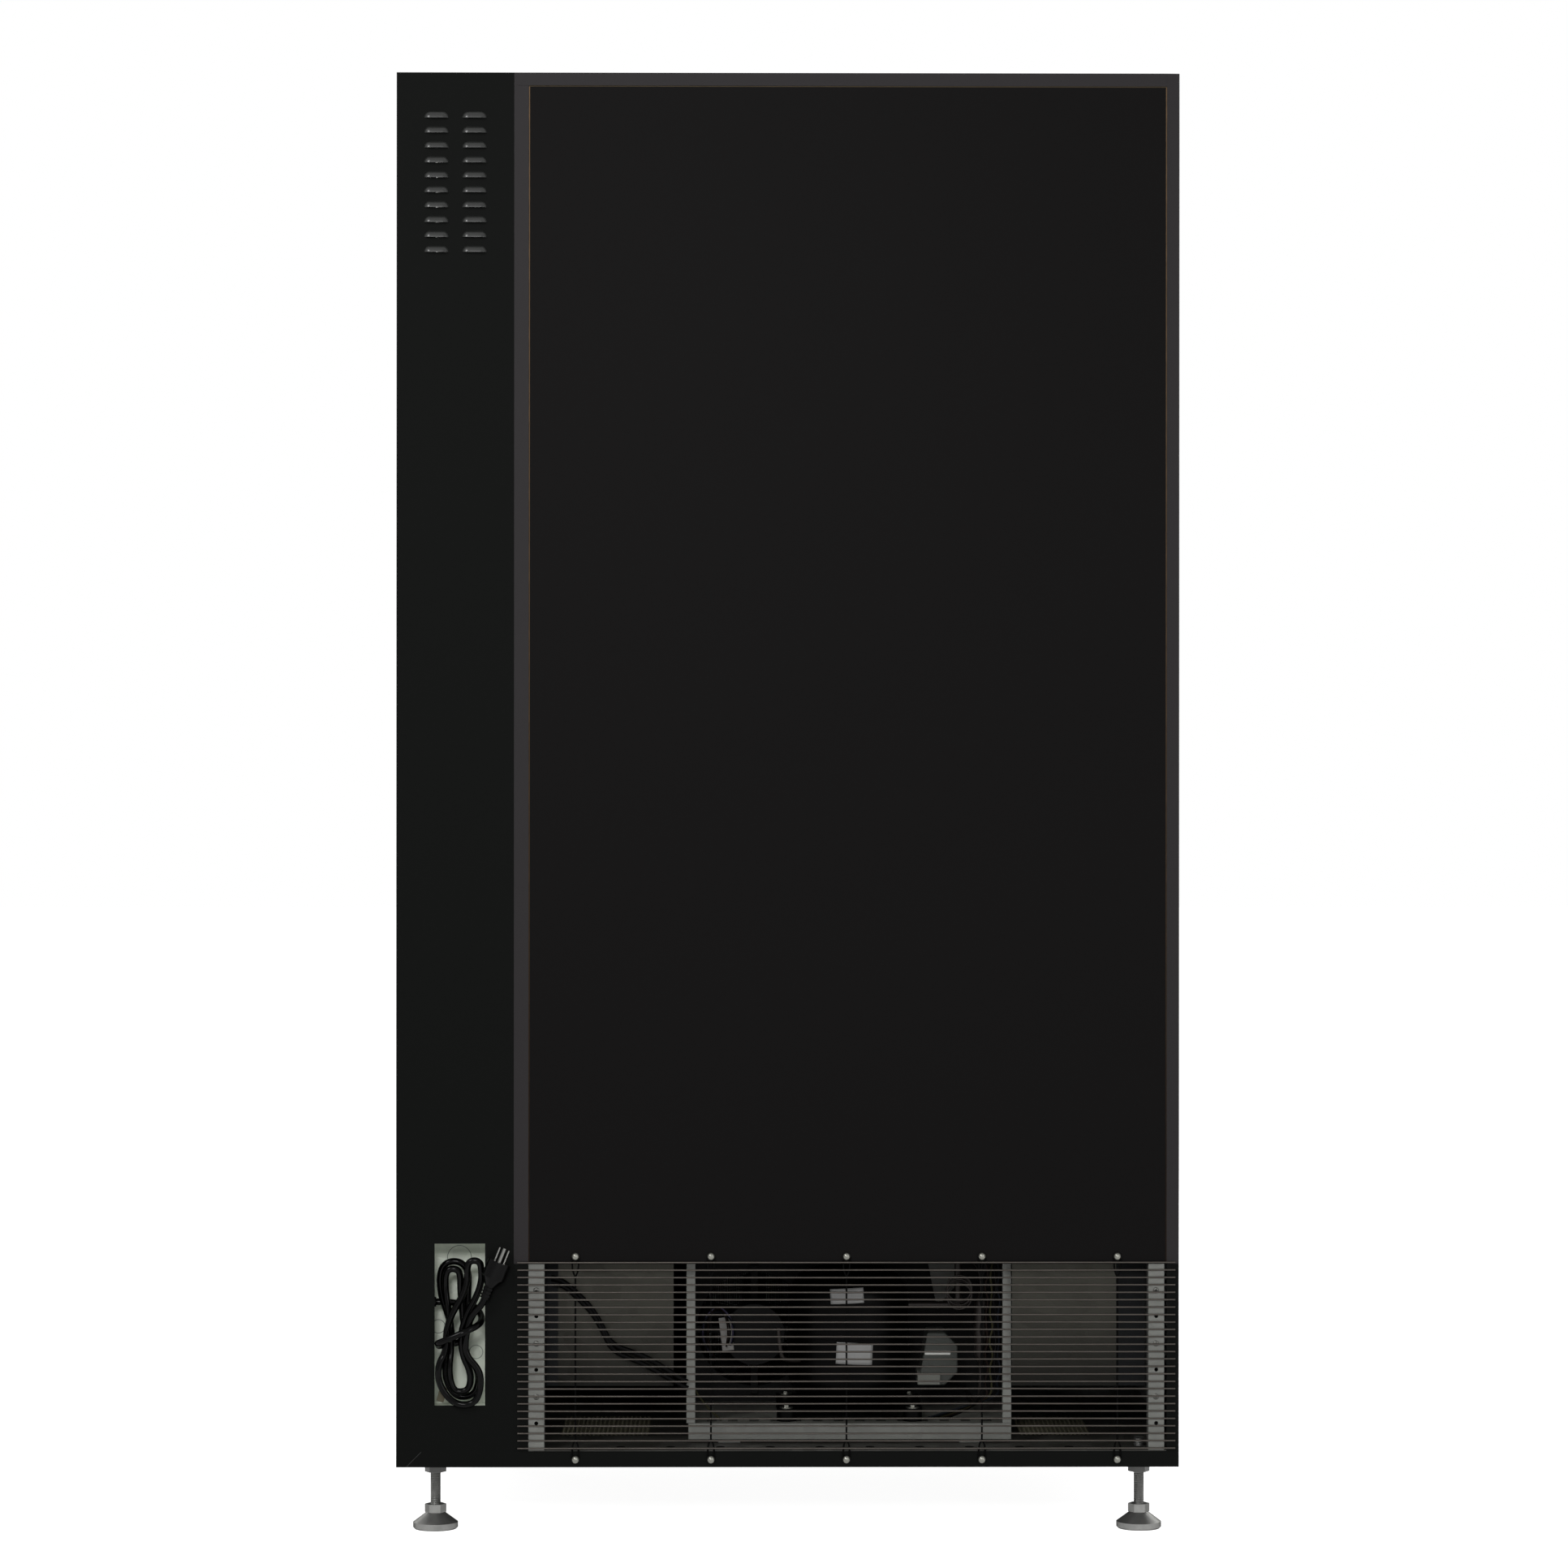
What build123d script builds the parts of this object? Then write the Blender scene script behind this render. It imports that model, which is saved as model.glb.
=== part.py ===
from build123d import *
import math
import os

# A snack and drink vending machine, built around one insulated cabinet.
# The origin is on the floor under the middle of the machine and +Z is up.
# The door faces -Y, the service side faces +Y, and the payment column stands at +X.
# All lengths are in millimetres and all angles in degrees.

# Driving dimensions of the whole machine
WIDTH = 1040.0
HEIGHT = 1940.0
DEPTH = 860.0
FOOT_HEIGHT = 88.0
BASE_RAIL_HEIGHT = 21.0
BAY_HEIGHT = 249.0
COLUMN_WIDTH = 156.0
WALL = 45.0
DOOR_THICKNESS = 85.0
DOOR_FURNITURE_PROUD = 30.0
SEAL_SPACE = 8.0

# Values that every piece shares
SHEET = 1.5
RUNNING_GAP = 0.3
SHAFT_CLEARANCE = 0.05
OVERRUN = 5.0
QUARTER_TURN = 90.0

# Rear panel, column cover and the flanges that frame them
SIDE_FLANGE = 16.5
TOP_FLANGE = 17.0
COLUMN_FLANGE = 19.5
PANEL_REVEAL = 1.5
LOUVRE_RADIUS = 10.0
LOUVRE_PROUD = 5.0
LOUVRE_WIDTH = 33.0
LOUVRE_PITCH = 19.8
LOUVRE_ROWS = 10
LOUVRE_COLUMN_PITCH = 50.5
LOUVRE_COLUMNS = 2
LOUVRE_TOP_DROP = 60.5

# Cord cut-out, the recess behind it and the cord
CUTOUT_WIDTH = 67.0
CUTOUT_HEIGHT = 215.0
CUTOUT_INSET = 51.0
CUTOUT_SILL = 61.0
RECESS_DEPTH = 60.0
RECESS_MARGIN = 5.0
GLAND_LENGTH = 30.0
GLAND_RADIUS = 11.0
GLAND_NECK_RADIUS = 6.5
GLAND_NUT_THICKNESS = 8.0
CORD_DIAMETER = 9.0
HANK_PITCH = 9.9
HANK_TOP = 193.0
HANK_WAIST = 82.0
HANK_FRONT_PROUD = 5.1
HANK_LAYERS = 4
HANK_WRAP_RISE = 52.0
HANK_WRAP_PROUD = 14.0
HANK_WRAP_REACH = 28.5
HANK_LEFT_SHOULDER = 46.0
HANK_RIGHT_SHOULDER = 32.0
# Each top fold: its middle across the cut-out, its radius and its height over the sill
HANK_TOP_FOLDS = ((-9.0, 19.0, 189.0), (-10.0, 10.0, 180.0), (19.0, 9.5, 192.0))
# Each bottom fold: its left side, its lowest point and its right side across, and that point's height
HANK_BOTTOM_FOLDS = ((-20.0, 6.0, 24.0, 10.0), (-14.0, 2.0, 14.0, 18.0), (-28.0, 9.0, 28.0, 2.0))
HANK_LEFT_RUNS = (-12.0, -12.0, -18.0)
HANK_RIGHT_RUNS = (5.0, 2.0, 8.0)
PLUG_RISE = 144.0
PLUG_WIDTH = 31.0
PLUG_THICKNESS = 25.0
PLUG_BODY_LENGTH = 34.0
PLUG_RELIEF_LENGTH = 18.0
PLUG_RELIEF_RADIUS = 7.0
PLUG_RIB_DEPTH = 1.2
PLUG_RIBS = 4
PLUG_TILT = 22.0
PRONG_LENGTH = 18.0
PRONG_WIDTH = 6.3
PRONG_THICKNESS = 1.6
PRONG_SPACING = 12.7
EARTH_PIN_RADIUS = 2.4

# Grille over the machine bay
GRILLE_WIRE = 2.4
GRILLE_PITCH = 9.86
GRILLE_WIRES = 26
GRILLE_STAY_PITCH_SHARE = 0.2036
GRILLE_STAYS = 5
GRILLE_WELD = 0.2
GRILLE_END_INSET = 4.0
EYELET_RADIUS = 5.0
SCREW_HEAD_RADIUS = 5.3
SCREW_HEAD_HEIGHT = 4.0
SCREW_RADIUS = 2.5
SCREW_LENGTH = 12.0
SCREW_RISE = 10.0

# Base frame and levelling feet
BASE_RAIL_WIDTH = 40.0
FOOT_INSET_X = 49.5
FOOT_INSET_Y = 45.0
FOOT_PAD_RADIUS = 30.0
FOOT_PAD_RIM = 9.0
FOOT_PAD_HEIGHT = 22.0
FOOT_NECK_RADIUS = 12.5
FOOT_STEM_RADIUS = 7.0
FOOT_STEM_ABOVE = 14.0
FOOT_NUT_WIDTH = 25.0
FOOT_HEX_HEIGHT = 11.0
LOCK_NUT_HEIGHT = 12.0
FOOT_BOSS_RADIUS = 15.0
FOOT_BOSS_HEIGHT = 12.0

# Machine bay: uprights, floor, baffles and the cooling deck
UPRIGHT_WIDTH = 21.0
UPRIGHT_DEPTH = 25.0
UPRIGHT_HOLE_RADIUS = 2.6
UPRIGHT_HOLES = 6
BAFFLE_WIDTH_SHARE = 0.1787
BAFFLE_HEIGHT = 169.0
BAFFLE_SETBACK = 55.0
BAFFLE_LIP = 12.0
LEDGE_DEPTH = 65.0
DECK_WIDTH_SHARE = 0.491
DECK_CENTRE_SHARE = 0.4932
DECK_FRONT_SPACE = 25.6
DECK_TOP = 137.0
DECK_FLANGE = 22.0
RUNNER_WIDTH = 30.0
RUNNER_INSET = 40.0

# Refrigeration
COMPRESSOR_RADIUS = 82.0
COMPRESSOR_HEIGHT = 191.0
COMPRESSOR_SHOULDER = 40.0
COMPRESSOR_SHOULDER_TURN = 65.0
COMPRESSOR_PIPE_DROP = 60.0
COMPRESSOR_SETBACK = 160.0
COMPRESSOR_FOOT_THICKNESS = 3.0
COMPRESSOR_FOOT_SPREAD = 85.0
GROMMET_HEIGHT = 14.0
GROMMET_RADIUS = 13.0
TERMINAL_BOX_WIDTH = 66.0
TERMINAL_BOX_DEPTH = 70.0
TERMINAL_BOX_HEIGHT = 71.0
TERMINAL_BOX_RISE = 26.0
CONDENSER_SIDE_SPACE = 17.0
CONDENSER_HEIGHT = 200.0
CONDENSER_DEPTH = 70.0
CONDENSER_TUBE_RADIUS = 4.8
CONDENSER_TUBES = 8
FAN_RADIUS = 75.0
FAN_HUB_RADIUS = 22.0
FAN_DEPTH = 22.0
FAN_BLADES = 5
FAN_SHAFT_RADIUS = 4.0
FAN_TIP_GAP = 4.0
MOTOR_RADIUS = 42.0
MOTOR_LENGTH = 62.0
SHROUD_DEPTH = 40.0
SHROUD_HEIGHT = 202.0
STRUT_WIDTH = 10.0
PIPE_RADIUS = 5.0
PIPE_BEND = 30.0
EVAPORATOR_WIDTH_SHARE = 0.58
EVAPORATOR_HEIGHT = 130.0
EVAPORATOR_DEPTH = 90.0
EVAPORATOR_LEGS = 25.0
COOLER_BOX_DEPTH = 190.0
COOLER_BOX_HEIGHT = 280.0
DUCT_DEPTH = 30.0
DUCT_WIDTH_SHARE = 0.755
DUCT_TOP_GAP = 60.0

# Trays and their spirals
TRAY_COUNT = 5
LANES = 5
LOWEST_TRAY_HEIGHT = 300.0
TOP_TRAY_SHARE = 1.176
TRAY_BACK_SPACE = 73.6
TRAY_FRONT_SETBACK = 112.0
TRAY_SIDE_GAP = 8.0
TRAY_WALL_HEIGHT = 60.0
TRAY_SHEET = 1.2
DIVIDER_HEIGHT = 80.0
PRICE_RAIL_HEIGHT = 38.0
PRICE_RAIL_THICKNESS = 8.0
MOTOR_BOX_DEPTH = 48.0
MOTOR_BOX_HEIGHT = 88.0
RAIL_WIDTH = 22.0
RAIL_HEIGHT = 12.0
SPIRAL_WIRE = 5.0
SPIRAL_RADIUS = 44.0
SPIRAL_END_SPACE = 36.0
SPIRAL_TURNS = 4
SPIRAL_FLOOR_GAP = 2.5
SPIRAL_LEAD = 15.0
COUPLER_THICKNESS = 7.0
COUPLER_SHAFT_RADIUS = 6.0
COUPLER_SHAFT_LENGTH = 24.0

# Door casing, window and hinges
DOOR_GAP = 4.0
DOOR_FLOOR_GAP = 372.0
LINER_THICKNESS = 2.0
WINDOW_LEFT = 65.0
WINDOW_RIGHT = 220.0
WINDOW_BOTTOM = 348.0
WINDOW_TOP = 66.0
WINDOW_LIP = 12.0
FRAME_BAR = 20.0
GLASS = 5.0
GLASS_SPACE = 12.0
SPACER_WIDTH = 10.0
LAMP_WIDTH = 11.0
LAMP_DEPTH = 40.0
GASKET_WIDTH = 18.0
GASKET_INSET = 24.0
HINGE_PIN_RADIUS = 5.0
HINGE_INSET = 14.0
HINGE_PLATE = 30.0
HINGE_PIN_LENGTH = 26.0
BUSH_SIZE = 24.0
BUSH_HEIGHT = 30.0
KICK_DEPTH = 78.0
KICK_SLOTS = 9
KICK_SLOT_HEIGHT = 8.0
KICK_SLOT_PITCH = 18.0

# Delivery bin and its flap
BIN_LEFT = 58.0
BIN_RIGHT = 21.0
BIN_FLOOR = 455.0
BIN_HEIGHT = 230.0
BIN_SHEET = 2.0
BIN_REACH = 120.0
FLAP_WIDTH_SHARE = 0.737
FLAP_HEIGHT = 170.0
FLAP_THICKNESS = 3.0
FLAP_CENTRE_SHARE = 0.542
FLAP_SILL = 98.0
TRUNNION_RADIUS = 3.0
TRUNNION_LENGTH = 8.0
EAR_THICKNESS = 8.0

# Payment column on the door
PANEL_WIDTH = 160.0
PANEL_HEIGHT_SHARE = 0.5155
PANEL_THICKNESS = 8.0
PANEL_INSET = 100.0
PANEL_BOTTOM_SHARE = 0.3608
PANEL_BORDER = 10.0
DEVICE_FLANGE = 6.0
SCREEN_WIDTH = 130.0
SCREEN_HEIGHT = 230.0
SCREEN_DEPTH = 24.0
SCREEN_RISE_SHARE = 0.85
READER_WIDTH = 92.0
READER_HEIGHT = 92.0
READER_DEPTH = 40.0
READER_RISE_SHARE = 0.64
BILL_WIDTH = 84.0
BILL_HEIGHT = 110.0
BILL_DEPTH = 96.0
BILL_RISE_SHARE = 0.48
BILL_SLOT_WIDTH = 70.0
BILL_SLOT_HEIGHT = 5.0
BILL_NOSE_PROUD = 12.0
COIN_BODY_WIDTH = 74.0
COIN_BODY_HEIGHT = 190.0
COIN_BODY_DEPTH = 80.0
COIN_BODY_SHIFT = -22.0
COIN_RISE_SHARE = 0.29
COIN_INSERT_WIDTH = 34.0
COIN_INSERT_HEIGHT = 50.0
COIN_SLOT_WIDTH = 3.0
COIN_SLOT_HEIGHT = 28.0
BUTTON_RADIUS = 8.0
BUTTON_PROUD = 6.0
BUTTON_TRAVEL = 4.0
BUTTON_SHIFT = 48.0
BUTTON_RISE_SHARE = 0.36
HANDLE_RISE_SHARE = 0.135
HANDLE_LENGTH = 92.0
HANDLE_WIDTH = 18.0
HANDLE_BOSS_RADIUS = 17.0
HANDLE_SHAFT_RADIUS = 7.0
HANDLE_STAND_OFF = 8.0
CAM_LENGTH = 42.0
CAM_THICKNESS = 4.0
CUP_WIDTH = 76.0
CUP_HEIGHT = 52.0
CUP_DEPTH = 56.0
CUP_WALL = 2.0
CUP_RISE = 24.0
CUP_FLAP_THICKNESS = 2.0
CUP_PIN_RADIUS = 2.0

# Electronics in the column
CONTROL_WIDTH = 130.0
CONTROL_HEIGHT = 300.0
CONTROL_DEPTH = 90.0
CONTROL_RISE = 1100.0
CONTROL_VENTS = 6

# Planes that the pieces share
LEFT = -WIDTH / 2
RIGHT = WIDTH / 2
BACK = DEPTH / 2 - GRILLE_WIRE - SCREW_HEAD_HEIGHT
BACK_IN = BACK - SHEET
DOOR_FRONT = DOOR_FURNITURE_PROUD - DEPTH / 2
DOOR_BACK = DOOR_FRONT + DOOR_THICKNESS
FRONT = DOOR_BACK + SEAL_SPACE
BASE_TOP = FOOT_HEIGHT + BASE_RAIL_HEIGHT
BAY_TOP = BASE_TOP + BAY_HEIGHT
COLUMN_LEFT = RIGHT - COLUMN_WIDTH
CHAMBER_LEFT = LEFT + WALL
CHAMBER_RIGHT = COLUMN_LEFT - WALL
CHAMBER_BACK = BACK - WALL
CHAMBER_FLOOR = BAY_TOP + WALL + SHEET
CHAMBER_TOP = HEIGHT - WALL
DOOR_BOTTOM = DOOR_FLOOR_GAP
DOOR_TOP = HEIGHT - DOOR_GAP
CUTOUT_RIGHT = RIGHT - CUTOUT_INSET
CUTOUT_LEFT = CUTOUT_RIGHT - CUTOUT_WIDTH
CUTOUT_BOTTOM = BASE_TOP + CUTOUT_SILL
CUTOUT_CENTRE_X = (CUTOUT_LEFT + CUTOUT_RIGHT) / 2
RECESS_BACK = BACK_IN - RECESS_DEPTH
RECESS_LEFT = CUTOUT_LEFT - RECESS_MARGIN
RECESS_RIGHT = CUTOUT_RIGHT + GLAND_LENGTH
FLOOR_TOP = BASE_TOP + SHEET
DECK_BACK = BACK - LEDGE_DEPTH
DECK_FRONT = FRONT + DECK_FRONT_SPACE
BAY_WIDTH = COLUMN_LEFT - LEFT
DECK_WIDTH = BAY_WIDTH * DECK_WIDTH_SHARE
DECK_CENTRE_X = LEFT + BAY_WIDTH * DECK_CENTRE_SHARE
DECK_LEFT = DECK_CENTRE_X - DECK_WIDTH / 2
DECK_RIGHT = DECK_CENTRE_X + DECK_WIDTH / 2
BAFFLE_WIDTH = BAY_WIDTH * BAFFLE_WIDTH_SHARE
GRILLE_STAY_PITCH = BAY_WIDTH * GRILLE_STAY_PITCH_SHARE
CONDENSER_WIDTH = DECK_WIDTH - 2 * CONDENSER_SIDE_SPACE
EVAPORATOR_WIDTH = (CHAMBER_RIGHT - CHAMBER_LEFT) * EVAPORATOR_WIDTH_SHARE
DUCT_WIDTH = (CHAMBER_RIGHT - CHAMBER_LEFT) * DUCT_WIDTH_SHARE
COMPRESSOR_Y = BACK - COMPRESSOR_SETBACK
COMPRESSOR_BASE = DECK_TOP + GROMMET_HEIGHT + COMPRESSOR_FOOT_THICKNESS
COMPRESSOR_TOP = COMPRESSOR_BASE + COMPRESSOR_HEIGHT
FAN_X = DECK_RIGHT - FAN_RADIUS - FAN_TIP_GAP - STRUT_WIDTH
FAN_Z = DECK_TOP + SHROUD_HEIGHT / 2
SHROUD_BACK = COMPRESSOR_Y - COMPRESSOR_RADIUS - SHROUD_DEPTH
SHROUD_FRONT = SHROUD_BACK - SHROUD_DEPTH
WINDOW_X = (LEFT + WINDOW_LEFT, RIGHT - WINDOW_RIGHT)
WINDOW_Z = (DOOR_BOTTOM + WINDOW_BOTTOM, DOOR_TOP - WINDOW_TOP)
TRAY_LEFT = CHAMBER_LEFT + TRAY_SIDE_GAP
TRAY_RIGHT = CHAMBER_RIGHT - TRAY_SIDE_GAP
TRAY_FRONT = FRONT + TRAY_FRONT_SETBACK
TRAY_BACK = CHAMBER_BACK - TRAY_BACK_SPACE
TRAY_PITCH = (CHAMBER_TOP - CHAMBER_FLOOR - LOWEST_TRAY_HEIGHT) / (TRAY_COUNT - 1 + TOP_TRAY_SHARE)
SPIRAL_PITCH = (TRAY_BACK - TRAY_FRONT - MOTOR_BOX_DEPTH - SPIRAL_END_SPACE) / SPIRAL_TURNS
LANE_PITCH = (TRAY_RIGHT - TRAY_LEFT) / LANES
SKIN_BACK = DOOR_FRONT + SHEET
LINER_FRONT = DOOR_BACK - LINER_THICKNESS
HINGE_X = LEFT + HINGE_INSET
HINGE_Y = DOOR_BACK - HINGE_INSET
PANEL_FRONT = DOOR_FRONT - PANEL_THICKNESS
PANEL_CENTRE_X = RIGHT - PANEL_INSET
PANEL_BOTTOM = HEIGHT * PANEL_BOTTOM_SHARE
PANEL_HEIGHT = HEIGHT * PANEL_HEIGHT_SHARE
SCREEN_RISE = PANEL_HEIGHT * SCREEN_RISE_SHARE
READER_RISE = PANEL_HEIGHT * READER_RISE_SHARE
BILL_RISE = PANEL_HEIGHT * BILL_RISE_SHARE
COIN_RISE = PANEL_HEIGHT * COIN_RISE_SHARE
BUTTON_RISE = PANEL_HEIGHT * BUTTON_RISE_SHARE
HANDLE_RISE = PANEL_HEIGHT * HANDLE_RISE_SHARE
BIN_X = (LEFT + BIN_LEFT, CHAMBER_RIGHT - BIN_RIGHT)
BIN_BACK = DOOR_BACK + BIN_REACH
FLAP_WIDTH = (BIN_X[1] - BIN_X[0]) * FLAP_WIDTH_SHARE
FLAP_CENTRE_X = BIN_X[0] + (BIN_X[1] - BIN_X[0]) * FLAP_CENTRE_SHARE
FLAP_X = (FLAP_CENTRE_X - FLAP_WIDTH / 2, FLAP_CENTRE_X + FLAP_WIDTH / 2)
FLAP_Z = (DOOR_BOTTOM + FLAP_SILL, DOOR_BOTTOM + FLAP_SILL + FLAP_HEIGHT)


def block(x, y, z):
    """A box from its ranges along X, Y and Z."""
    middle = Pos(sum(x) / 2, sum(y) / 2, sum(z) / 2)
    return middle * Box(x[1] - x[0], y[1] - y[0], z[1] - z[0])


def around(centre, size):
    """The range of a size that lies evenly about its centre."""
    return (centre - size / 2, centre + size / 2)


def rod(radius, start, end):
    """A round bar from one point to another."""
    line = Vector(*end) - Vector(*start)
    return Solid.make_cylinder(radius, line.length, Plane(origin=start, z_dir=line))


def save(name, *shapes):
    """Write the solids of one sub-part to its own file."""
    solids = [solid for shape in shapes for solid in shape.solids()]
    export_step(Compound(solids), f"parts/{name}.step")


def biarc(start, heading, end, leaving):
    """Two arcs that meet smoothly and join two points along two headings."""
    heading, leaving = Vector(*heading).normalized(), Vector(*leaving).normalized()
    start, end = Vector(*start), Vector(*end)
    across = end - start
    both = heading + leaving
    spread = 2 * (1 - heading.dot(leaving))
    if spread < 1e-9:
        reach = across.dot(across) / (4 * across.dot(leaving))
    else:
        inside = across.dot(both) ** 2 + spread * across.dot(across)
        reach = (math.sqrt(inside) - across.dot(both)) / spread
    first, last = start + heading * reach, end - leaving * reach
    middle, along = (first + last) / 2, (last - first).normalized()
    edges = []
    for a, b, tangent in ((start, middle, heading), (middle, end, along)):
        straight = (b - a).normalized().cross(tangent).length < 1e-6
        edges.append(Edge.make_line(a, b) if straight else Edge.make_tangent_arc(a, tangent, b))
    return edges


def wound_path(stations):
    """A smooth path of biarcs through stations, each a point and its heading."""
    edges = []
    for (a, heading), (b, leaving) in zip(stations, stations[1:]):
        edges += biarc(a, heading, b, leaving)
    return Wire(edges)


def tube(path, radius):
    """A round wire, cord or pipe along a path."""
    section = Plane(origin=path @ 0, z_dir=path % 0) * Circle(radius)
    return sweep(section, path=path)


def bent_pipe(points, radius, bend):
    """A pipe along straight runs with one bend radius."""
    return tube(FilletPolyline(*points, radius=bend), radius)


def outer_shell():
    """Painted side, top, partition and bay roof sheets with the flanges that frame the back."""
    side_z = (BASE_TOP, HEIGHT)
    left = block((LEFT, LEFT + SHEET), (FRONT, BACK), side_z)
    left += block((LEFT, LEFT + SIDE_FLANGE), (BACK_IN, BACK), side_z)
    right = block((RIGHT - SHEET, RIGHT), (FRONT, BACK_IN), side_z)
    inside = (LEFT + SHEET, RIGHT - SHEET)
    top = block(inside, (FRONT, BACK_IN), (HEIGHT - SHEET, HEIGHT))
    flange_x = (LEFT + SIDE_FLANGE, COLUMN_LEFT)
    top += block(flange_x, (BACK_IN - SHEET, BACK), (HEIGHT - SHEET, HEIGHT))
    top += block(flange_x, (BACK_IN, BACK), (HEIGHT - TOP_FLANGE, HEIGHT))
    below_top = (BASE_TOP, HEIGHT - TOP_FLANGE)
    partition = block((COLUMN_LEFT - SHEET, COLUMN_LEFT), (FRONT, BACK), below_top)
    partition += block((COLUMN_LEFT - SHEET, COLUMN_LEFT), (FRONT, BACK_IN), (BASE_TOP, HEIGHT - SHEET))
    partition += block((COLUMN_LEFT - COLUMN_FLANGE, COLUMN_LEFT), (BACK_IN, BACK), below_top)
    roof = block((LEFT + SHEET, COLUMN_LEFT - SHEET), (FRONT, BACK_IN), (BAY_TOP, BAY_TOP + SHEET))
    roof -= pipe_holes((BAY_TOP, BAY_TOP + SHEET))
    save("outer_shell", left, right, top, partition, roof)


def louvre(radius):
    """The upper half of a round-ended bar, from which a pressed louvre is shaped."""
    half_chord = math.sqrt(LOUVRE_RADIUS**2 - (LOUVRE_RADIUS - LOUVRE_PROUD) ** 2)
    reach = LOUVRE_WIDTH / 2 - half_chord
    bar = Rot(0, QUARTER_TURN, 0) * Cylinder(radius, 2 * reach)
    bar += Pos(-reach, 0, 0) * Sphere(radius)
    bar += Pos(reach, 0, 0) * Sphere(radius)
    keep = LOUVRE_WIDTH + OVERRUN
    face = LOUVRE_RADIUS - LOUVRE_PROUD
    bar &= block((-keep, keep), (face - SHEET, keep), (0, keep))
    return Pos(0, BACK - face, 0) * bar


def column_back_cover():
    """The black cover of the electrical column, with two rows of pressed louvres and the cord cut-out."""
    cover = block((COLUMN_LEFT, RIGHT), (BACK_IN, BACK), (BASE_TOP, HEIGHT))
    cover -= block(
        (CUTOUT_LEFT, CUTOUT_RIGHT),
        (BACK_IN - OVERRUN, BACK + OVERRUN),
        (CUTOUT_BOTTOM, CUTOUT_BOTTOM + CUTOUT_HEIGHT),
    )
    centre = (COLUMN_LEFT + RIGHT) / 2
    places = []
    for column in range(LOUVRE_COLUMNS):
        x = centre + (column - (LOUVRE_COLUMNS - 1) / 2) * LOUVRE_COLUMN_PITCH
        for row in range(LOUVRE_ROWS):
            places.append(Pos(x, 0, HEIGHT - LOUVRE_TOP_DROP - row * LOUVRE_PITCH))
    outer, inner = louvre(LOUVRE_RADIUS), louvre(LOUVRE_RADIUS - SHEET)
    for place in places:
        cover = cover + place * outer - place * inner
    save("column_back_cover", cover)


def rear_panel():
    """The large flat panel that closes the foam behind the chamber."""
    x = (LEFT + SIDE_FLANGE + PANEL_REVEAL, COLUMN_LEFT - COLUMN_FLANGE - PANEL_REVEAL)
    panel = block(x, (BACK_IN, BACK), (BAY_TOP, HEIGHT - TOP_FLANGE - PANEL_REVEAL))
    for place in stay_places():
        panel -= rod(SCREW_RADIUS, (place, BACK_IN - OVERRUN, BAY_TOP + SCREW_RISE),
                     (place, BACK + OVERRUN, BAY_TOP + SCREW_RISE))
    save("rear_panel", panel)


def foam_insulation():
    """Foam between the casing and the liner: two sides, the top, the floor and the back."""
    y = (FRONT + SHEET, BACK_IN)
    full_z = (BAY_TOP + SHEET, HEIGHT - SHEET)
    left = block((LEFT + SHEET, CHAMBER_LEFT - SHEET), y, full_z)
    right = block((CHAMBER_RIGHT + SHEET, COLUMN_LEFT - SHEET), y, full_z)
    x = (CHAMBER_LEFT - SHEET, CHAMBER_RIGHT + SHEET)
    top = block(x, y, (CHAMBER_TOP + SHEET, HEIGHT - SHEET))
    floor_z = (BAY_TOP + SHEET, CHAMBER_FLOOR - SHEET)
    floor = block(x, y, floor_z) - pipe_holes(floor_z)
    back = block(x, (CHAMBER_BACK + SHEET, BACK_IN), (CHAMBER_FLOOR - SHEET, CHAMBER_TOP + SHEET))
    for place in stay_places():
        screw_hole = rod(SCREW_RADIUS, (place, BACK - SCREW_LENGTH - OVERRUN, BAY_TOP + SCREW_RISE),
                         (place, BACK, BAY_TOP + SCREW_RISE))
        floor, left, right = floor - screw_hole, left - screw_hole, right - screw_hole
    save("foam_insulation", left, right, top, floor, back)


def inner_liner():
    """The sheet lining of the chilled chamber, whose front edges turn out over the foam."""
    y = (FRONT, CHAMBER_BACK + SHEET)
    lip_y = (FRONT, FRONT + SHEET)
    z = (CHAMBER_FLOOR - SHEET, CHAMBER_TOP + SHEET)
    lip_z = (BAY_TOP + SHEET, HEIGHT - SHEET)
    left = block((CHAMBER_LEFT - SHEET, CHAMBER_LEFT), y, z)
    left += block((LEFT + SHEET, CHAMBER_LEFT), lip_y, lip_z)
    right = block((CHAMBER_RIGHT, CHAMBER_RIGHT + SHEET), y, z)
    right += block((CHAMBER_RIGHT, COLUMN_LEFT - SHEET), lip_y, lip_z)
    x = (CHAMBER_LEFT, CHAMBER_RIGHT)
    top = block(x, y, (CHAMBER_TOP, CHAMBER_TOP + SHEET))
    top += block(x, lip_y, (CHAMBER_TOP, HEIGHT - SHEET))
    floor_z = (CHAMBER_FLOOR - SHEET, CHAMBER_FLOOR)
    floor = block(x, y, floor_z) - pipe_holes(floor_z)
    floor += block(x, lip_y, (BAY_TOP + SHEET, CHAMBER_FLOOR))
    back = block(x, (CHAMBER_BACK, CHAMBER_BACK + SHEET), (CHAMBER_FLOOR, CHAMBER_TOP))
    save("inner_liner", left, right, top, floor, back)


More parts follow.
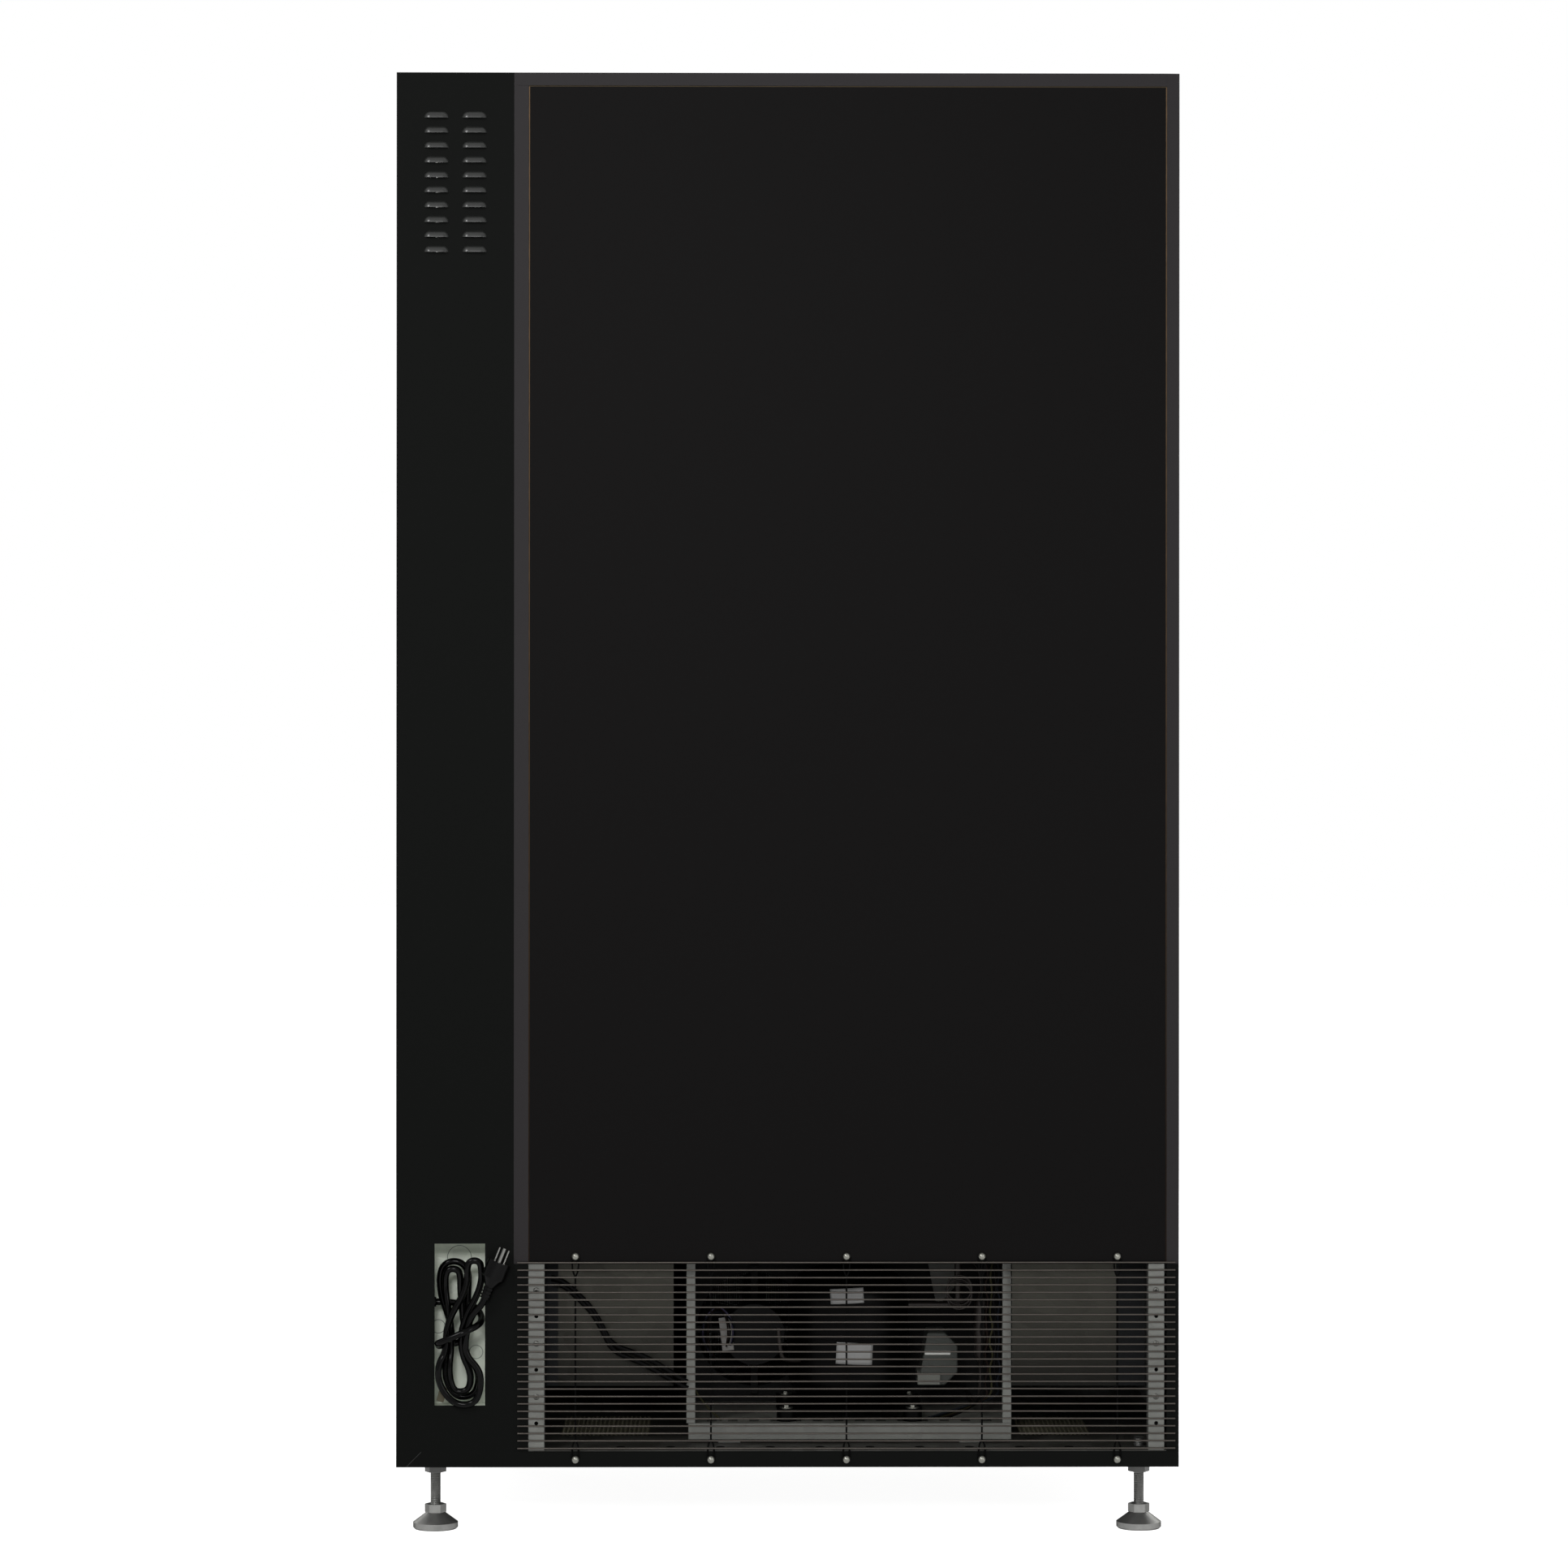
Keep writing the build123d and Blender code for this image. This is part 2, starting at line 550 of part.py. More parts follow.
def tray_rails():
    """Ten rails on the chamber's side walls, which carry the trays."""
    rails = []
    for index in range(TRAY_COUNT):
        z = (tray_floor(index) - RUNNING_GAP - RAIL_HEIGHT, tray_floor(index) - RUNNING_GAP)
        y = (TRAY_FRONT, TRAY_BACK)
        rails.append(block((CHAMBER_LEFT, CHAMBER_LEFT + RAIL_WIDTH), y, z))
        rails.append(block((CHAMBER_RIGHT - RAIL_WIDTH, CHAMBER_RIGHT), y, z))
    save("tray_rails", *rails)


def cord_recess():
    """A galvanised pocket behind the cut-out, where the folded cord is stowed."""
    z = (CUTOUT_BOTTOM - RECESS_MARGIN, CUTOUT_BOTTOM + CUTOUT_HEIGHT + RECESS_MARGIN)
    y = (RECESS_BACK, BACK_IN)
    pocket = block((RECESS_LEFT - SHEET, RECESS_RIGHT + SHEET), (RECESS_BACK - SHEET, BACK_IN),
                   (z[0] - SHEET, z[1] + SHEET))
    pocket -= block((RECESS_LEFT, RECESS_RIGHT), (RECESS_BACK, BACK_IN + OVERRUN), z)
    gland = gland_point()
    pocket -= rod(GLAND_NECK_RADIUS, (RECESS_RIGHT - OVERRUN, gland[1], gland[2]),
                  (RECESS_RIGHT + SHEET + OVERRUN, gland[1], gland[2]))
    save("cord_recess", pocket)


def foot_places():
    """The four foot centres, seen from above."""
    xs = (LEFT + FOOT_INSET_X, RIGHT - FOOT_INSET_X)
    ys = (FRONT + FOOT_INSET_Y, BACK - FOOT_INSET_Y)
    return [(x, y) for y in ys for x in xs]


def hexagon(x, y, bottom, height):
    """A hexagon nut blank that stands on its flat face."""
    return Pos(x, y, bottom) * extrude(RegularPolygon(FOOT_NUT_WIDTH / 2, 6, major_radius=False), height)


def base_frame():
    """Four rails under the cabinet, with a boss and a lock nut for each foot."""
    z = (FOOT_HEIGHT, BASE_TOP)
    x = (LEFT, RIGHT)
    inner_x = ((LEFT, LEFT + 2 * BASE_RAIL_WIDTH), (RIGHT - 2 * BASE_RAIL_WIDTH, RIGHT))
    y_front, y_back = (FRONT, FRONT + BASE_RAIL_WIDTH), (BACK - BASE_RAIL_WIDTH, BACK)
    rails = [block(x, y_front, z), block(x, y_back, z)]
    rails += [block(side, (y_front[1], y_back[0]), z) for side in inner_x]
    nuts = []
    for px, py in foot_places():
        stem = rod(FOOT_STEM_RADIUS + SHAFT_CLEARANCE, (px, py, FOOT_HEIGHT - OVERRUN - LOCK_NUT_HEIGHT),
                   (px, py, BASE_TOP + OVERRUN))
        rails = [rail - stem for rail in rails]
        nuts.append(hexagon(px, py, FOOT_HEIGHT - LOCK_NUT_HEIGHT, LOCK_NUT_HEIGHT) - stem)
    low = screw_levels()[0]
    for px in stay_places():
        rails[1] -= rod(SCREW_RADIUS, (px, BACK - SCREW_LENGTH, low), (px, BACK + OVERRUN, low))
    save("base_frame", *rails, *nuts)


def foot(name, px, py):
    """A levelling foot: a coned pad, a hexagon to turn it by and a threaded stem."""
    rim = FOOT_PAD_RIM
    profile = make_face(Polyline(
        (0, 0), (FOOT_PAD_RADIUS - FOOT_PAD_RIM / 4, 0), (FOOT_PAD_RADIUS, FOOT_PAD_RIM / 4),
        (FOOT_PAD_RADIUS, rim), (FOOT_NECK_RADIUS, FOOT_PAD_HEIGHT), (0, FOOT_PAD_HEIGHT), close=True))
    pad = revolve(Plane.XZ * profile, Axis.Z)
    body = Pos(px, py, 0) * pad
    body += hexagon(px, py, FOOT_PAD_HEIGHT, FOOT_HEX_HEIGHT)
    body += rod(FOOT_STEM_RADIUS, (px, py, FOOT_PAD_HEIGHT), (px, py, BASE_TOP + FOOT_STEM_ABOVE))
    save(name, body)


def stay_places():
    """Where the grille's upright stays and their screws stand, from left to right."""
    middle = (LEFT + COLUMN_LEFT) / 2
    return [middle + (i - (GRILLE_STAYS - 1) / 2) * GRILLE_STAY_PITCH for i in range(GRILLE_STAYS)]


def screw_levels():
    """The two heights at which the grille is screwed on."""
    return (FOOT_HEIGHT + BASE_RAIL_HEIGHT / 2, BAY_TOP + SCREW_RISE)


def rear_grille():
    """Level wires welded to upright stays, whose ends are bent into eyelets."""
    wire = GRILLE_WIRE / 2
    stay_y = BACK + wire
    wire_y = stay_y + GRILLE_WIRE - GRILLE_WELD
    low, high = screw_levels()
    middle = (BASE_TOP + BAY_TOP) / 2 + GRILLE_PITCH / 3
    grille = None
    for x in stay_places():
        stay = rod(wire, (x, stay_y, low + EYELET_RADIUS), (x, stay_y, high - EYELET_RADIUS))
        for z in (low, high):
            stay += Pos(x, stay_y, z) * Rot(QUARTER_TURN, 0, 0) * Torus(EYELET_RADIUS, wire)
        grille = stay if grille is None else grille + stay
    ends = (LEFT + GRILLE_END_INSET, COLUMN_LEFT - GRILLE_END_INSET)
    for row in range(GRILLE_WIRES):
        z = middle + (row - (GRILLE_WIRES - 1) / 2) * GRILLE_PITCH
        grille += rod(wire, (ends[0], wire_y, z), (ends[1], wire_y, z))
    save("rear_grille", grille)


def grille_screws():
    """Domed screws that hold the grille's eyelets."""
    screws = []
    seat = BACK + GRILLE_WIRE
    dome_radius = (SCREW_HEAD_RADIUS**2 + SCREW_HEAD_HEIGHT**2) / (2 * SCREW_HEAD_HEIGHT)
    for z in screw_levels():
        for x in stay_places():
            dome = Pos(x, seat + SCREW_HEAD_HEIGHT - dome_radius, z) * Sphere(dome_radius)
            keep = 4 * dome_radius
            head = dome & block(around(x, keep), (seat, seat + dome_radius), around(z, keep))
            screws.append(head + rod(SCREW_RADIUS, (x, BACK - SCREW_LENGTH, z), (x, seat + OVERRUN / 5, z)))
    save("grille_screws", *screws)


def machine_bay_frame():
    """Galvanised floor, two punched uprights and two baffles behind the grille."""
    floor_z = (BASE_TOP, FLOOR_TOP)
    floor = block((LEFT + SHEET, COLUMN_LEFT - SHEET), (FRONT, BACK_IN), floor_z)
    column_floor = block((COLUMN_LEFT, RIGHT - SHEET), (FRONT, BACK_IN), floor_z)
    for px, py in foot_places():
        hole = rod(FOOT_STEM_RADIUS + SHEET, (px, py, BASE_TOP - OVERRUN), (px, py, FLOOR_TOP + OVERRUN))
        floor, column_floor = floor - hole, column_floor - hole
    pieces = [floor, column_floor]
    z = (FLOOR_TOP, BAY_TOP)
    for left in (LEFT + COLUMN_FLANGE, COLUMN_LEFT - 2 * COLUMN_FLANGE - SHEET):
        x = (left, left + UPRIGHT_WIDTH)
        upright = block(x, (BACK_IN - UPRIGHT_DEPTH, BACK_IN), z)
        upright -= block((x[0] + SHEET, x[1] - SHEET), (BACK_IN - UPRIGHT_DEPTH - OVERRUN, BACK_IN - SHEET),
                         (z[0] - OVERRUN, z[1] + OVERRUN))
        for hole in range(UPRIGHT_HOLES):
            level = z[0] + (hole + 1) * BAY_HEIGHT / (UPRIGHT_HOLES + 1)
            upright -= rod(UPRIGHT_HOLE_RADIUS, (sum(x) / 2, BACK_IN - SHEET - OVERRUN, level),
                           (sum(x) / 2, BACK_IN + OVERRUN, level))
        pieces.append(upright)
    baffle_y = (BACK - BAFFLE_SETBACK, BACK - BAFFLE_SETBACK + SHEET)
    for left in (DECK_RIGHT + COLUMN_FLANGE, DECK_LEFT - BAFFLE_WIDTH):
        x = (left, left + BAFFLE_WIDTH)
        bottom = BAY_TOP - BAFFLE_HEIGHT
        baffle = block(x, baffle_y, (bottom, BAY_TOP))
        baffle += block(x, (baffle_y[0] - BAFFLE_LIP, baffle_y[1]), (bottom, bottom + SHEET))
        pieces.append(baffle)
    save("machine_bay_frame", *pieces)


def cooling_deck():
    """The slide-out platform that carries the refrigeration unit."""
    x, y = (DECK_LEFT, DECK_RIGHT), (DECK_FRONT, DECK_BACK)
    deck = block(x, y, (DECK_TOP - DECK_FLANGE, DECK_TOP))
    deck -= block((x[0] + SHEET, x[1] - SHEET), (y[0] + SHEET, y[1] - SHEET),
                  (DECK_TOP - DECK_FLANGE - OVERRUN, DECK_TOP - SHEET))
    runners = []
    for edge in (x[0] + RUNNER_INSET, x[1] - RUNNER_INSET - RUNNER_WIDTH):
        runner_z = (FLOOR_TOP, DECK_TOP - SHEET)
        runners.append(block((edge, edge + RUNNER_WIDTH), (y[0] + SHEET, y[1] - SHEET), runner_z))
    save("cooling_deck", deck, *runners)


def compressor():
    """A hermetic compressor: a welded domed pot on a plate with four rubber grommets."""
    low, high, r = COMPRESSOR_BASE, COMPRESSOR_TOP, COMPRESSOR_RADIUS
    turn = math.radians(COMPRESSOR_SHOULDER_TURN)
    shoulder = COMPRESSOR_SHOULDER
    edge_x = r - shoulder + shoulder * math.cos(turn)
    edge_z = high - edge_x * math.tan((math.pi / 2 - turn) / 2)
    side_top = edge_z - shoulder * math.sin(turn)
    slope = (-math.sin(turn), math.cos(turn))
    outline = Polyline((0, high), (0, low), (r - shoulder, low))
    outline += TangentArc((r - shoulder, low), (r, low + shoulder), tangent=(1, 0))
    outline += Line((r, low + shoulder), (r, side_top))
    outline += TangentArc((r, side_top), (edge_x, edge_z), tangent=(0, 1))
    outline += TangentArc((edge_x, edge_z), (0, high), tangent=slope)
    pot = Pos(DECK_CENTRE_X, COMPRESSOR_Y, 0) * revolve(Plane.XZ * make_face(outline.edges()), Axis.Z)
    seam = (low + high) / 2
    weld = Pos(DECK_CENTRE_X, COMPRESSOR_Y, seam) * Cylinder(r + SHEET, 2 * COMPRESSOR_FOOT_THICKNESS)
    plate_z = (DECK_TOP + GROMMET_HEIGHT, low)
    plate_x = around(DECK_CENTRE_X, 2 * (COMPRESSOR_FOOT_SPREAD + GROMMET_RADIUS))
    plate = block(plate_x, around(COMPRESSOR_Y, 2 * r), plate_z)
    grommets = []
    for x, y in compressor_feet():
        plate -= rod(SCREW_RADIUS, (x, y, plate_z[0] - OVERRUN), (x, y, plate_z[1] + OVERRUN))
        grommets.append(rod(GROMMET_RADIUS, (x, y, DECK_TOP), (x, y, plate_z[0])))
    save("compressor", pot + weld + plate, *grommets)


def compressor_feet():
    """The four corners of the compressor's plate, where the grommets stand."""
    across, along = COMPRESSOR_FOOT_SPREAD, COMPRESSOR_RADIUS - GROMMET_RADIUS
    return [(DECK_CENTRE_X + a * across, COMPRESSOR_Y + b * along) for a in (-1, 1) for b in (-1, 1)]


def compressor_mounts():
    """Bolts and washers through the grommets."""
    bolts = []
    top = DECK_TOP + GROMMET_HEIGHT + COMPRESSOR_FOOT_THICKNESS
    for x, y in compressor_feet():
        bolt = rod(GROMMET_RADIUS * 0.7, (x, y, top), (x, y, top + SHEET))
        bolt += Pos(x, y, top) * extrude(RegularPolygon(2 * SCREW_RADIUS, 6), 3 * SHEET)
        bolts.append(bolt)
    save("compressor_mounts", *bolts)


def terminal_box():
    """The plastic cover over the compressor's terminals and overload switch."""
    left = DECK_CENTRE_X - COMPRESSOR_RADIUS - TERMINAL_BOX_WIDTH
    right = DECK_CENTRE_X - COMPRESSOR_RADIUS + TERMINAL_BOX_WIDTH / 4
    bottom = COMPRESSOR_BASE + TERMINAL_BOX_RISE
    slope = TERMINAL_BOX_HEIGHT / 4
    outline = Polyline(
        (left, bottom + slope), (left + slope, bottom), (right, bottom), (right, bottom + TERMINAL_BOX_HEIGHT),
        (left + slope, bottom + TERMINAL_BOX_HEIGHT), (left, bottom + TERMINAL_BOX_HEIGHT - slope), close=True)
    shape = extrude(Plane.XZ * make_face(outline), TERMINAL_BOX_DEPTH)
    box = Pos(0, COMPRESSOR_Y + TERMINAL_BOX_DEPTH / 2, 0) * shape
    box -= Pos(DECK_CENTRE_X, COMPRESSOR_Y, 0) * Cylinder(COMPRESSOR_RADIUS + SHEET, 2 * HEIGHT)
    save("terminal_box", box)


def condenser():
    """A finned block with its tube bends, at the front of the deck."""
    y = (DECK_FRONT + SHEET, DECK_FRONT + SHEET + CONDENSER_DEPTH)
    z = (DECK_TOP, DECK_TOP + CONDENSER_HEIGHT)
    x = around(DECK_CENTRE_X, CONDENSER_WIDTH)
    coil = block((x[0] + SHEET, x[1] - SHEET), y, z)
    for side in (x[0], x[1] - SHEET):
        coil += block((side, side + SHEET), y, z)
    step = CONDENSER_HEIGHT / CONDENSER_TUBES
    bend = step / 4
    for row in range(CONDENSER_TUBES):
        level = z[0] + (row + 0.5) * step
        for depth in (0.25, 0.75):
            middle = y[0] + depth * CONDENSER_DEPTH
            ring = Rot(0, QUARTER_TURN, 0) * Rot(QUARTER_TURN, 0, 0) * Torus(bend, CONDENSER_TUBE_RADIUS / 2)
            coil += Pos(x[0], middle, level) * ring
    save("condenser", coil)


def blades(hub_y, pitch_sign):
    """A fan wheel about the Y axis: a hub with twisted blades, before it is moved to its place."""
    wheel = rod(FAN_HUB_RADIUS, (0, hub_y - FAN_DEPTH / 2, 0), (0, hub_y + FAN_DEPTH / 2, 0))
    span = FAN_RADIUS - FAN_HUB_RADIUS + SHEET * 2
    for index in range(FAN_BLADES):
        blade = Box(FAN_DEPTH * 1.6, SHEET * 1.4, span)
        blade = Rot(0, 0, pitch_sign * QUARTER_TURN / 3) * blade
        blade = Pos(0, hub_y, FAN_HUB_RADIUS - SHEET * 2 + span / 2) * blade
        wheel += Rot(0, index * 4 * QUARTER_TURN / FAN_BLADES, 0) * blade
    wheel &= rod(FAN_RADIUS, (0, hub_y - FAN_DEPTH, 0), (0, hub_y + FAN_DEPTH, 0))
    return wheel


def condenser_fan():
    """The fan wheel that draws air through the condenser, with its motor shaft."""
    y = (SHROUD_FRONT + SHROUD_BACK) / 2
    wheel = blades(y, 1) + rod(FAN_SHAFT_RADIUS, (0, y, 0), (0, SHROUD_BACK + STRUT_WIDTH, 0))
    save("condenser_fan", Pos(FAN_X, 0, FAN_Z) * wheel)


def fan_housing():
    """The shroud with its round mouth, and the motor on three struts behind it."""
    x, z = (DECK_LEFT + SHEET, DECK_RIGHT), (DECK_TOP, DECK_TOP + SHROUD_HEIGHT)
    y = (SHROUD_FRONT, SHROUD_BACK)
    shroud = block(x, y, z)
    shroud -= rod(FAN_RADIUS + FAN_TIP_GAP, (FAN_X, y[0] - OVERRUN, FAN_Z), (FAN_X, y[1] + OVERRUN, FAN_Z))
    across, height = discharge_line()
    shroud -= rod(PIPE_RADIUS, (across, y[0] - OVERRUN, height), (across, y[1] + OVERRUN, height))
    motor_y = (SHROUD_BACK + STRUT_WIDTH / 2, SHROUD_BACK + STRUT_WIDTH / 2 + MOTOR_LENGTH)
    motor = rod(MOTOR_RADIUS, (FAN_X, motor_y[0], FAN_Z), (FAN_X, motor_y[1], FAN_Z))
    strut_y = (SHROUD_BACK, SHROUD_BACK + STRUT_WIDTH)
    reach = FAN_RADIUS + FAN_TIP_GAP + STRUT_WIDTH
    struts = block(around(FAN_X, STRUT_WIDTH), strut_y, around(FAN_Z, 2 * reach))
    struts += block(around(FAN_X, 2 * reach), strut_y, around(FAN_Z, STRUT_WIDTH))
    whole = motor + struts
    whole -= rod(FAN_SHAFT_RADIUS + SHAFT_CLEARANCE, (FAN_X, SHROUD_BACK - OVERRUN, FAN_Z),
                 (FAN_X, SHROUD_BACK + STRUT_WIDTH + OVERRUN, FAN_Z))
    save("fan_housing", shroud, whole)


def suction_point():
    """Where the suction pipe passes up through the chamber floor."""
    return (DECK_CENTRE_X - COMPRESSOR_RADIUS - TERMINAL_BOX_WIDTH, BACK - 2 * WALL - PIPE_BEND)


def pipe_holes(z):
    """The hole that the suction pipe takes through a sheet or a slab."""
    x, y = suction_point()
    return rod(PIPE_RADIUS, (x, y, z[0] - OVERRUN / 5), (x, y, z[1] + OVERRUN / 5))


def discharge_line():
    """Where the discharge pipe runs along the deck: its place across and its height."""
    return (DECK_CENTRE_X - COMPRESSOR_RADIUS / 2, COMPRESSOR_TOP - COMPRESSOR_PIPE_DROP)


def refrigerant_pipes():
    """The copper suction line from the evaporator and the discharge line to the condenser."""
    x, y = suction_point()
    level = COMPRESSOR_TOP - COMPRESSOR_PIPE_DROP
    suction = bent_pipe([
        (x, y, CHAMBER_FLOOR + EVAPORATOR_LEGS), (x, y, level), (x, COMPRESSOR_Y, level),
        (DECK_CENTRE_X - COMPRESSOR_RADIUS / 2, COMPRESSOR_Y, level)], PIPE_RADIUS, PIPE_BEND / 2)
    across, height = discharge_line()
    coil_back = DECK_FRONT + SHEET + CONDENSER_DEPTH
    discharge = rod(PIPE_RADIUS, (across, coil_back, height), (across, COMPRESSOR_Y, height))
    pot = Pos(DECK_CENTRE_X, COMPRESSOR_Y, COMPRESSOR_TOP) * Cylinder(COMPRESSOR_RADIUS, 2 * COMPRESSOR_HEIGHT)
    save("refrigerant_pipes", suction - pot, discharge - pot)


def evaporator():
    """The finned evaporator on its legs at the back of the chamber floor."""
    y = (CHAMBER_BACK - DUCT_DEPTH - EVAPORATOR_DEPTH, CHAMBER_BACK - DUCT_DEPTH)
    x = around(DECK_CENTRE_X, EVAPORATOR_WIDTH)
    z = (CHAMBER_FLOOR + EVAPORATOR_LEGS, CHAMBER_FLOOR + EVAPORATOR_LEGS + EVAPORATOR_HEIGHT)
    core = block(x, y, z)
    for side in x:
        leg_x = (side, side + SHEET) if side < DECK_CENTRE_X else (side - SHEET, side)
        core += block(leg_x, y, (CHAMBER_FLOOR, z[1]))
    save("evaporator", core)


def air_duct():
    """The plenum over the evaporator and the flat duct that leads cold air up the back wall."""
    x = around(DECK_CENTRE_X, DUCT_WIDTH)
    front = CHAMBER_BACK - COOLER_BOX_DEPTH
    low, top = CHAMBER_FLOOR, CHAMBER_FLOOR + COOLER_BOX_HEIGHT
    duct_front = CHAMBER_BACK - DUCT_DEPTH
    face = block(x, (front, front + SHEET), (low, top))
    fan = fan_place()
    face -= rod(FAN_RADIUS + FAN_TIP_GAP, (fan[0], front - OVERRUN, fan[1]),
                (fan[0], front + SHEET + OVERRUN, fan[1]))
    lid = block(x, (front + SHEET, duct_front), (top - SHEET, top))
    riser = block(x, (duct_front, duct_front + SHEET), (top - SHEET, CHAMBER_TOP - DUCT_TOP_GAP))
    pieces = [face, lid, riser]
    for side in x:
        wall_x = (side, side + SHEET) if side < DECK_CENTRE_X else (side - SHEET, side)
        pieces.append(block(wall_x, (duct_front + SHEET, CHAMBER_BACK), (top, CHAMBER_TOP - DUCT_TOP_GAP)))
    motor_y = (front + SHEET + FAN_DEPTH, front + SHEET + FAN_DEPTH + MOTOR_LENGTH / 2)
    motor = rod(MOTOR_RADIUS / 2, (fan[0], motor_y[0], fan[1]), (fan[0], motor_y[1], fan[1]))
    bracket_z = (low, fan[1])
    motor += block(around(fan[0], STRUT_WIDTH * 2), (motor_y[1] - STRUT_WIDTH / 2, motor_y[1]), bracket_z)
    motor -= rod(FAN_SHAFT_RADIUS + SHAFT_CLEARANCE, (fan[0], motor_y[0] - OVERRUN, fan[1]),
                 (fan[0], motor_y[0] + STRUT_WIDTH + OVERRUN, fan[1]))
    pieces.append(motor)
    save("air_duct", *pieces)


def fan_place():
    """The centre of the evaporator fan, seen from the front."""
    return (DECK_CENTRE_X, CHAMBER_FLOOR + COOLER_BOX_HEIGHT - FAN_RADIUS - 2 * STRUT_WIDTH)


def evaporator_fan():
    """The fan wheel that blows chamber air over the evaporator."""
    x, z = fan_place()
    front = CHAMBER_BACK - COOLER_BOX_DEPTH
    y = front + SHEET / 2
    wheel = blades(y, -1) + rod(FAN_SHAFT_RADIUS, (0, y, 0), (0, front + SHEET + FAN_DEPTH + STRUT_WIDTH, 0))
    save("evaporator_fan", Pos(x, 0, z) * wheel)


def tray_floor(index):
    """The height of a tray's floor, counted from the top tray down."""
    return CHAMBER_FLOOR + LOWEST_TRAY_HEIGHT + (TRAY_COUNT - 1 - index) * TRAY_PITCH


def lane_centres():
    """The middle of each lane across a tray."""
    return [TRAY_LEFT + (lane + 0.5) * LANE_PITCH for lane in range(LANES)]


def spiral_axis_height(index):
    """The height of the spiral axes over a tray's floor."""
    return tray_floor(index) + TRAY_SHEET + SPIRAL_FLOOR_GAP + SPIRAL_RADIUS + SPIRAL_WIRE / 2


def tray_body(index):
    """A sheet tray with side walls, lane dividers, a price rail and the motor box at its back."""
    z = tray_floor(index)
    x, y = (TRAY_LEFT, TRAY_RIGHT), (TRAY_FRONT, TRAY_BACK)
    floor = block(x, (y[0] + PRICE_RAIL_THICKNESS, y[1]), (z, z + TRAY_SHEET))
    box_front = y[1] - MOTOR_BOX_DEPTH
    wall_z = (z + TRAY_SHEET, z + TRAY_SHEET + TRAY_WALL_HEIGHT)
    wall_y = (y[0] + PRICE_RAIL_THICKNESS, box_front)
    pieces = [floor]
    for edge in (x[0], x[1] - TRAY_SHEET):
        pieces.append(block((edge, edge + TRAY_SHEET), wall_y, wall_z))
    for lane in range(1, LANES):
        middle = TRAY_LEFT + lane * LANE_PITCH
        divider_z = (z + TRAY_SHEET, z + TRAY_SHEET + DIVIDER_HEIGHT)
        pieces.append(block(around(middle, TRAY_SHEET), wall_y, divider_z))
    pieces.append(block(x, (y[0], y[0] + PRICE_RAIL_THICKNESS), (z, z + PRICE_RAIL_HEIGHT)))
    box_z = (z + TRAY_SHEET, z + TRAY_SHEET + MOTOR_BOX_HEIGHT)
    motor_box = block(x, (box_front, y[1]), box_z)
    motor_box -= block((x[0] + TRAY_SHEET, x[1] - TRAY_SHEET), (box_front + TRAY_SHEET, y[1] + OVERRUN),
                       (box_z[0] + TRAY_SHEET, box_z[1] - TRAY_SHEET))
    height = spiral_axis_height(index)
    for middle in lane_centres():
        motor_box -= rod(COUPLER_SHAFT_RADIUS + SHAFT_CLEARANCE, (middle, box_front - OVERRUN, height),
                         (middle, box_front + COUPLER_SHAFT_LENGTH + OVERRUN, height))
    pieces.append(motor_box)
    return pieces


def spiral(x, z):
    """One vending spiral on its coupler: four turns of wire that end square on the coupler."""
    box_front = TRAY_BACK - MOTOR_BOX_DEPTH
    face = box_front - RUNNING_GAP - COUPLER_THICKNESS
    start_y = face - SPIRAL_WIRE - SPIRAL_LEAD
    stations = []
    quarters = SPIRAL_TURNS * 4
    for step in range(quarters + 1):
        angle = math.radians(QUARTER_TURN * (quarters - step))
        reach = SPIRAL_PITCH * (quarters - step) / 4
        point = (x + SPIRAL_RADIUS * math.cos(angle), start_y - reach, z + SPIRAL_RADIUS * math.sin(angle))
        climb = SPIRAL_PITCH / (2 * math.pi * SPIRAL_RADIUS)
        stations.append((point, (math.sin(angle), climb, -math.cos(angle))))
    turned = SPIRAL_LEAD / SPIRAL_RADIUS
    end = (x + SPIRAL_RADIUS * math.cos(turned), start_y + SPIRAL_LEAD, z - SPIRAL_RADIUS * math.sin(turned))
    stations.append((end, (0, 1, 0)))
    stations.append(((end[0], face, end[2]), (0, 1, 0)))
    wire = tube(wound_path(stations), SPIRAL_WIRE / 2)
    coupler = rod(SPIRAL_RADIUS + SPIRAL_WIRE / 2, (x, face, z), (x, face + COUPLER_THICKNESS, z))
    coupler += rod(COUPLER_SHAFT_RADIUS, (x, face, z), (x, box_front + COUPLER_SHAFT_LENGTH, z))
    return wire, coupler


def trays():
    """Five trays. The top tray's spirals turn on their own, the others are kept with their trays."""
    for index in range(TRAY_COUNT):
        height = spiral_axis_height(index)
        spirals = [spiral(x, height) for x in lane_centres()]
        name = f"tray_{index + 1}"
        if index == 0:
            save(name, *tray_body(index))
            for lane, pair in enumerate(spirals):
                save(f"spiral_{lane + 1}", *pair)
        else:
            save(name, *tray_body(index), *[piece for pair in spirals for piece in pair])


def kick_panel():
    """The fixed panel under the door, slotted for the condenser's air."""
    y = (FRONT - KICK_DEPTH, FRONT)
    x = (LEFT + SHEET, RIGHT - SHEET)
    z = (BASE_TOP, DOOR_BOTTOM - 2 * DOOR_GAP)
    panel = block(x, y, z)
    panel -= block((x[0] + SHEET, x[1] - SHEET), (y[0] + SHEET, y[1] + OVERRUN), (z[0] + SHEET, z[1] - SHEET))
    middle = sum(z) / 2
    for slot in range(KICK_SLOTS):
        level = middle + (slot - (KICK_SLOTS - 1) / 2) * KICK_SLOT_PITCH
        panel -= block(around(DECK_CENTRE_X, CONDENSER_WIDTH), (y[0] - OVERRUN, y[0] + SHEET + OVERRUN),
                       around(level, KICK_SLOT_HEIGHT))
    save("kick_panel", panel)


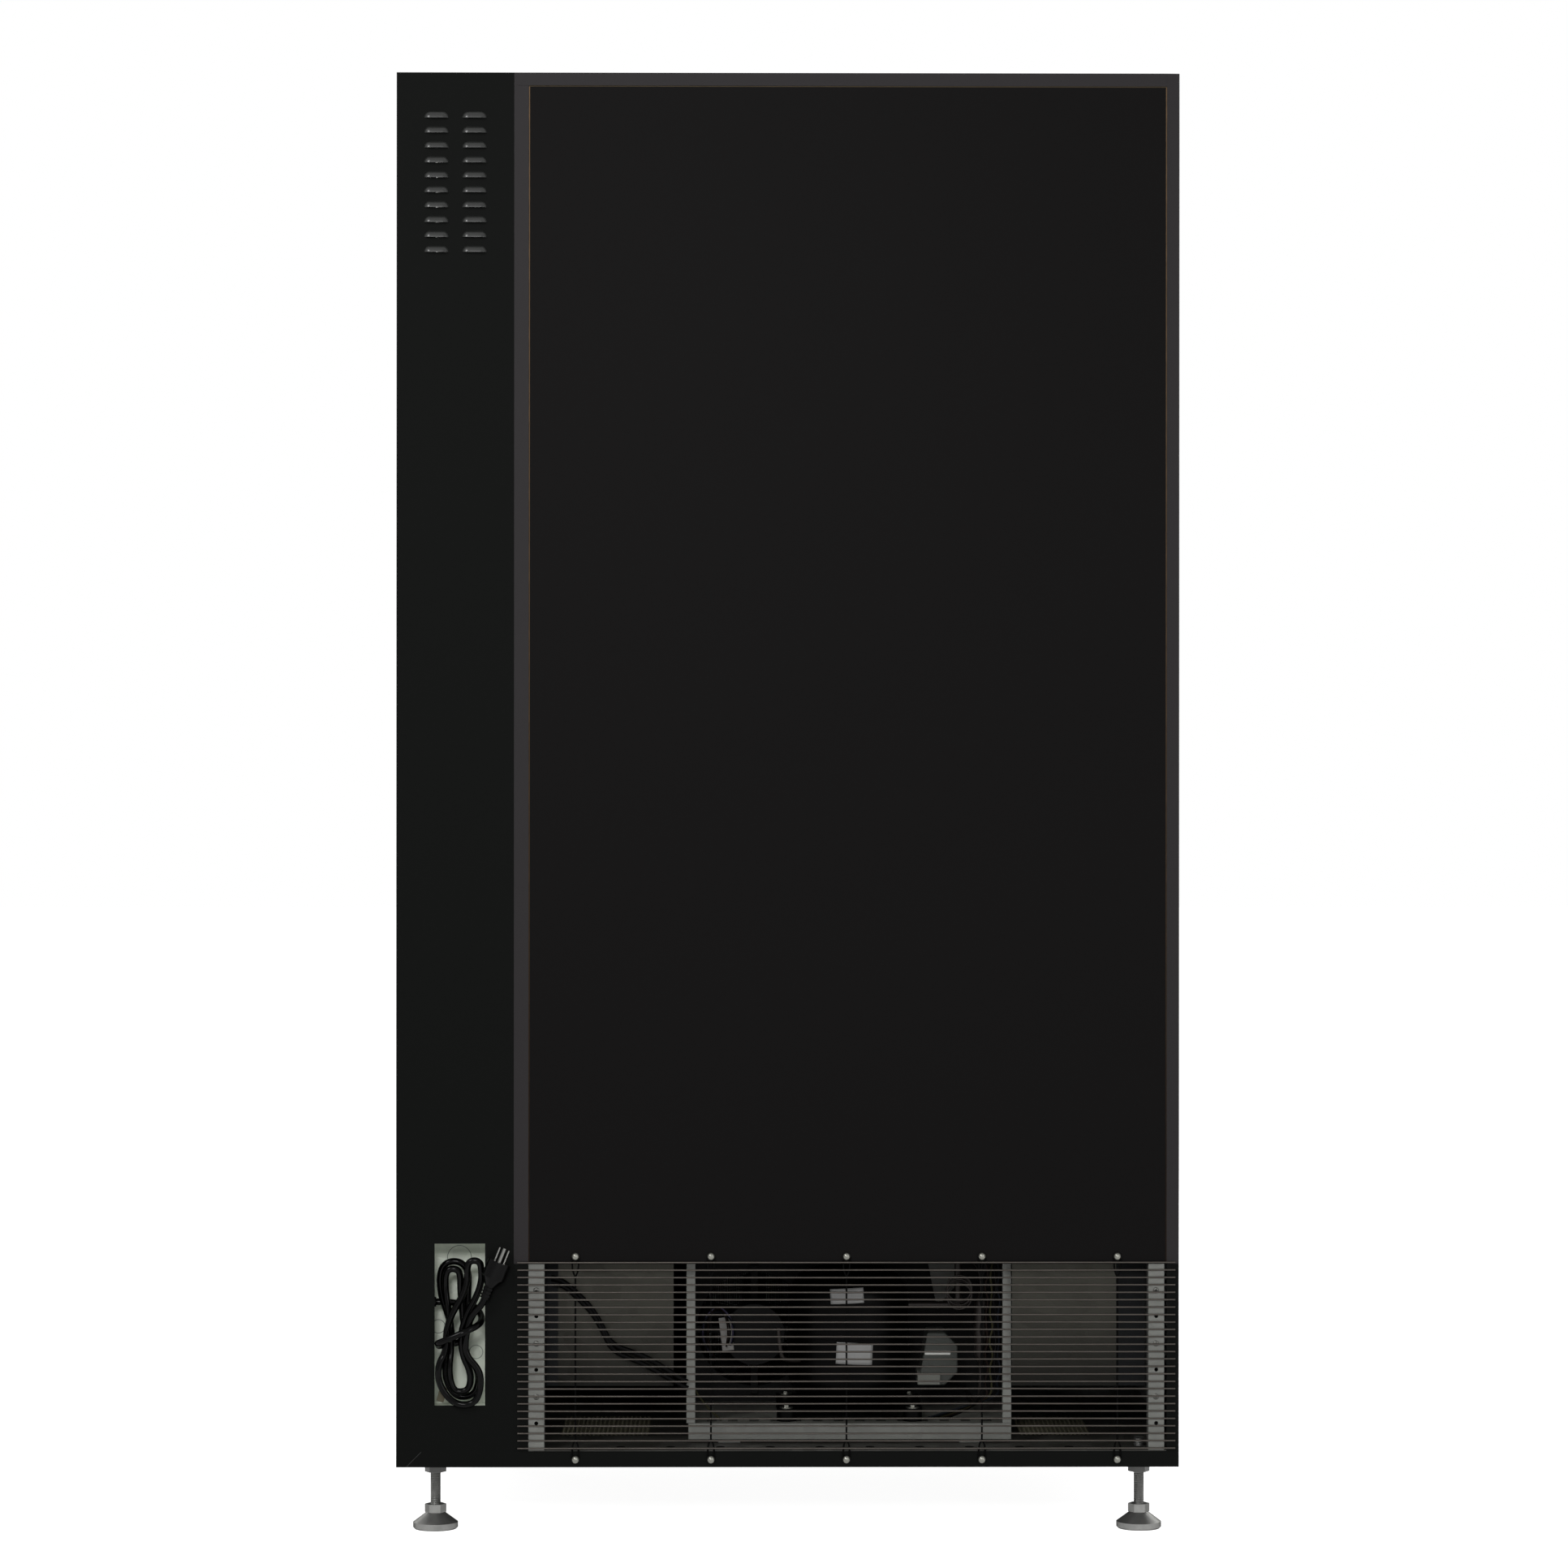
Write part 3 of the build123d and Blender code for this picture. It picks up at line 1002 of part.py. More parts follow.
def hinge_brackets():
    """Bottom and top hinge plates on the cabinet, each with its pin."""
    x = (LEFT, LEFT + HINGE_PLATE)
    y = (HINGE_Y - HINGE_PLATE / 2, FRONT)
    low = (DOOR_BOTTOM - 2 * DOOR_GAP, DOOR_BOTTOM - RUNNING_GAP)
    high = (DOOR_TOP + RUNNING_GAP, HEIGHT)
    bottom = block(x, y, low)
    bottom += rod(HINGE_PIN_RADIUS, (HINGE_X, HINGE_Y, low[0]),
                  (HINGE_X, HINGE_Y, DOOR_BOTTOM + HINGE_PIN_LENGTH))
    top = block(x, y, high)
    top += rod(HINGE_PIN_RADIUS, (HINGE_X, HINGE_Y, DOOR_TOP - HINGE_PIN_LENGTH), (HINGE_X, HINGE_Y, high[1]))
    save("hinge_brackets", bottom, top)


def door_skin():
    """The folded front sheet of the door, with openings for the window, the flap and the payment panel."""
    x, z = (LEFT, RIGHT), (DOOR_BOTTOM, DOOR_TOP)
    skin = block(x, (DOOR_FRONT, DOOR_BACK), z)
    skin -= block((x[0] + SHEET, x[1] - SHEET), (SKIN_BACK, DOOR_BACK + OVERRUN), (z[0] + SHEET, z[1] - SHEET))
    through = (DOOR_FRONT - OVERRUN, SKIN_BACK + OVERRUN)
    skin -= block(WINDOW_X, through, WINDOW_Z)
    skin -= block(FLAP_X, through, FLAP_Z)
    opening = around(PANEL_CENTRE_X, PANEL_WIDTH - 2 * PANEL_BORDER)
    skin -= block(opening, through, (PANEL_BOTTOM + PANEL_BORDER, PANEL_BOTTOM + PANEL_HEIGHT - PANEL_BORDER))
    for end in z:
        skin -= rod(HINGE_PIN_RADIUS + SHEET, (HINGE_X, HINGE_Y, end - OVERRUN),
                    (HINGE_X, HINGE_Y, end + OVERRUN))
    save("door_skin", skin)


def frame_box():
    """The outer and inner ranges of the window frame."""
    inner_x = (WINDOW_X[0] - WINDOW_LIP, WINDOW_X[1] + WINDOW_LIP)
    inner_z = (WINDOW_Z[0] - WINDOW_LIP, WINDOW_Z[1] + WINDOW_LIP)
    outer_x = (inner_x[0] - FRAME_BAR, inner_x[1] + FRAME_BAR)
    outer_z = (inner_z[0] - FRAME_BAR, inner_z[1] + FRAME_BAR)
    return outer_x, outer_z, inner_x, inner_z


def door_liner():
    """The white inner panel of the door, with the hinge bushes behind its edge."""
    outer_x, outer_z, _, _ = frame_box()
    y = (LINER_FRONT, DOOR_BACK)
    panel = block((LEFT + SHEET, RIGHT - SHEET), y, (DOOR_BOTTOM + SHEET, DOOR_TOP - SHEET))
    through = (LINER_FRONT - OVERRUN, DOOR_BACK + OVERRUN)
    panel -= block(outer_x, through, outer_z)
    panel -= block(BIN_X, through, (BIN_FLOOR, BIN_FLOOR + BIN_HEIGHT))
    device_x = (outer_x[1] + FRAME_BAR, RIGHT - FRAME_BAR)
    panel -= block(device_x, through, (PANEL_BOTTOM, PANEL_BOTTOM + PANEL_HEIGHT))
    bushes = []
    for bottom in (DOOR_BOTTOM + SHEET, DOOR_TOP - SHEET - BUSH_HEIGHT):
        z = (bottom, bottom + BUSH_HEIGHT)
        bush = block((LEFT + SHEET, LEFT + SHEET + BUSH_SIZE), (LINER_FRONT - BUSH_SIZE, LINER_FRONT), z)
        bush -= rod(HINGE_PIN_RADIUS + SHAFT_CLEARANCE, (HINGE_X, HINGE_Y, z[0] - OVERRUN),
                    (HINGE_X, HINGE_Y, z[1] + OVERRUN))
        bushes.append(bush)
    save("door_liner", panel, *bushes)


def door_core():
    """Foam in the door's left stile, its head and its foot."""
    outer_x, outer_z, _, _ = frame_box()
    y = (SKIN_BACK, LINER_FRONT)
    clear = DOOR_BOTTOM + 2 * BUSH_HEIGHT
    stile = block((LEFT + SHEET, outer_x[0]), y, (clear, DOOR_TOP - 2 * BUSH_HEIGHT))
    head = block((outer_x[0], RIGHT - FRAME_BAR), y, (outer_z[1], DOOR_TOP - SHEET))
    foot_part = block((outer_x[0], RIGHT - FRAME_BAR), y, (DOOR_BOTTOM + SHEET, BIN_FLOOR))
    save("door_core", stile, head, foot_part)


def window_frame():
    """Four bars that carry the glass, and the spacer between the two panes."""
    outer_x, outer_z, inner_x, inner_z = frame_box()
    y = (SKIN_BACK, DOOR_BACK)
    bars = [block((outer_x[0], inner_x[0]), y, outer_z), block((inner_x[1], outer_x[1]), y, outer_z)]
    bars += [block(inner_x, y, (outer_z[0], inner_z[0])), block(inner_x, y, (inner_z[1], outer_z[1]))]
    spacer_y = (SKIN_BACK + GLASS, SKIN_BACK + GLASS + GLASS_SPACE)
    sides = [(inner_x[0], inner_x[0] + SPACER_WIDTH), (inner_x[1] - SPACER_WIDTH, inner_x[1])]
    bars += [block(side, spacer_y, inner_z) for side in sides]
    ends = [(inner_z[0], inner_z[0] + SPACER_WIDTH), (inner_z[1] - SPACER_WIDTH, inner_z[1])]
    bars += [block((sides[0][1], sides[1][0]), spacer_y, end) for end in ends]
    save("window_frame", *bars)


def door_glass():
    """Two panes of tempered glass with an air space between them."""
    _, _, inner_x, inner_z = frame_box()
    front = block(inner_x, (SKIN_BACK, SKIN_BACK + GLASS), inner_z)
    rear_y = SKIN_BACK + GLASS + GLASS_SPACE
    rear = block(inner_x, (rear_y, rear_y + GLASS), inner_z)
    save("door_glass", front, rear)


def door_lamps():
    """Two upright light bars on the inside of the window frame."""
    _, _, inner_x, inner_z = frame_box()
    start = SKIN_BACK + 2 * GLASS + GLASS_SPACE + RUNNING_GAP
    y = (start, start + LAMP_DEPTH)
    sides = [(inner_x[0], inner_x[0] + LAMP_WIDTH), (inner_x[1] - LAMP_WIDTH, inner_x[1])]
    save("door_lamps", *[block(side, y, inner_z) for side in sides])


def door_gasket():
    """The soft seal between the door and the cabinet's mouth."""
    y = (DOOR_BACK, FRONT - RUNNING_GAP)
    outer_x = (LEFT + GASKET_INSET, CHAMBER_RIGHT + GASKET_INSET)
    outer_z = (DOOR_BOTTOM + GASKET_INSET / 3, DOOR_TOP - GASKET_INSET)
    ring = block(outer_x, y, outer_z)
    ring -= block((outer_x[0] + GASKET_WIDTH, outer_x[1] - GASKET_WIDTH), (y[0] - OVERRUN, y[1] + OVERRUN),
                  (outer_z[0] + GASKET_WIDTH, outer_z[1] - GASKET_WIDTH))
    save("door_gasket", ring)


def delivery_bin():
    """The bin behind the flap that catches what falls from the trays."""
    x, z = BIN_X, (BIN_FLOOR, BIN_FLOOR + BIN_HEIGHT)
    y = (SKIN_BACK, BIN_BACK)
    in_y = (y[0] + BIN_SHEET, y[1] - BIN_SHEET)
    floor_top = z[0] + BIN_SHEET
    pieces = [block(x, y, (z[0], floor_top))]
    pieces.append(block(x, (in_y[1], y[1]), (floor_top, z[1])))
    for side in ((x[0], x[0] + BIN_SHEET), (x[1] - BIN_SHEET, x[1])):
        pieces.append(block(side, in_y, (floor_top, z[1])))
    front_y = (y[0], in_y[0])
    pieces.append(block(x, front_y, (floor_top, FLAP_Z[0])))
    pieces.append(block(x, front_y, (FLAP_Z[1], z[1])))
    pieces.append(block((x[0], FLAP_X[0]), front_y, FLAP_Z))
    pieces.append(block((FLAP_X[1], x[1]), front_y, FLAP_Z))
    hinge = flap_hinge()
    left_ear = (FLAP_X[0] - EAR_THICKNESS, FLAP_X[0] - RUNNING_GAP)
    right_ear = (FLAP_X[1] + RUNNING_GAP, FLAP_X[1] + EAR_THICKNESS)
    for side in (left_ear, right_ear):
        ear = block(side, (in_y[0], hinge[0] + 3 * TRUNNION_RADIUS), around(hinge[1], 6 * TRUNNION_RADIUS))
        ear -= rod(TRUNNION_RADIUS + SHAFT_CLEARANCE, (side[0] - OVERRUN, *hinge), (side[1] + OVERRUN, *hinge))
        pieces.append(ear)
    save("delivery_bin", *pieces)


def flap_hinge():
    """The depth and height of the delivery flap's hinge line."""
    return (SKIN_BACK + BIN_SHEET + 2 * TRUNNION_RADIUS, FLAP_Z[1] - 2 * TRUNNION_RADIUS)


def delivery_flap():
    """The flap that the customer pushes in, hung from two trunnions at its top."""
    y, z = flap_hinge()
    x = (FLAP_X[0] + RUNNING_GAP, FLAP_X[1] - RUNNING_GAP)
    flap = block(x, (y - FLAP_THICKNESS, y), (FLAP_Z[0] + 2 * RUNNING_GAP, z))
    flap += rod(TRUNNION_RADIUS, (FLAP_X[0] - TRUNNION_LENGTH, y, z), (FLAP_X[1] + TRUNNION_LENGTH, y, z))
    save("delivery_flap", flap)


def device(width, height, rise, body_x, body_y, body_z, proud):
    """A payment device: its face fills a hole in the panel and its body sits behind it."""
    x = around(PANEL_CENTRE_X, width)
    z = around(PANEL_BOTTOM + rise, height)
    face = block(x, (PANEL_FRONT - proud, DOOR_FRONT), z)
    return face + block(body_x, (DOOR_FRONT, body_y), body_z)


def panel_hole(width, height, rise, shift):
    """A square hole through the payment panel."""
    through = (PANEL_FRONT - OVERRUN, DOOR_FRONT + OVERRUN)
    return block(around(PANEL_CENTRE_X + shift, width), through, around(PANEL_BOTTOM + rise, height))


def cup_box():
    """The ranges of the coin cup's hollow."""
    z = (PANEL_BOTTOM + CUP_RISE, PANEL_BOTTOM + CUP_RISE + CUP_HEIGHT)
    return around(PANEL_CENTRE_X, CUP_WIDTH), (PANEL_FRONT, DOOR_FRONT + CUP_DEPTH), z


def cup_hinge():
    """The depth and height of the coin flap's hinge line."""
    _, _, z = cup_box()
    return (PANEL_FRONT + 3 * CUP_PIN_RADIUS, z[1] - 2 * CUP_PIN_RADIUS)


def payment_panel():
    """The moulded panel that carries the payment devices, with the coin cup in one piece with it."""
    x = around(PANEL_CENTRE_X, PANEL_WIDTH)
    panel = block(x, (PANEL_FRONT, DOOR_FRONT), (PANEL_BOTTOM, PANEL_BOTTOM + PANEL_HEIGHT))
    panel -= panel_hole(SCREEN_WIDTH, SCREEN_HEIGHT, SCREEN_RISE, 0)
    panel -= panel_hole(READER_WIDTH, READER_HEIGHT, READER_RISE, 0)
    panel -= panel_hole(BILL_WIDTH, BILL_HEIGHT, BILL_RISE, 0)
    panel -= panel_hole(COIN_INSERT_WIDTH, COIN_INSERT_HEIGHT, BUTTON_RISE, COIN_BODY_SHIFT)
    cup_x, cup_y, cup_z = cup_box()
    shell_x = (cup_x[0] - CUP_WALL, cup_x[1] + CUP_WALL)
    shell_z = (cup_z[0] - CUP_WALL, cup_z[1] + CUP_WALL)
    panel += block(shell_x, (DOOR_FRONT, cup_y[1] + CUP_WALL), shell_z)
    panel -= block(cup_x, (PANEL_FRONT - OVERRUN, cup_y[1]), cup_z)
    hinge = cup_hinge()
    reach = CUP_WALL * 0.8
    panel -= rod(CUP_PIN_RADIUS + SHAFT_CLEARANCE, (cup_x[0] - reach, *hinge), (cup_x[1] + reach, *hinge))
    for radius, place in ((BUTTON_RADIUS, button_place()), (HANDLE_SHAFT_RADIUS, handle_place())):
        panel -= rod(radius + SHAFT_CLEARANCE, (place[0], PANEL_FRONT - OVERRUN, place[1]),
                     (place[0], DOOR_FRONT + OVERRUN, place[1]))
    save("payment_panel", panel)


def coin_cup_flap():
    """The small flap over the coin cup, pushed in to reach the change."""
    x, _, z = cup_box()
    hinge = cup_hinge()
    flap = block((x[0] + RUNNING_GAP, x[1] - RUNNING_GAP), (hinge[0] - CUP_FLAP_THICKNESS, hinge[0]),
                 (z[0] + 2 * RUNNING_GAP, hinge[1]))
    reach = CUP_WALL * 0.6
    flap += rod(CUP_PIN_RADIUS, (x[0] - reach, *hinge), (x[1] + reach, *hinge))
    save("coin_cup_flap", flap)


def touch_screen():
    """The touch screen in its bezel."""
    z = around(PANEL_BOTTOM + SCREEN_RISE, SCREEN_HEIGHT)
    body_x = around(PANEL_CENTRE_X, SCREEN_WIDTH + DEVICE_FLANGE)
    body_z = (z[0] - DEVICE_FLANGE, z[1] + DEVICE_FLANGE)
    screen = device(SCREEN_WIDTH, SCREEN_HEIGHT, SCREEN_RISE, body_x, DOOR_FRONT + SCREEN_DEPTH, body_z, SHEET)
    save("touch_screen", screen)


def card_reader():
    """The contactless card reader."""
    z = around(PANEL_BOTTOM + READER_RISE, READER_HEIGHT)
    body_x = around(PANEL_CENTRE_X, READER_WIDTH + 2 * DEVICE_FLANGE)
    body_z = (z[0] - DEVICE_FLANGE, z[1] + DEVICE_FLANGE)
    back = DOOR_FRONT + READER_DEPTH
    reader = device(READER_WIDTH, READER_HEIGHT, READER_RISE, body_x, back, body_z, DEVICE_FLANGE)
    save("card_reader", reader)


def bill_acceptor():
    """The banknote acceptor, whose nose stands proud round its slot."""
    middle = PANEL_BOTTOM + BILL_RISE
    nose_y, body_y = (PANEL_FRONT - BILL_NOSE_PROUD, DOOR_FRONT), (DOOR_FRONT, DOOR_FRONT + READER_DEPTH)
    slot_x, slot_z = around(PANEL_CENTRE_X, BILL_SLOT_WIDTH), around(middle, BILL_SLOT_HEIGHT)
    pieces = []
    for y, flange in ((nose_y, 0), (body_y, DEVICE_FLANGE)):
        x = around(PANEL_CENTRE_X, BILL_WIDTH + 2 * flange)
        z = around(middle, BILL_HEIGHT + 2 * flange)
        pieces += [block(x, y, (z[0], slot_z[0])), block(x, y, (slot_z[1], z[1]))]
        pieces += [block((x[0], slot_x[0]), y, slot_z), block((slot_x[1], x[1]), y, slot_z)]
    pieces.append(block(x, (body_y[1], DOOR_FRONT + BILL_DEPTH), z))
    save("bill_acceptor", *pieces)


def coin_changer():
    """The coin mechanism, with the insert that shows through the panel."""
    x = PANEL_CENTRE_X + COIN_BODY_SHIFT
    body = block(around(x, COIN_BODY_WIDTH), (DOOR_FRONT, DOOR_FRONT + COIN_BODY_DEPTH),
                 around(PANEL_BOTTOM + COIN_RISE, COIN_BODY_HEIGHT))
    insert_z = around(PANEL_BOTTOM + BUTTON_RISE, COIN_INSERT_HEIGHT)
    body += block(around(x, COIN_INSERT_WIDTH), (PANEL_FRONT - SHEET, DOOR_FRONT), insert_z)
    body -= block(around(x, COIN_SLOT_WIDTH), (PANEL_FRONT - OVERRUN, DOOR_FRONT + COIN_SLOT_HEIGHT),
                  around(PANEL_BOTTOM + BUTTON_RISE, COIN_SLOT_HEIGHT))
    save("coin_changer", body)


def button_place():
    """Where the coin return button goes through the panel."""
    return (PANEL_CENTRE_X + BUTTON_SHIFT, PANEL_BOTTOM + BUTTON_RISE)


def coin_return_button():
    """The coin return button, with a collar that keeps it in the panel."""
    x, z = button_place()
    button = rod(BUTTON_RADIUS, (x, PANEL_FRONT - BUTTON_PROUD, z), (x, DOOR_FRONT + RUNNING_GAP, z))
    collar = DOOR_FRONT + RUNNING_GAP
    button += rod(BUTTON_RADIUS + SHEET, (x, collar, z), (x, collar + SHEET, z))
    save("coin_return_button", button)


def handle_place():
    """The centre of the lock handle."""
    return (PANEL_CENTRE_X, PANEL_BOTTOM + HANDLE_RISE)


def lock_handle():
    """The T handle of the door lock, with its shaft and the cam behind the panel."""
    x, z = handle_place()
    front = -DEPTH / 2
    bar_y = (front, PANEL_FRONT - HANDLE_STAND_OFF)
    handle = block(around(x, HANDLE_LENGTH), bar_y, around(z, HANDLE_WIDTH))
    handle = fillet(handle.edges().filter_by(Axis.Y), HANDLE_WIDTH / 3)
    handle += rod(HANDLE_BOSS_RADIUS, (x, bar_y[1], z), (x, PANEL_FRONT - RUNNING_GAP, z))
    cam_y = (SKIN_BACK + CAM_THICKNESS, SKIN_BACK + 2 * CAM_THICKNESS)
    handle += rod(HANDLE_SHAFT_RADIUS, (x, PANEL_FRONT - HANDLE_STAND_OFF, z), (x, cam_y[1], z))
    handle += block((x - HANDLE_WIDTH / 2, x + CAM_LENGTH), cam_y, around(z, HANDLE_WIDTH))
    save("lock_handle", handle)


def control_box():
    """The control and power supply box on the column's inner wall."""
    x = (RIGHT - SHEET - CONTROL_WIDTH, RIGHT - SHEET)
    y, z = (0, CONTROL_DEPTH), (CONTROL_RISE, CONTROL_RISE + CONTROL_HEIGHT)
    box = block(x, y, z)
    box -= block((x[0] + SHEET, x[1] - SHEET), (y[0] + SHEET, y[1] - SHEET), (z[0] + SHEET, z[1] - SHEET))
    step = CONTROL_HEIGHT / (CONTROL_VENTS + 1)
    for vent in range(CONTROL_VENTS):
        box -= block(around(sum(x) / 2, CONTROL_WIDTH / 2), (y[1] - SHEET - OVERRUN, y[1] + OVERRUN),
                     around(z[0] + (vent + 1) * step, step / 4))
    save("control_box", box)


def hank_layer(layer):
    """The depth of a layer of the hank, counted outwards from the pass behind it."""
    return BACK + HANK_FRONT_PROUD - (HANK_LAYERS - layer) * HANK_PITCH


def hank_point(across, depth, rise):
    """A point of the cord, measured to the cut-out's far side, outwards and up from its sill."""
    return (CUTOUT_CENTRE_X - across, depth, CUTOUT_BOTTOM + rise)


def gland_point():
    """Where the cord leaves its gland, beside the cut-out and behind the hank."""
    return (CUTOUT_RIGHT, hank_layer(0), CUTOUT_BOTTOM + HANK_WAIST + HANK_WRAP_RISE)


def plug_entry():
    """Where the cord enters the plug, beside the cut-out."""
    return (CUTOUT_LEFT - RUNNING_GAP, BACK + PLUG_THICKNESS / 2 + RUNNING_GAP, CUTOUT_BOTTOM + PLUG_RISE)


def plug_heading():
    """The direction in which the plug points."""
    tilt = math.radians(PLUG_TILT)
    return (-math.sin(tilt), 0, math.cos(tilt))


def hank_loop(layer):
    """One loop: over the top fold, down the left run, round the bottom fold and up to the waist."""
    top, bottom = HANK_TOP_FOLDS[layer], HANK_BOTTOM_FOLDS[layer]
    here, next_layer = hank_layer(layer + 1), hank_layer(layer + 2)
    middle, radius, height = top
    left, apex, right, sill = bottom
    shoulder = height - radius
    climb = HANK_PITCH / (HANK_TOP - 2 * radius)
    return [
        (hank_point(middle + radius, here, shoulder), (0, 0, 1)),
        (hank_point(middle, here, height), (1, 0, 0)),
        (hank_point(middle - radius, here, shoulder), (0, 0, -1)),
        (hank_point(HANK_LEFT_RUNS[layer], (here + next_layer) / 2, HANK_WAIST), (0, climb, -1)),
        (hank_point(left, next_layer, HANK_LEFT_SHOULDER), (0, 0, -1)),
        (hank_point(apex, next_layer, sill), (-1, 0, 0)),
        (hank_point(right, next_layer, HANK_RIGHT_SHOULDER), (0, 0, 1)),
        (hank_point(HANK_RIGHT_RUNS[layer], next_layer, HANK_WAIST), (0, 0, 1)),
    ]


def cord_stations():
    """The cord from its gland: a wrap round the waist, three loops that climb outwards, and the plug."""
    back, front = hank_layer(0), hank_layer(HANK_LAYERS) + HANK_WRAP_PROUD
    middle = (back + front) / 2
    wrap = HANK_WAIST + HANK_WRAP_RISE
    side, step = HANK_WRAP_REACH, HANK_WRAP_RISE
    stations = [
        (gland_point(), (-1, 0, 0)),
        (hank_point(side * 0.2, back - HANK_PITCH * 0.15, wrap - step * 0.06), (-1, 0, -0.12)),
        (hank_point(side, middle, wrap - step * 0.4), (0, 1, -0.35)),
        (hank_point(0, front, wrap - step * 0.72), (1, 0, -0.42)),
        (hank_point(-side, middle + side * 0.45, wrap - step * 0.98), (0, -1, -0.12)),
        (hank_point(-side * 0.94, middle - side * 0.12, wrap - step * 1.08), (-0.4, -1, 0)),
        (hank_point(-side * 0.25, back, wrap - step * 1.06), (-1, 0, 0.25)),
        (hank_point(side * 0.3, back + HANK_PITCH * 0.85, wrap - step * 0.42), (0, 0.1, 1)),
    ]
    for layer in range(len(HANK_TOP_FOLDS)):
        stations += hank_loop(layer)
    outermost = hank_layer(HANK_LAYERS)
    stations.append((hank_point(side * 0.46, outermost, wrap - step * 0.45), (-0.3, 0, 1)))
    stations.append((plug_entry(), plug_heading()))
    return stations


def least_gap(path, radius):
    """The least clear gap between two stretches of a tube, measured on points along its path."""
    count = math.ceil(path.length / (radius / 3))
    points = [tuple(path @ (i / count)) for i in range(count + 1)]
    skip = math.ceil(math.pi * radius * 2 / (path.length / count))
    nearest = min(
        math.dist(points[i], points[j]) for i in range(count + 1) for j in range(i + skip, count + 1))
    return nearest - 2 * radius


def cord_hank():
    """The folded power cord as one unbroken tube."""
    path = wound_path(cord_stations())
    cord = tube(path, CORD_DIAMETER / 2)
    arcs = [edge.radius for edge in path.edges() if edge.geom_type == GeomType.CIRCLE]
    print("cord length", round(path.length, 1), "tightest arc", round(min(arcs), 1))
    section = math.pi * CORD_DIAMETER**2 / 4
    print("cord section times length", round(section * path.length), "volume", round(cord.volume))
    print("cord least gap to itself", round(least_gap(path, CORD_DIAMETER / 2), 2))
    save("cord_hank", cord)


def cord_gland():
    """The cord's strain relief through the side of the recess, with its nut behind."""
    x, y, z = gland_point()
    seat = Plane(origin=(RECESS_RIGHT, y, z), z_dir=(-1, 0, 0))
    relief = Solid.make_cone(GLAND_RADIUS, GLAND_NECK_RADIUS, GLAND_LENGTH, seat)
    neck_end = RECESS_RIGHT + SHEET + GLAND_NUT_THICKNESS
    neck = rod(GLAND_NECK_RADIUS, (RECESS_RIGHT, y, z), (neck_end, y, z))
    nut = Plane(origin=(RECESS_RIGHT + SHEET, y, z), z_dir=(1, 0, 0)) * extrude(
        RegularPolygon(GLAND_RADIUS, 6, major_radius=False), GLAND_NUT_THICKNESS)
    save("cord_gland", relief + neck + nut)


def cord_plug():
    """The moulded plug with its ribbed strain relief, two blades and the earth pin."""
    upward = (Align.CENTER, Align.CENTER, Align.MIN)
    relief = Cylinder(PLUG_RELIEF_RADIUS, PLUG_RELIEF_LENGTH, align=upward)
    rib = PLUG_RELIEF_LENGTH / (2 * PLUG_RIBS)
    for index in range(PLUG_RIBS):
        ring = Cylinder(PLUG_RELIEF_RADIUS + OVERRUN, rib, align=upward)
        ring -= Cylinder(PLUG_RELIEF_RADIUS - PLUG_RIB_DEPTH, rib, align=upward)
        relief -= Pos(0, 0, (2 * index + 0.5) * rib) * ring
    half_width, half_depth = PLUG_WIDTH / 2, PLUG_THICKNESS / 2
    shoulder = PLUG_BODY_LENGTH / 3
    base = Plane.XY.offset(PLUG_RELIEF_LENGTH) * Ellipse(PLUG_RELIEF_RADIUS * 1.1, PLUG_RELIEF_RADIUS)
    wide = Plane.XY.offset(PLUG_RELIEF_LENGTH + shoulder) * Ellipse(half_width, half_depth)
    body = loft([base.face(), wide.face()], ruled=True) + extrude(wide, PLUG_BODY_LENGTH - shoulder)
    face = PLUG_RELIEF_LENGTH + PLUG_BODY_LENGTH
    plug = relief + body
    for side in (-1, 1):
        blade = block(around(side * PRONG_SPACING / 2, PRONG_THICKNESS), around(-half_depth / 3, PRONG_WIDTH),
                      (face - OVERRUN / 5, face + PRONG_LENGTH))
        plug += blade
    pin_end = face + PRONG_LENGTH * 1.1
    plug += rod(EARTH_PIN_RADIUS, (0, half_depth / 2, face - OVERRUN / 5), (0, half_depth / 2, pin_end))
    across = Vector(0, 1, 0).cross(Vector(*plug_heading()))
    stand = Plane(origin=plug_entry(), x_dir=across, z_dir=plug_heading())
    save("cord_plug", stand.location * plug)


os.makedirs("parts", exist_ok=True)
outer_shell()
column_back_cover()
rear_panel()
foam_insulation()
inner_liner()
tray_rails()
cord_recess()
cord_hank()
cord_gland()
cord_plug()
base_frame()
for number, place in enumerate(foot_places()):
    foot(f"foot_{number + 1}", *place)
rear_grille()
grille_screws()
machine_bay_frame()
cooling_deck()
compressor()
compressor_mounts()
terminal_box()
condenser()
condenser_fan()
fan_housing()
refrigerant_pipes()
evaporator()
air_duct()
evaporator_fan()
trays()
kick_panel()
hinge_brackets()
door_skin()
door_liner()
door_core()
window_frame()
door_glass()
door_lamps()
door_gasket()
delivery_bin()
delivery_flap()
payment_panel()
coin_cup_flap()
touch_screen()
card_reader()
bill_acceptor()
coin_changer()
coin_return_button()
lock_handle()
control_box()
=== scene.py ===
import math
import bmesh
import bpy
from mathutils import Matrix, Vector


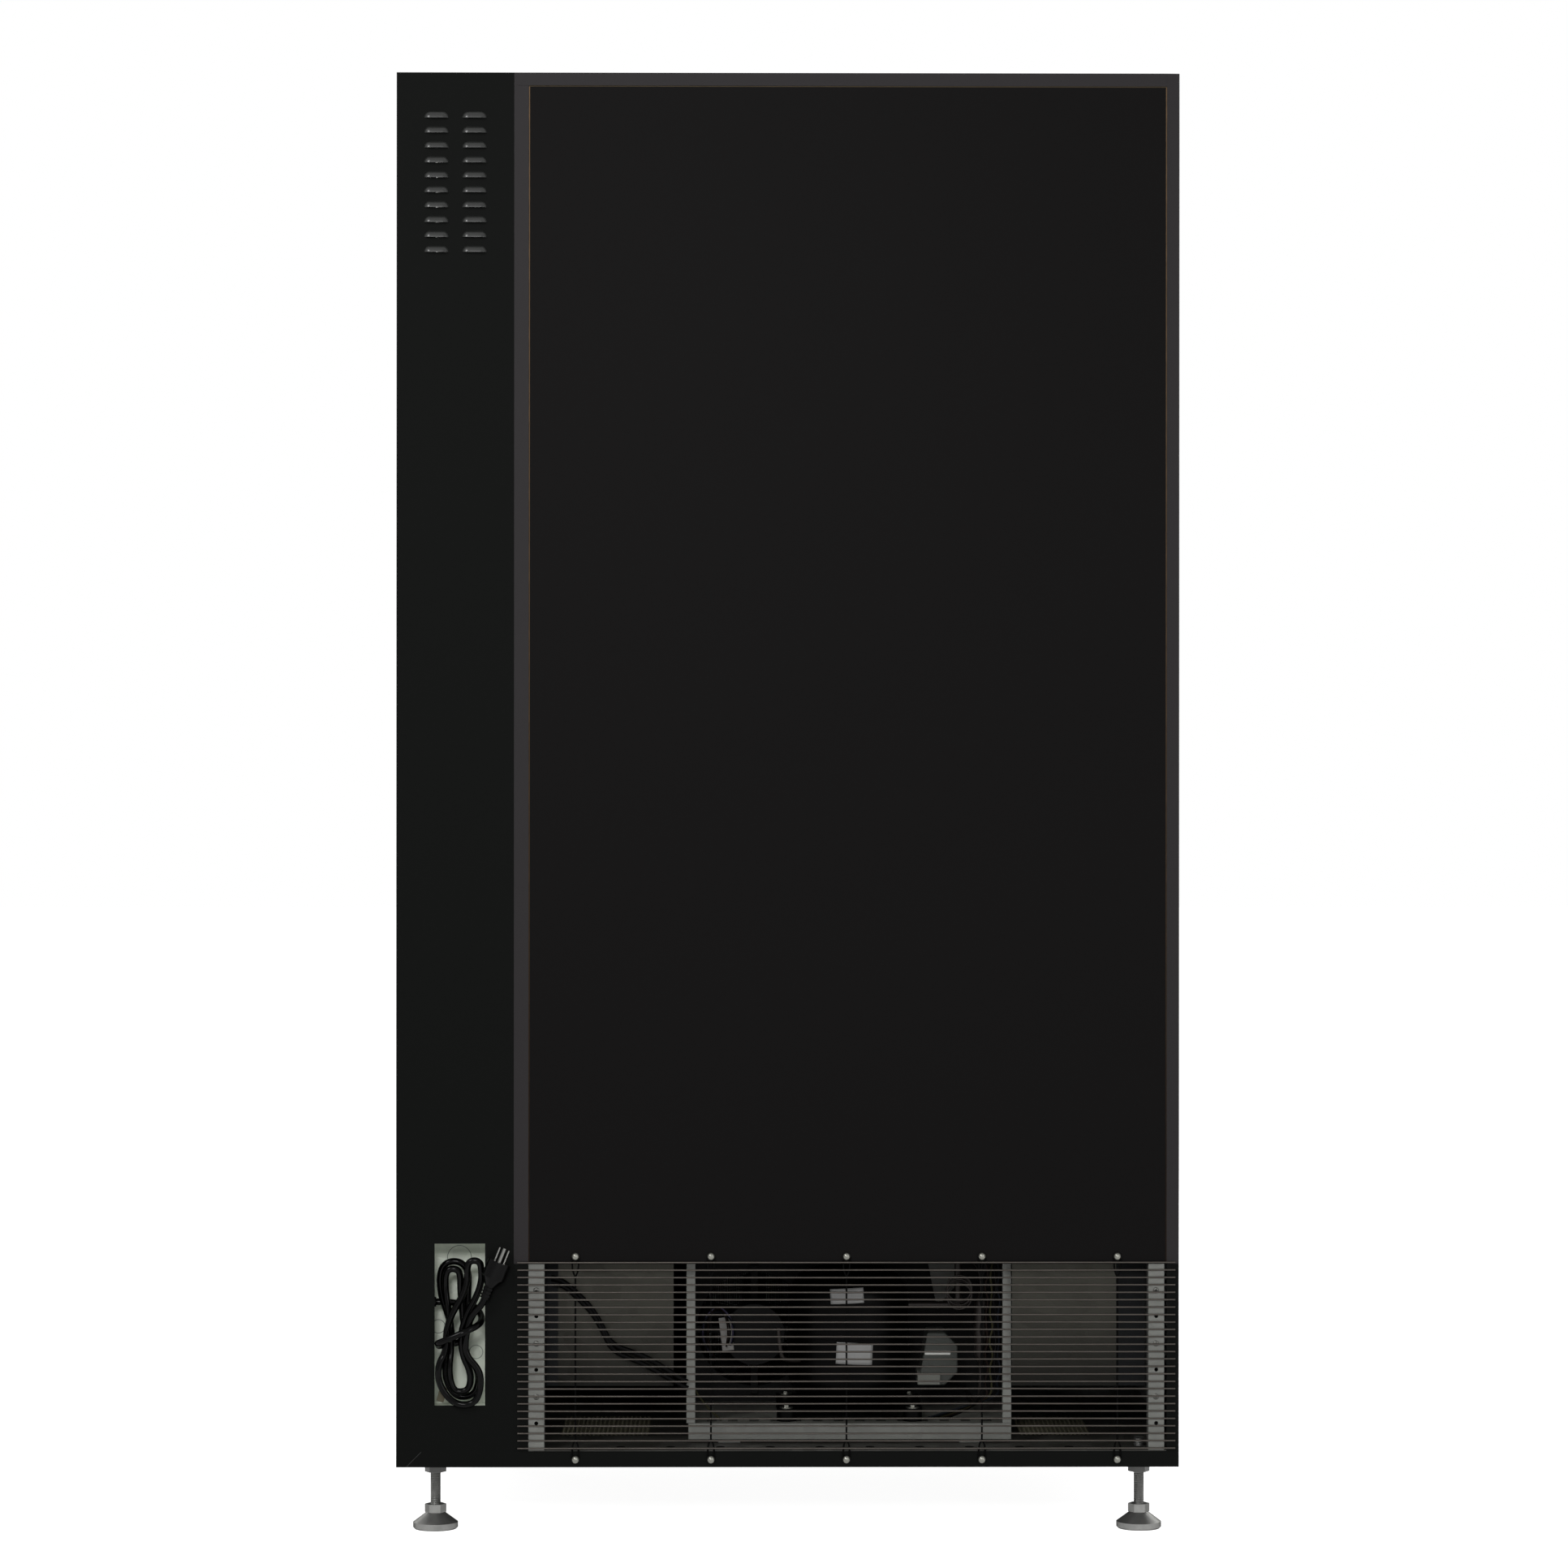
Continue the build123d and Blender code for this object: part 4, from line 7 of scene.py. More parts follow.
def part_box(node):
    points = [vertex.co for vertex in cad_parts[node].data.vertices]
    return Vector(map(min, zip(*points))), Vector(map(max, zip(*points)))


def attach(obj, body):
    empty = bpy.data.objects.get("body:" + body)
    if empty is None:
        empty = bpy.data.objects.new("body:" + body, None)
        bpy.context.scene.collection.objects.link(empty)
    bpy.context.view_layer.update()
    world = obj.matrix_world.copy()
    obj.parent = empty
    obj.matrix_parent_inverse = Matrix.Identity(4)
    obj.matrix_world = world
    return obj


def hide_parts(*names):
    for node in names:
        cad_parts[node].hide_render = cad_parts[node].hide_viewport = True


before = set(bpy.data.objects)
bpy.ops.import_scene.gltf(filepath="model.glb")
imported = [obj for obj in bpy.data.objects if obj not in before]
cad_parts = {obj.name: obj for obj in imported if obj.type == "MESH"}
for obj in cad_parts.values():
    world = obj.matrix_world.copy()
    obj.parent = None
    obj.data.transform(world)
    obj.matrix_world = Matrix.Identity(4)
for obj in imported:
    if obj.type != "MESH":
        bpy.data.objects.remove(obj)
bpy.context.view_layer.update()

# Camera. It stands six metres behind the machine at the height of its middle, with a long lens.
# It is a little to the column's side and a little rolled, as the photograph shows.
CAMERA_DISTANCE = 6.0
CAMERA_HEIGHT = 0.9955
CAMERA_LENS = 103.7
CAMERA_SIDESTEP = 0.0054
CAMERA_TURN = math.radians(0.5)
CAMERA_ROLL = math.radians(0.03)
cabinet_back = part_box("rear_panel")[1].y


def in_scene(name, data):
    """A new object at the origin, linked to the scene."""
    made = bpy.data.objects.new(name, data)
    bpy.context.scene.collection.objects.link(made)
    return made


camera = in_scene("camera", bpy.data.cameras.new("camera"))
camera.data.lens = CAMERA_LENS
camera.data.sensor_width = 36.0
camera.data.clip_end = 60.0
step = Matrix.Rotation(-CAMERA_TURN, 4, "Z") @ Vector((0, CAMERA_DISTANCE, 0))
camera.location = Vector((CAMERA_SIDESTEP, cabinet_back, CAMERA_HEIGHT)) + step
level = Matrix.Rotation(math.pi - CAMERA_TURN, 4, "Z") @ Matrix.Rotation(math.pi / 2, 4, "X")
camera.rotation_euler = (level @ Matrix.Rotation(CAMERA_ROLL, 4, "Z")).to_euler()
bpy.context.scene.camera = camera

# Power cord. A black three-core lead of glossy PVC, folded into a hank in its recess.
# It leaves a moulded gland, wraps the hank's waist once, makes three loops and ends in its plug.
CORD_DIAMETER = 0.009
HANK_PITCH = 0.0099
HANK_TOP = 0.193
HANK_WAIST = 0.082
HANK_FRONT_PROUD = 0.0051
HANK_LAYERS = 4
HANK_WRAP_RISE = 0.052
HANK_WRAP_PROUD = 0.014
HANK_WRAP_REACH = 0.0285
HANK_LEFT_SHOULDER = 0.046
HANK_RIGHT_SHOULDER = 0.032
HANK_TOP_FOLDS = ((-0.009, 0.019, 0.189), (-0.010, 0.010, 0.180), (0.019, 0.0095, 0.192))
HANK_BOTTOM_FOLDS = ((-0.020, 0.006, 0.024, 0.010), (-0.014, 0.002, 0.014, 0.018),
                     (-0.028, 0.009, 0.028, 0.002))
HANK_LEFT_RUNS = (-0.012, -0.012, -0.018)
HANK_RIGHT_RUNS = (0.005, 0.002, 0.008)
CUTOUT_CENTRE_X = 0.4355
CUTOUT_LEFT = 0.402
CUTOUT_RIGHT = 0.469
CUTOUT_BOTTOM = 0.170
PLUG_RISE = 0.144
PLUG_TILT = math.radians(22)
PLUG_HALF_DEPTH = 0.0125
CORD_GAP = 0.0003


def paint(code):
    """A colour written as on a paint card, in the renderer's own scale."""
    parts = [int(code[i:i + 2], 16) / 255 for i in (0, 2, 4)]
    return [p / 12.92 if p <= 0.04045 else ((p + 0.055) / 1.055) ** 2.4 for p in parts]


def surface(name, code, roughness, metallic=0.0, specular=0.5, drift=0.0, drift_size=3.0,
            grain=0.0, grain_size=900.0, coat=0.0):
    """A finish with a slow drift in its shade and gloss, and a fine grain raised on it."""
    material = bpy.data.materials.new(name)
    material.use_nodes = True
    nodes, links = material.node_tree.nodes, material.node_tree.links
    shader = nodes["Principled BSDF"]
    colour = paint(code)
    shader.inputs["Base Color"].default_value = (*colour, 1)
    shader.inputs["Roughness"].default_value = roughness
    shader.inputs["Metallic"].default_value = metallic
    shader.inputs["Specular IOR Level"].default_value = specular
    shader.inputs["Coat Weight"].default_value = coat
    shader.inputs["Coat Roughness"].default_value = roughness / 3
    place = nodes.new("ShaderNodeTexCoord")
    if drift:
        cloud = nodes.new("ShaderNodeTexNoise")
        cloud.inputs["Scale"].default_value = drift_size
        cloud.inputs["Detail"].default_value = 4
        links.new(place.outputs["Object"], cloud.inputs["Vector"])
        tint = nodes.new("ShaderNodeMix")
        tint.data_type = "RGBA"
        tint.inputs["A"].default_value = (*[c * (1 - drift) for c in colour], 1)
        tint.inputs["B"].default_value = (*[min(1, c * (1 + drift)) for c in colour], 1)
        links.new(cloud.outputs["Fac"], tint.inputs["Factor"])
        links.new(tint.outputs["Result"], shader.inputs["Base Color"])
        gloss = nodes.new("ShaderNodeMapRange")
        gloss.inputs["To Min"].default_value = roughness * (1 - drift / 2)
        gloss.inputs["To Max"].default_value = min(1, roughness * (1 + drift / 2))
        links.new(cloud.outputs["Fac"], gloss.inputs["Value"])
        links.new(gloss.outputs["Result"], shader.inputs["Roughness"])
    if grain:
        speck = nodes.new("ShaderNodeTexNoise")
        speck.inputs["Scale"].default_value = grain_size
        speck.inputs["Detail"].default_value = 2
        links.new(place.outputs["Object"], speck.inputs["Vector"])
        bump = nodes.new("ShaderNodeBump")
        bump.inputs["Strength"].default_value = grain
        bump.inputs["Distance"].default_value = 0.0004
        links.new(speck.outputs["Fac"], bump.inputs["Height"])
        links.new(bump.outputs["Normal"], shader.inputs["Normal"])
    return material


def finished(piece, body, slot, *nodes):
    """Let a piece ride on its body, and hide the CAD nodes that it stands for. Its slot is not used."""
    if nodes:
        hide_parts(*nodes)
    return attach(piece, body)


def hank_layer(layer):
    """The depth of a layer of the hank, counted outwards from the pass behind it."""
    return cabinet_back + HANK_FRONT_PROUD - (HANK_LAYERS - layer) * HANK_PITCH


def hank_point(across, depth, rise):
    """A point of the cord, measured to the cut-out's far side, outwards and up from its sill."""
    return Vector((CUTOUT_CENTRE_X - across, depth, CUTOUT_BOTTOM + rise))


def hank_loop(layer):
    """One loop: over the top fold, down the left run, round the bottom fold and up to the waist."""
    here, beyond = hank_layer(layer + 1), hank_layer(layer + 2)
    middle, radius, height = HANK_TOP_FOLDS[layer]
    left, apex, right, sill = HANK_BOTTOM_FOLDS[layer]
    climb = HANK_PITCH / (HANK_TOP - 2 * radius)
    return [
        (hank_point(middle + radius, here, height - radius), (0, 0, 1)),
        (hank_point(middle, here, height), (1, 0, 0)),
        (hank_point(middle - radius, here, height - radius), (0, 0, -1)),
        (hank_point(HANK_LEFT_RUNS[layer], (here + beyond) / 2, HANK_WAIST), (0, climb, -1)),
        (hank_point(left, beyond, HANK_LEFT_SHOULDER), (0, 0, -1)),
        (hank_point(apex, beyond, sill), (-1, 0, 0)),
        (hank_point(right, beyond, HANK_RIGHT_SHOULDER), (0, 0, 1)),
        (hank_point(HANK_RIGHT_RUNS[layer], beyond, HANK_WAIST), (0, 0, 1)),
    ]


def corner_points(start, heading, end, leaving):
    """The two corners between which a bend swings from one heading into another."""
    heading, leaving = Vector(heading).normalized(), Vector(leaving).normalized()
    across, both = end - start, heading + leaving
    spread = 2 * (1 - heading.dot(leaving))
    if spread < 1e-9:
        reach = across.dot(across) / (4 * across.dot(leaving))
    else:
        inside = across.dot(both) ** 2 + spread * across.dot(across)
        reach = (math.sqrt(inside) - across.dot(both)) / spread
    return start + heading * reach, end - leaving * reach


back, front = hank_layer(0), hank_layer(HANK_LAYERS) + HANK_WRAP_PROUD
middle, wrap = (back + front) / 2, HANK_WAIST + HANK_WRAP_RISE
side, fall = HANK_WRAP_REACH, HANK_WRAP_RISE
gland_tip = Vector((CUTOUT_RIGHT, back, CUTOUT_BOTTOM + wrap))
plug_entry = Vector((CUTOUT_LEFT - CORD_GAP, cabinet_back + PLUG_HALF_DEPTH + CORD_GAP,
                     CUTOUT_BOTTOM + PLUG_RISE))
plug_heading = Vector((-math.sin(PLUG_TILT), 0, math.cos(PLUG_TILT)))
stations = [
    (gland_tip, (-1, 0, 0)),
    (hank_point(side * 0.2, back - HANK_PITCH * 0.15, wrap - fall * 0.06), (-1, 0, -0.12)),
    (hank_point(side, middle, wrap - fall * 0.4), (0, 1, -0.35)),
    (hank_point(0, front, wrap - fall * 0.72), (1, 0, -0.42)),
    (hank_point(-side, middle + side * 0.45, wrap - fall * 0.98), (0, -1, -0.12)),
    (hank_point(-side * 0.94, middle - side * 0.12, wrap - fall * 1.08), (-0.4, -1, 0)),
    (hank_point(-side * 0.25, back, wrap - fall * 1.06), (-1, 0, 0.25)),
    (hank_point(side * 0.3, back + HANK_PITCH * 0.85, wrap - fall * 0.42), (0, 0.1, 1)),
]
for layer in range(len(HANK_TOP_FOLDS)):
    stations += hank_loop(layer)
stations.append((hank_point(side * 0.46, hank_layer(HANK_LAYERS), wrap - fall * 0.45), (-0.3, 0, 1)))
stations.append((plug_entry, plug_heading))
route = [stations[0][0]]
for (start, heading), (end, leaving) in zip(stations, stations[1:]):
    route += corner_points(start, heading, end, leaving)
route.append(stations[-1][0])


def round_line(name, places, radius, steps, sides, smooth=True):
    """A bent round wire, pipe or cord through points, as a curve with closed ends."""
    line = bpy.data.curves.new(name, "CURVE")
    line.dimensions = "3D"
    line.resolution_u = steps
    line.bevel_depth = radius
    line.bevel_resolution = sides
    line.use_fill_caps = True
    run = line.splines.new("NURBS" if smooth else "POLY")
    run.points.add(len(places) - 1)
    for point, place in zip(run.points, places):
        point.co = (*place, 1)
    if smooth:
        run.order_u = 3
        run.use_endpoint_u = True
    return in_scene(name, line)


power_cord = round_line("power_cord", route, CORD_DIAMETER / 2, 10, 5)
cord_sheath = surface("cord_sheath", "010101", 0.1, specular=0.07)
power_cord.data.materials.append(cord_sheath)
finished(power_cord, "cabinet", "cord_pvc", "cord_hank")

# Plug. A moulded black body with a ribbed grip, two flat nickel-plated blades and a round earth pin.
# It lies against the column cover beside the cut-out, with its pins upwards.
PIN_METAL_START = 0.0519
BEVEL_STEPS = 2


def merged_copy(node, name, cut_height=None):
    """A copy of a CAD node's mesh with its triangles joined again into whole faces."""
    shape = bmesh.new()
    shape.from_mesh(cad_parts[node].data)
    bmesh.ops.remove_doubles(shape, verts=shape.verts, dist=0.00001)
    bmesh.ops.dissolve_limit(shape, angle_limit=math.radians(0.1), verts=shape.verts, edges=shape.edges)
    if cut_height:
        everything = list(shape.verts) + list(shape.edges) + list(shape.faces)
        bmesh.ops.bisect_plane(shape, geom=everything, plane_co=(0, 0, cut_height), plane_no=(0, 0, 1))
    return piece_of(name, shape)


def piece_of(name, shape, smooth_angle=35):
    """An object at the origin from a finished bmesh, shaded smooth across its shallow edges."""
    mesh = bpy.data.meshes.new(name)
    shape.to_mesh(mesh)
    shape.free()
    shaded_smooth(mesh).set_sharp_from_angle(angle=math.radians(smooth_angle))
    return in_scene(name, mesh)


def shaded_smooth(mesh):
    """The mesh with every face shaded smooth."""
    mesh.polygons.foreach_set("use_smooth", [True] * len(mesh.polygons))
    return mesh


def round_edges(piece, radius, steps=BEVEL_STEPS):
    """Break a piece's sharp edges, as a press, a mould or a file leaves them."""
    if radius:
        bevel = piece.modifiers.new("edges", "BEVEL")
        bevel.width = radius
        bevel.segments = steps
        bevel.limit_method = "ANGLE"
        bevel.angle_limit = math.radians(40)
    flat = piece.modifiers.new("flat_faces", "WEIGHTED_NORMAL")
    flat.keep_sharp = True
    return piece


def coated(piece, material, others=()):
    """Give a piece its finish, and another finish to the faces that a test picks."""
    piece.data.materials.clear()
    piece.data.materials.append(material)
    for other, is_there in others:
        piece.data.materials.append(other)
        for face in piece.data.polygons:
            if is_there(face.center):
                face.material_index = len(piece.data.materials) - 1
    return piece


def dressed(node, body, slot, material, radius=0.0006, steps=BEVEL_STEPS, others=(), cut_height=None):
    """A CAD node shown with broken edges and with its own finishes."""
    piece = coated(merged_copy(node, node + "_dressed", cut_height), material, others)
    return finished(round_edges(piece, radius, steps), body, slot, node)


def new_piece(name, shape, body, slot, material, radius=0.0, smooth_angle=35):
    """A piece drawn here, with its normals outwards, its finish and its body."""
    bmesh.ops.recalc_face_normals(shape, faces=shape.faces)
    piece = piece_of(name, shape, smooth_angle)
    piece.data.materials.append(material)
    if radius:
        round_edges(piece, radius)
    return finished(piece, body, slot)


def rod(shape, seat, radius, depth, sides):
    """Add a closed round rod along the Z axis of its seat."""
    bmesh.ops.create_cone(shape, cap_ends=True, segments=sides, radius1=radius, radius2=radius,
                          depth=depth, matrix=seat)


RELIEF_RIBS = 5
RIB_START, RIB_PITCH, RIB_DEPTH = 0.002, 0.0032, 0.0016
RIB_RADIUS, RIB_GROWTH = 0.0057, 0.0003
nickel = surface("nickel_plate", "6b6b68", 0.25, metallic=1.0)
plug_pvc = surface("plug_pvc", "020202", 0.25, specular=0.08)
plug = dressed("cord_plug", "cabinet", "cord_pvc", plug_pvc, 0.0008, 2,
               [(nickel, lambda spot: (spot - plug_entry).dot(plug_heading) > PIN_METAL_START)])
ribs = bmesh.new()
for rib in range(RELIEF_RIBS):
    seat = Matrix.Translation(plug_entry + plug_heading * (RIB_START + RIB_PITCH * rib))
    rod(ribs, seat @ Matrix.Rotation(-PLUG_TILT, 4, "Y"), RIB_RADIUS + RIB_GROWTH * rib, RIB_DEPTH, 24)
plug_ribs = new_piece("plug_ribs", ribs, "cabinet", "cord_pvc", cord_sheath, 0.0004)
dressed("cord_gland", "cabinet", "black_plastic", cord_sheath, 0.0008)

# Cabinet shell. Folded steel sheet in a satin graphite coat, which shows as a frame round the rear panel.
# The sides, the top and the partition are one casing, and its flanges beside the cooling bay are left black.
# The column's cover has two columns of pressed louvres, whose hoods are drawn here on its flat sheet.
graphite = surface("graphite_coat", "242223", 0.5, specular=0.08, drift=0.06, drift_size=1.6, grain=0.12)
matt_black = surface("matt_black_coat", "080908", 0.55, specular=0.035, drift=0.1, drift_size=1.2, grain=0.15)
rear_black = surface("rear_black_coat", "080707", 0.5, specular=0.04, drift=0.12, drift_size=0.9, grain=0.15)
# The hoods are the cover's own black coat, drawn lighter as painted light where they face the lamps, and
# glossier.
louvre_painted_light = surface("louvre_coat", "1f201f", 0.3, specular=0.4)
bay_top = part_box("machine_bay_frame")[1].z
skin_plane = cabinet_back - 0.002
dressed("outer_shell", "cabinet", "graphite_coat", graphite, 0.0004, 2,
        [(matt_black, lambda spot: spot.y > skin_plane and spot.z < bay_top)], bay_top)
cover = dressed("column_back_cover", "cabinet", "matt_black_coat", matt_black, 0.0)
dressed("rear_panel", "cabinet", "rear_black_coat", rear_black, 0.0003)


def named_inputs(tree, inputs):
    """Add a tree's named inputs, and return each value under its socket's identifier."""
    values = {}
    for label, value in inputs:
        kind = "NodeSocketInt" if isinstance(value, int) else "NodeSocketFloat"
        socket = tree.interface.new_socket(label, in_out="INPUT", socket_type=kind)
        values[socket.identifier] = value
    return values


def settled(piece):
    """The piece with what its modifiers make kept as its own plain mesh."""
    bpy.context.view_layer.update()
    seen = piece.evaluated_get(bpy.context.evaluated_depsgraph_get())
    mesh = bpy.data.meshes.new_from_object(seen)
    piece.modifiers.clear()
    piece.data = mesh
    return piece


def grown(piece, tree, values):
    """The piece with what a tree makes from it and from its inputs' values, as a plain mesh."""
    modifier = piece.modifiers.new("tree", "NODES")
    modifier.node_group = tree
    for identifier, value in values.items():
        modifier[identifier] = value
    return settled(piece)


def ranks(name, unit, counts, pitches, corner, material):
    """Copies of a unit mesh in ranks across X, along Y and up Z, placed by Geometry Nodes."""
    tree = bpy.data.node_groups.new(name + "_ranks", "GeometryNodeTree")
    make, join = tree.nodes.new, tree.links.new
    tree.interface.new_socket("Unit", in_out="INPUT", socket_type="NodeSocketGeometry")
    ways = ("across", "along", "up")
    values = named_inputs(tree, [("Copies " + way, count) for way, count in zip(ways, counts)]
                          + [("Pitch " + way, float(pitch)) for way, pitch in zip(ways, pitches)])
    tree.interface.new_socket("Ranks", in_out="OUTPUT", socket_type="NodeSocketGeometry")
    entry, leave = make("NodeGroupInput"), make("NodeGroupOutput")
    current = entry.outputs["Unit"]
    for axis, way in enumerate(ways):
        line, offset = make("GeometryNodeMeshLine"), make("ShaderNodeCombineXYZ")
        join(entry.outputs["Pitch " + way], offset.inputs[axis])
        join(entry.outputs["Copies " + way], line.inputs["Count"])
        join(offset.outputs["Vector"], line.inputs["Offset"])
        place = make("GeometryNodeInstanceOnPoints")
        join(line.outputs["Mesh"], place.inputs["Points"])
        join(current, place.inputs["Instance"])
        current = place.outputs["Instances"]
    move, whole = make("GeometryNodeTransform"), make("GeometryNodeRealizeInstances")
    coat = make("GeometryNodeSetMaterial")
    move.inputs["Translation"].default_value = corner
    coat.inputs["Material"].default_value = material
    join(current, move.inputs["Geometry"])
    join(move.outputs["Geometry"], whole.inputs["Geometry"])
    join(whole.outputs["Geometry"], coat.inputs["Geometry"])
    join(coat.outputs["Geometry"], leave.inputs["Ranks"])
    bmesh.ops.recalc_face_normals(unit, faces=unit.faces)
    return grown(piece_of(name, unit), tree, values)


def bands(shape, rings, closed=True):
    """Add the quads between each ring of vertices and the next."""
    for ring, beyond in zip(rings, rings[1:]):
        for k in range(len(ring) if closed else len(ring) - 1):
            after = (k + 1) % len(ring)
            shape.faces.new((ring[k], ring[after], beyond[after], beyond[k]))


LOUVRE_RADIUS = 0.0100
LOUVRE_PROUD = 0.0050
LOUVRE_WIDTH = 0.033
LOUVRE_PITCH = 0.0198
LOUVRE_COLUMN_PITCH = 0.0505
LOUVRE_ROWS = 10
LOUVRE_TOP_DROP = 0.0605
COVER_SHEET = 0.0015
HOOD_RINGS = 7
HOOD_TURNS = 7
pressed = bmesh.new()
pressed.from_mesh(cover.data)
humps = [face for face in pressed.faces if face.calc_center_median().y > cabinet_back + 0.00005]
bmesh.ops.delete(pressed, geom=humps, context="FACES")
pressed.to_mesh(cover.data)
pressed.free()
hood_depth = LOUVRE_RADIUS - LOUVRE_PROUD
straight = LOUVRE_WIDTH / 2 - math.sqrt(LOUVRE_RADIUS ** 2 - hood_depth ** 2)


def hood_skin(shape, radius):
    """One skin of a pressed hood, ring by ring from its ridge down to the sheet."""
    chord = math.sqrt(radius ** 2 - hood_depth ** 2)
    rings = []
    for ring in range(HOOD_RINGS + 1):
        away = chord * math.sin(math.pi / 2 * ring / HOOD_RINGS)
        proud = math.sqrt(radius ** 2 - away ** 2) - hood_depth
        turns = [math.pi / 2 * k / HOOD_TURNS for k in range(HOOD_TURNS + 1)]
        left = [(-straight - away * math.cos(turn), away * math.sin(turn)) for turn in turns]
        rings.append([shape.verts.new((x, proud, z)) for x, z in left + [(-x, z) for x, z in reversed(left)]])
    bands(shape, rings, closed=False)
    return rings


hood = bmesh.new()
outside, inside = hood_skin(hood, LOUVRE_RADIUS), hood_skin(hood, LOUVRE_RADIUS - COVER_SHEET)
hood.faces.new((outside[0][0], outside[0][-1], inside[0][-1], inside[0][0]))
for side in (0, -1):
    for (a, b), (c, d) in zip(zip(outside, outside[1:]), zip(inside, inside[1:])):
        hood.faces.new((a[side], b[side], d[side], c[side]))
bmesh.ops.remove_doubles(hood, verts=hood.verts, dist=0.000001)
bmesh.ops.recalc_face_normals(hood, faces=hood.faces)
cover_low, cover_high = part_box("column_back_cover")
louvre_corner = ((cover_low.x + cover_high.x) / 2 - LOUVRE_COLUMN_PITCH / 2, cabinet_back,
                 cover_high.z - LOUVRE_TOP_DROP - (LOUVRE_ROWS - 1) * LOUVRE_PITCH)
hoods = ranks("louvre_hoods", hood, (2, 1, LOUVRE_ROWS), (LOUVRE_COLUMN_PITCH, 0, LOUVRE_PITCH),
              louvre_corner, louvre_painted_light)
finished(hoods, "cabinet", "matt_black_coat")

# Foam line. Insulating foam that has crept out round the rear panel's edges and been cut off flush.
# It shows as a thin, ragged, yellow-brown line in the panel's reveal.
foam_tan = surface("foam_tan", "463a2b", 0.9, specular=0.05)
# Painted light and shade: the line is drawn darker towards the floor and lighter towards the top.
SHADE_FADE_START, SHADE_FADE_END = 0.5, 1.9
nodes, links = foam_tan.node_tree.nodes, foam_tan.node_tree.links
place, upwards = nodes.new("ShaderNodeTexCoord"), nodes.new("ShaderNodeSeparateXYZ")
fade, tint = nodes.new("ShaderNodeMapRange"), nodes.new("ShaderNodeMix")
tint.data_type = "RGBA"
fade.inputs["From Min"].default_value = SHADE_FADE_START
fade.inputs["From Max"].default_value = SHADE_FADE_END
tint.inputs["A"].default_value = (*paint("1f1711"), 1)
tint.inputs["B"].default_value = (*paint("5e4c39"), 1)
links.new(place.outputs["Object"], upwards.inputs["Vector"])
links.new(upwards.outputs["Z"], fade.inputs["Value"])
links.new(fade.outputs["Result"], tint.inputs["Factor"])
links.new(tint.outputs["Result"], nodes["Principled BSDF"].inputs["Base Color"])
panel_low, panel_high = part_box("rear_panel")
LINE_WIDTH = 0.0013
LINE_STEPS = 160
foam_line = bmesh.new()
for edge_x, outward in ((panel_low.x, -1), (panel_high.x, 1)):
    rings = []
    for index in range(LINE_STEPS + 1):
        z = panel_low.z + (panel_high.z - panel_low.z) * index / LINE_STEPS
        creep = 0.0004 * math.sin(index * 1.7) + 0.0003 * math.sin(index * 0.61)
        proud = panel_high.y - 0.0003 + 0.0002 * math.sin(index * 2.3)
        near, far = edge_x, edge_x + outward * (LINE_WIDTH + creep * 0.3)
        places = ((near, panel_low.y), (near, proud), (far, proud), (far, panel_low.y))
        rings.append([foam_line.verts.new((x, y, z)) for x, y in places])
    bands(foam_line, rings)
    foam_line.faces.new(rings[0])
    foam_line.faces.new(rings[-1])
new_piece("foam_line", foam_line, "cabinet", "foam", foam_tan)

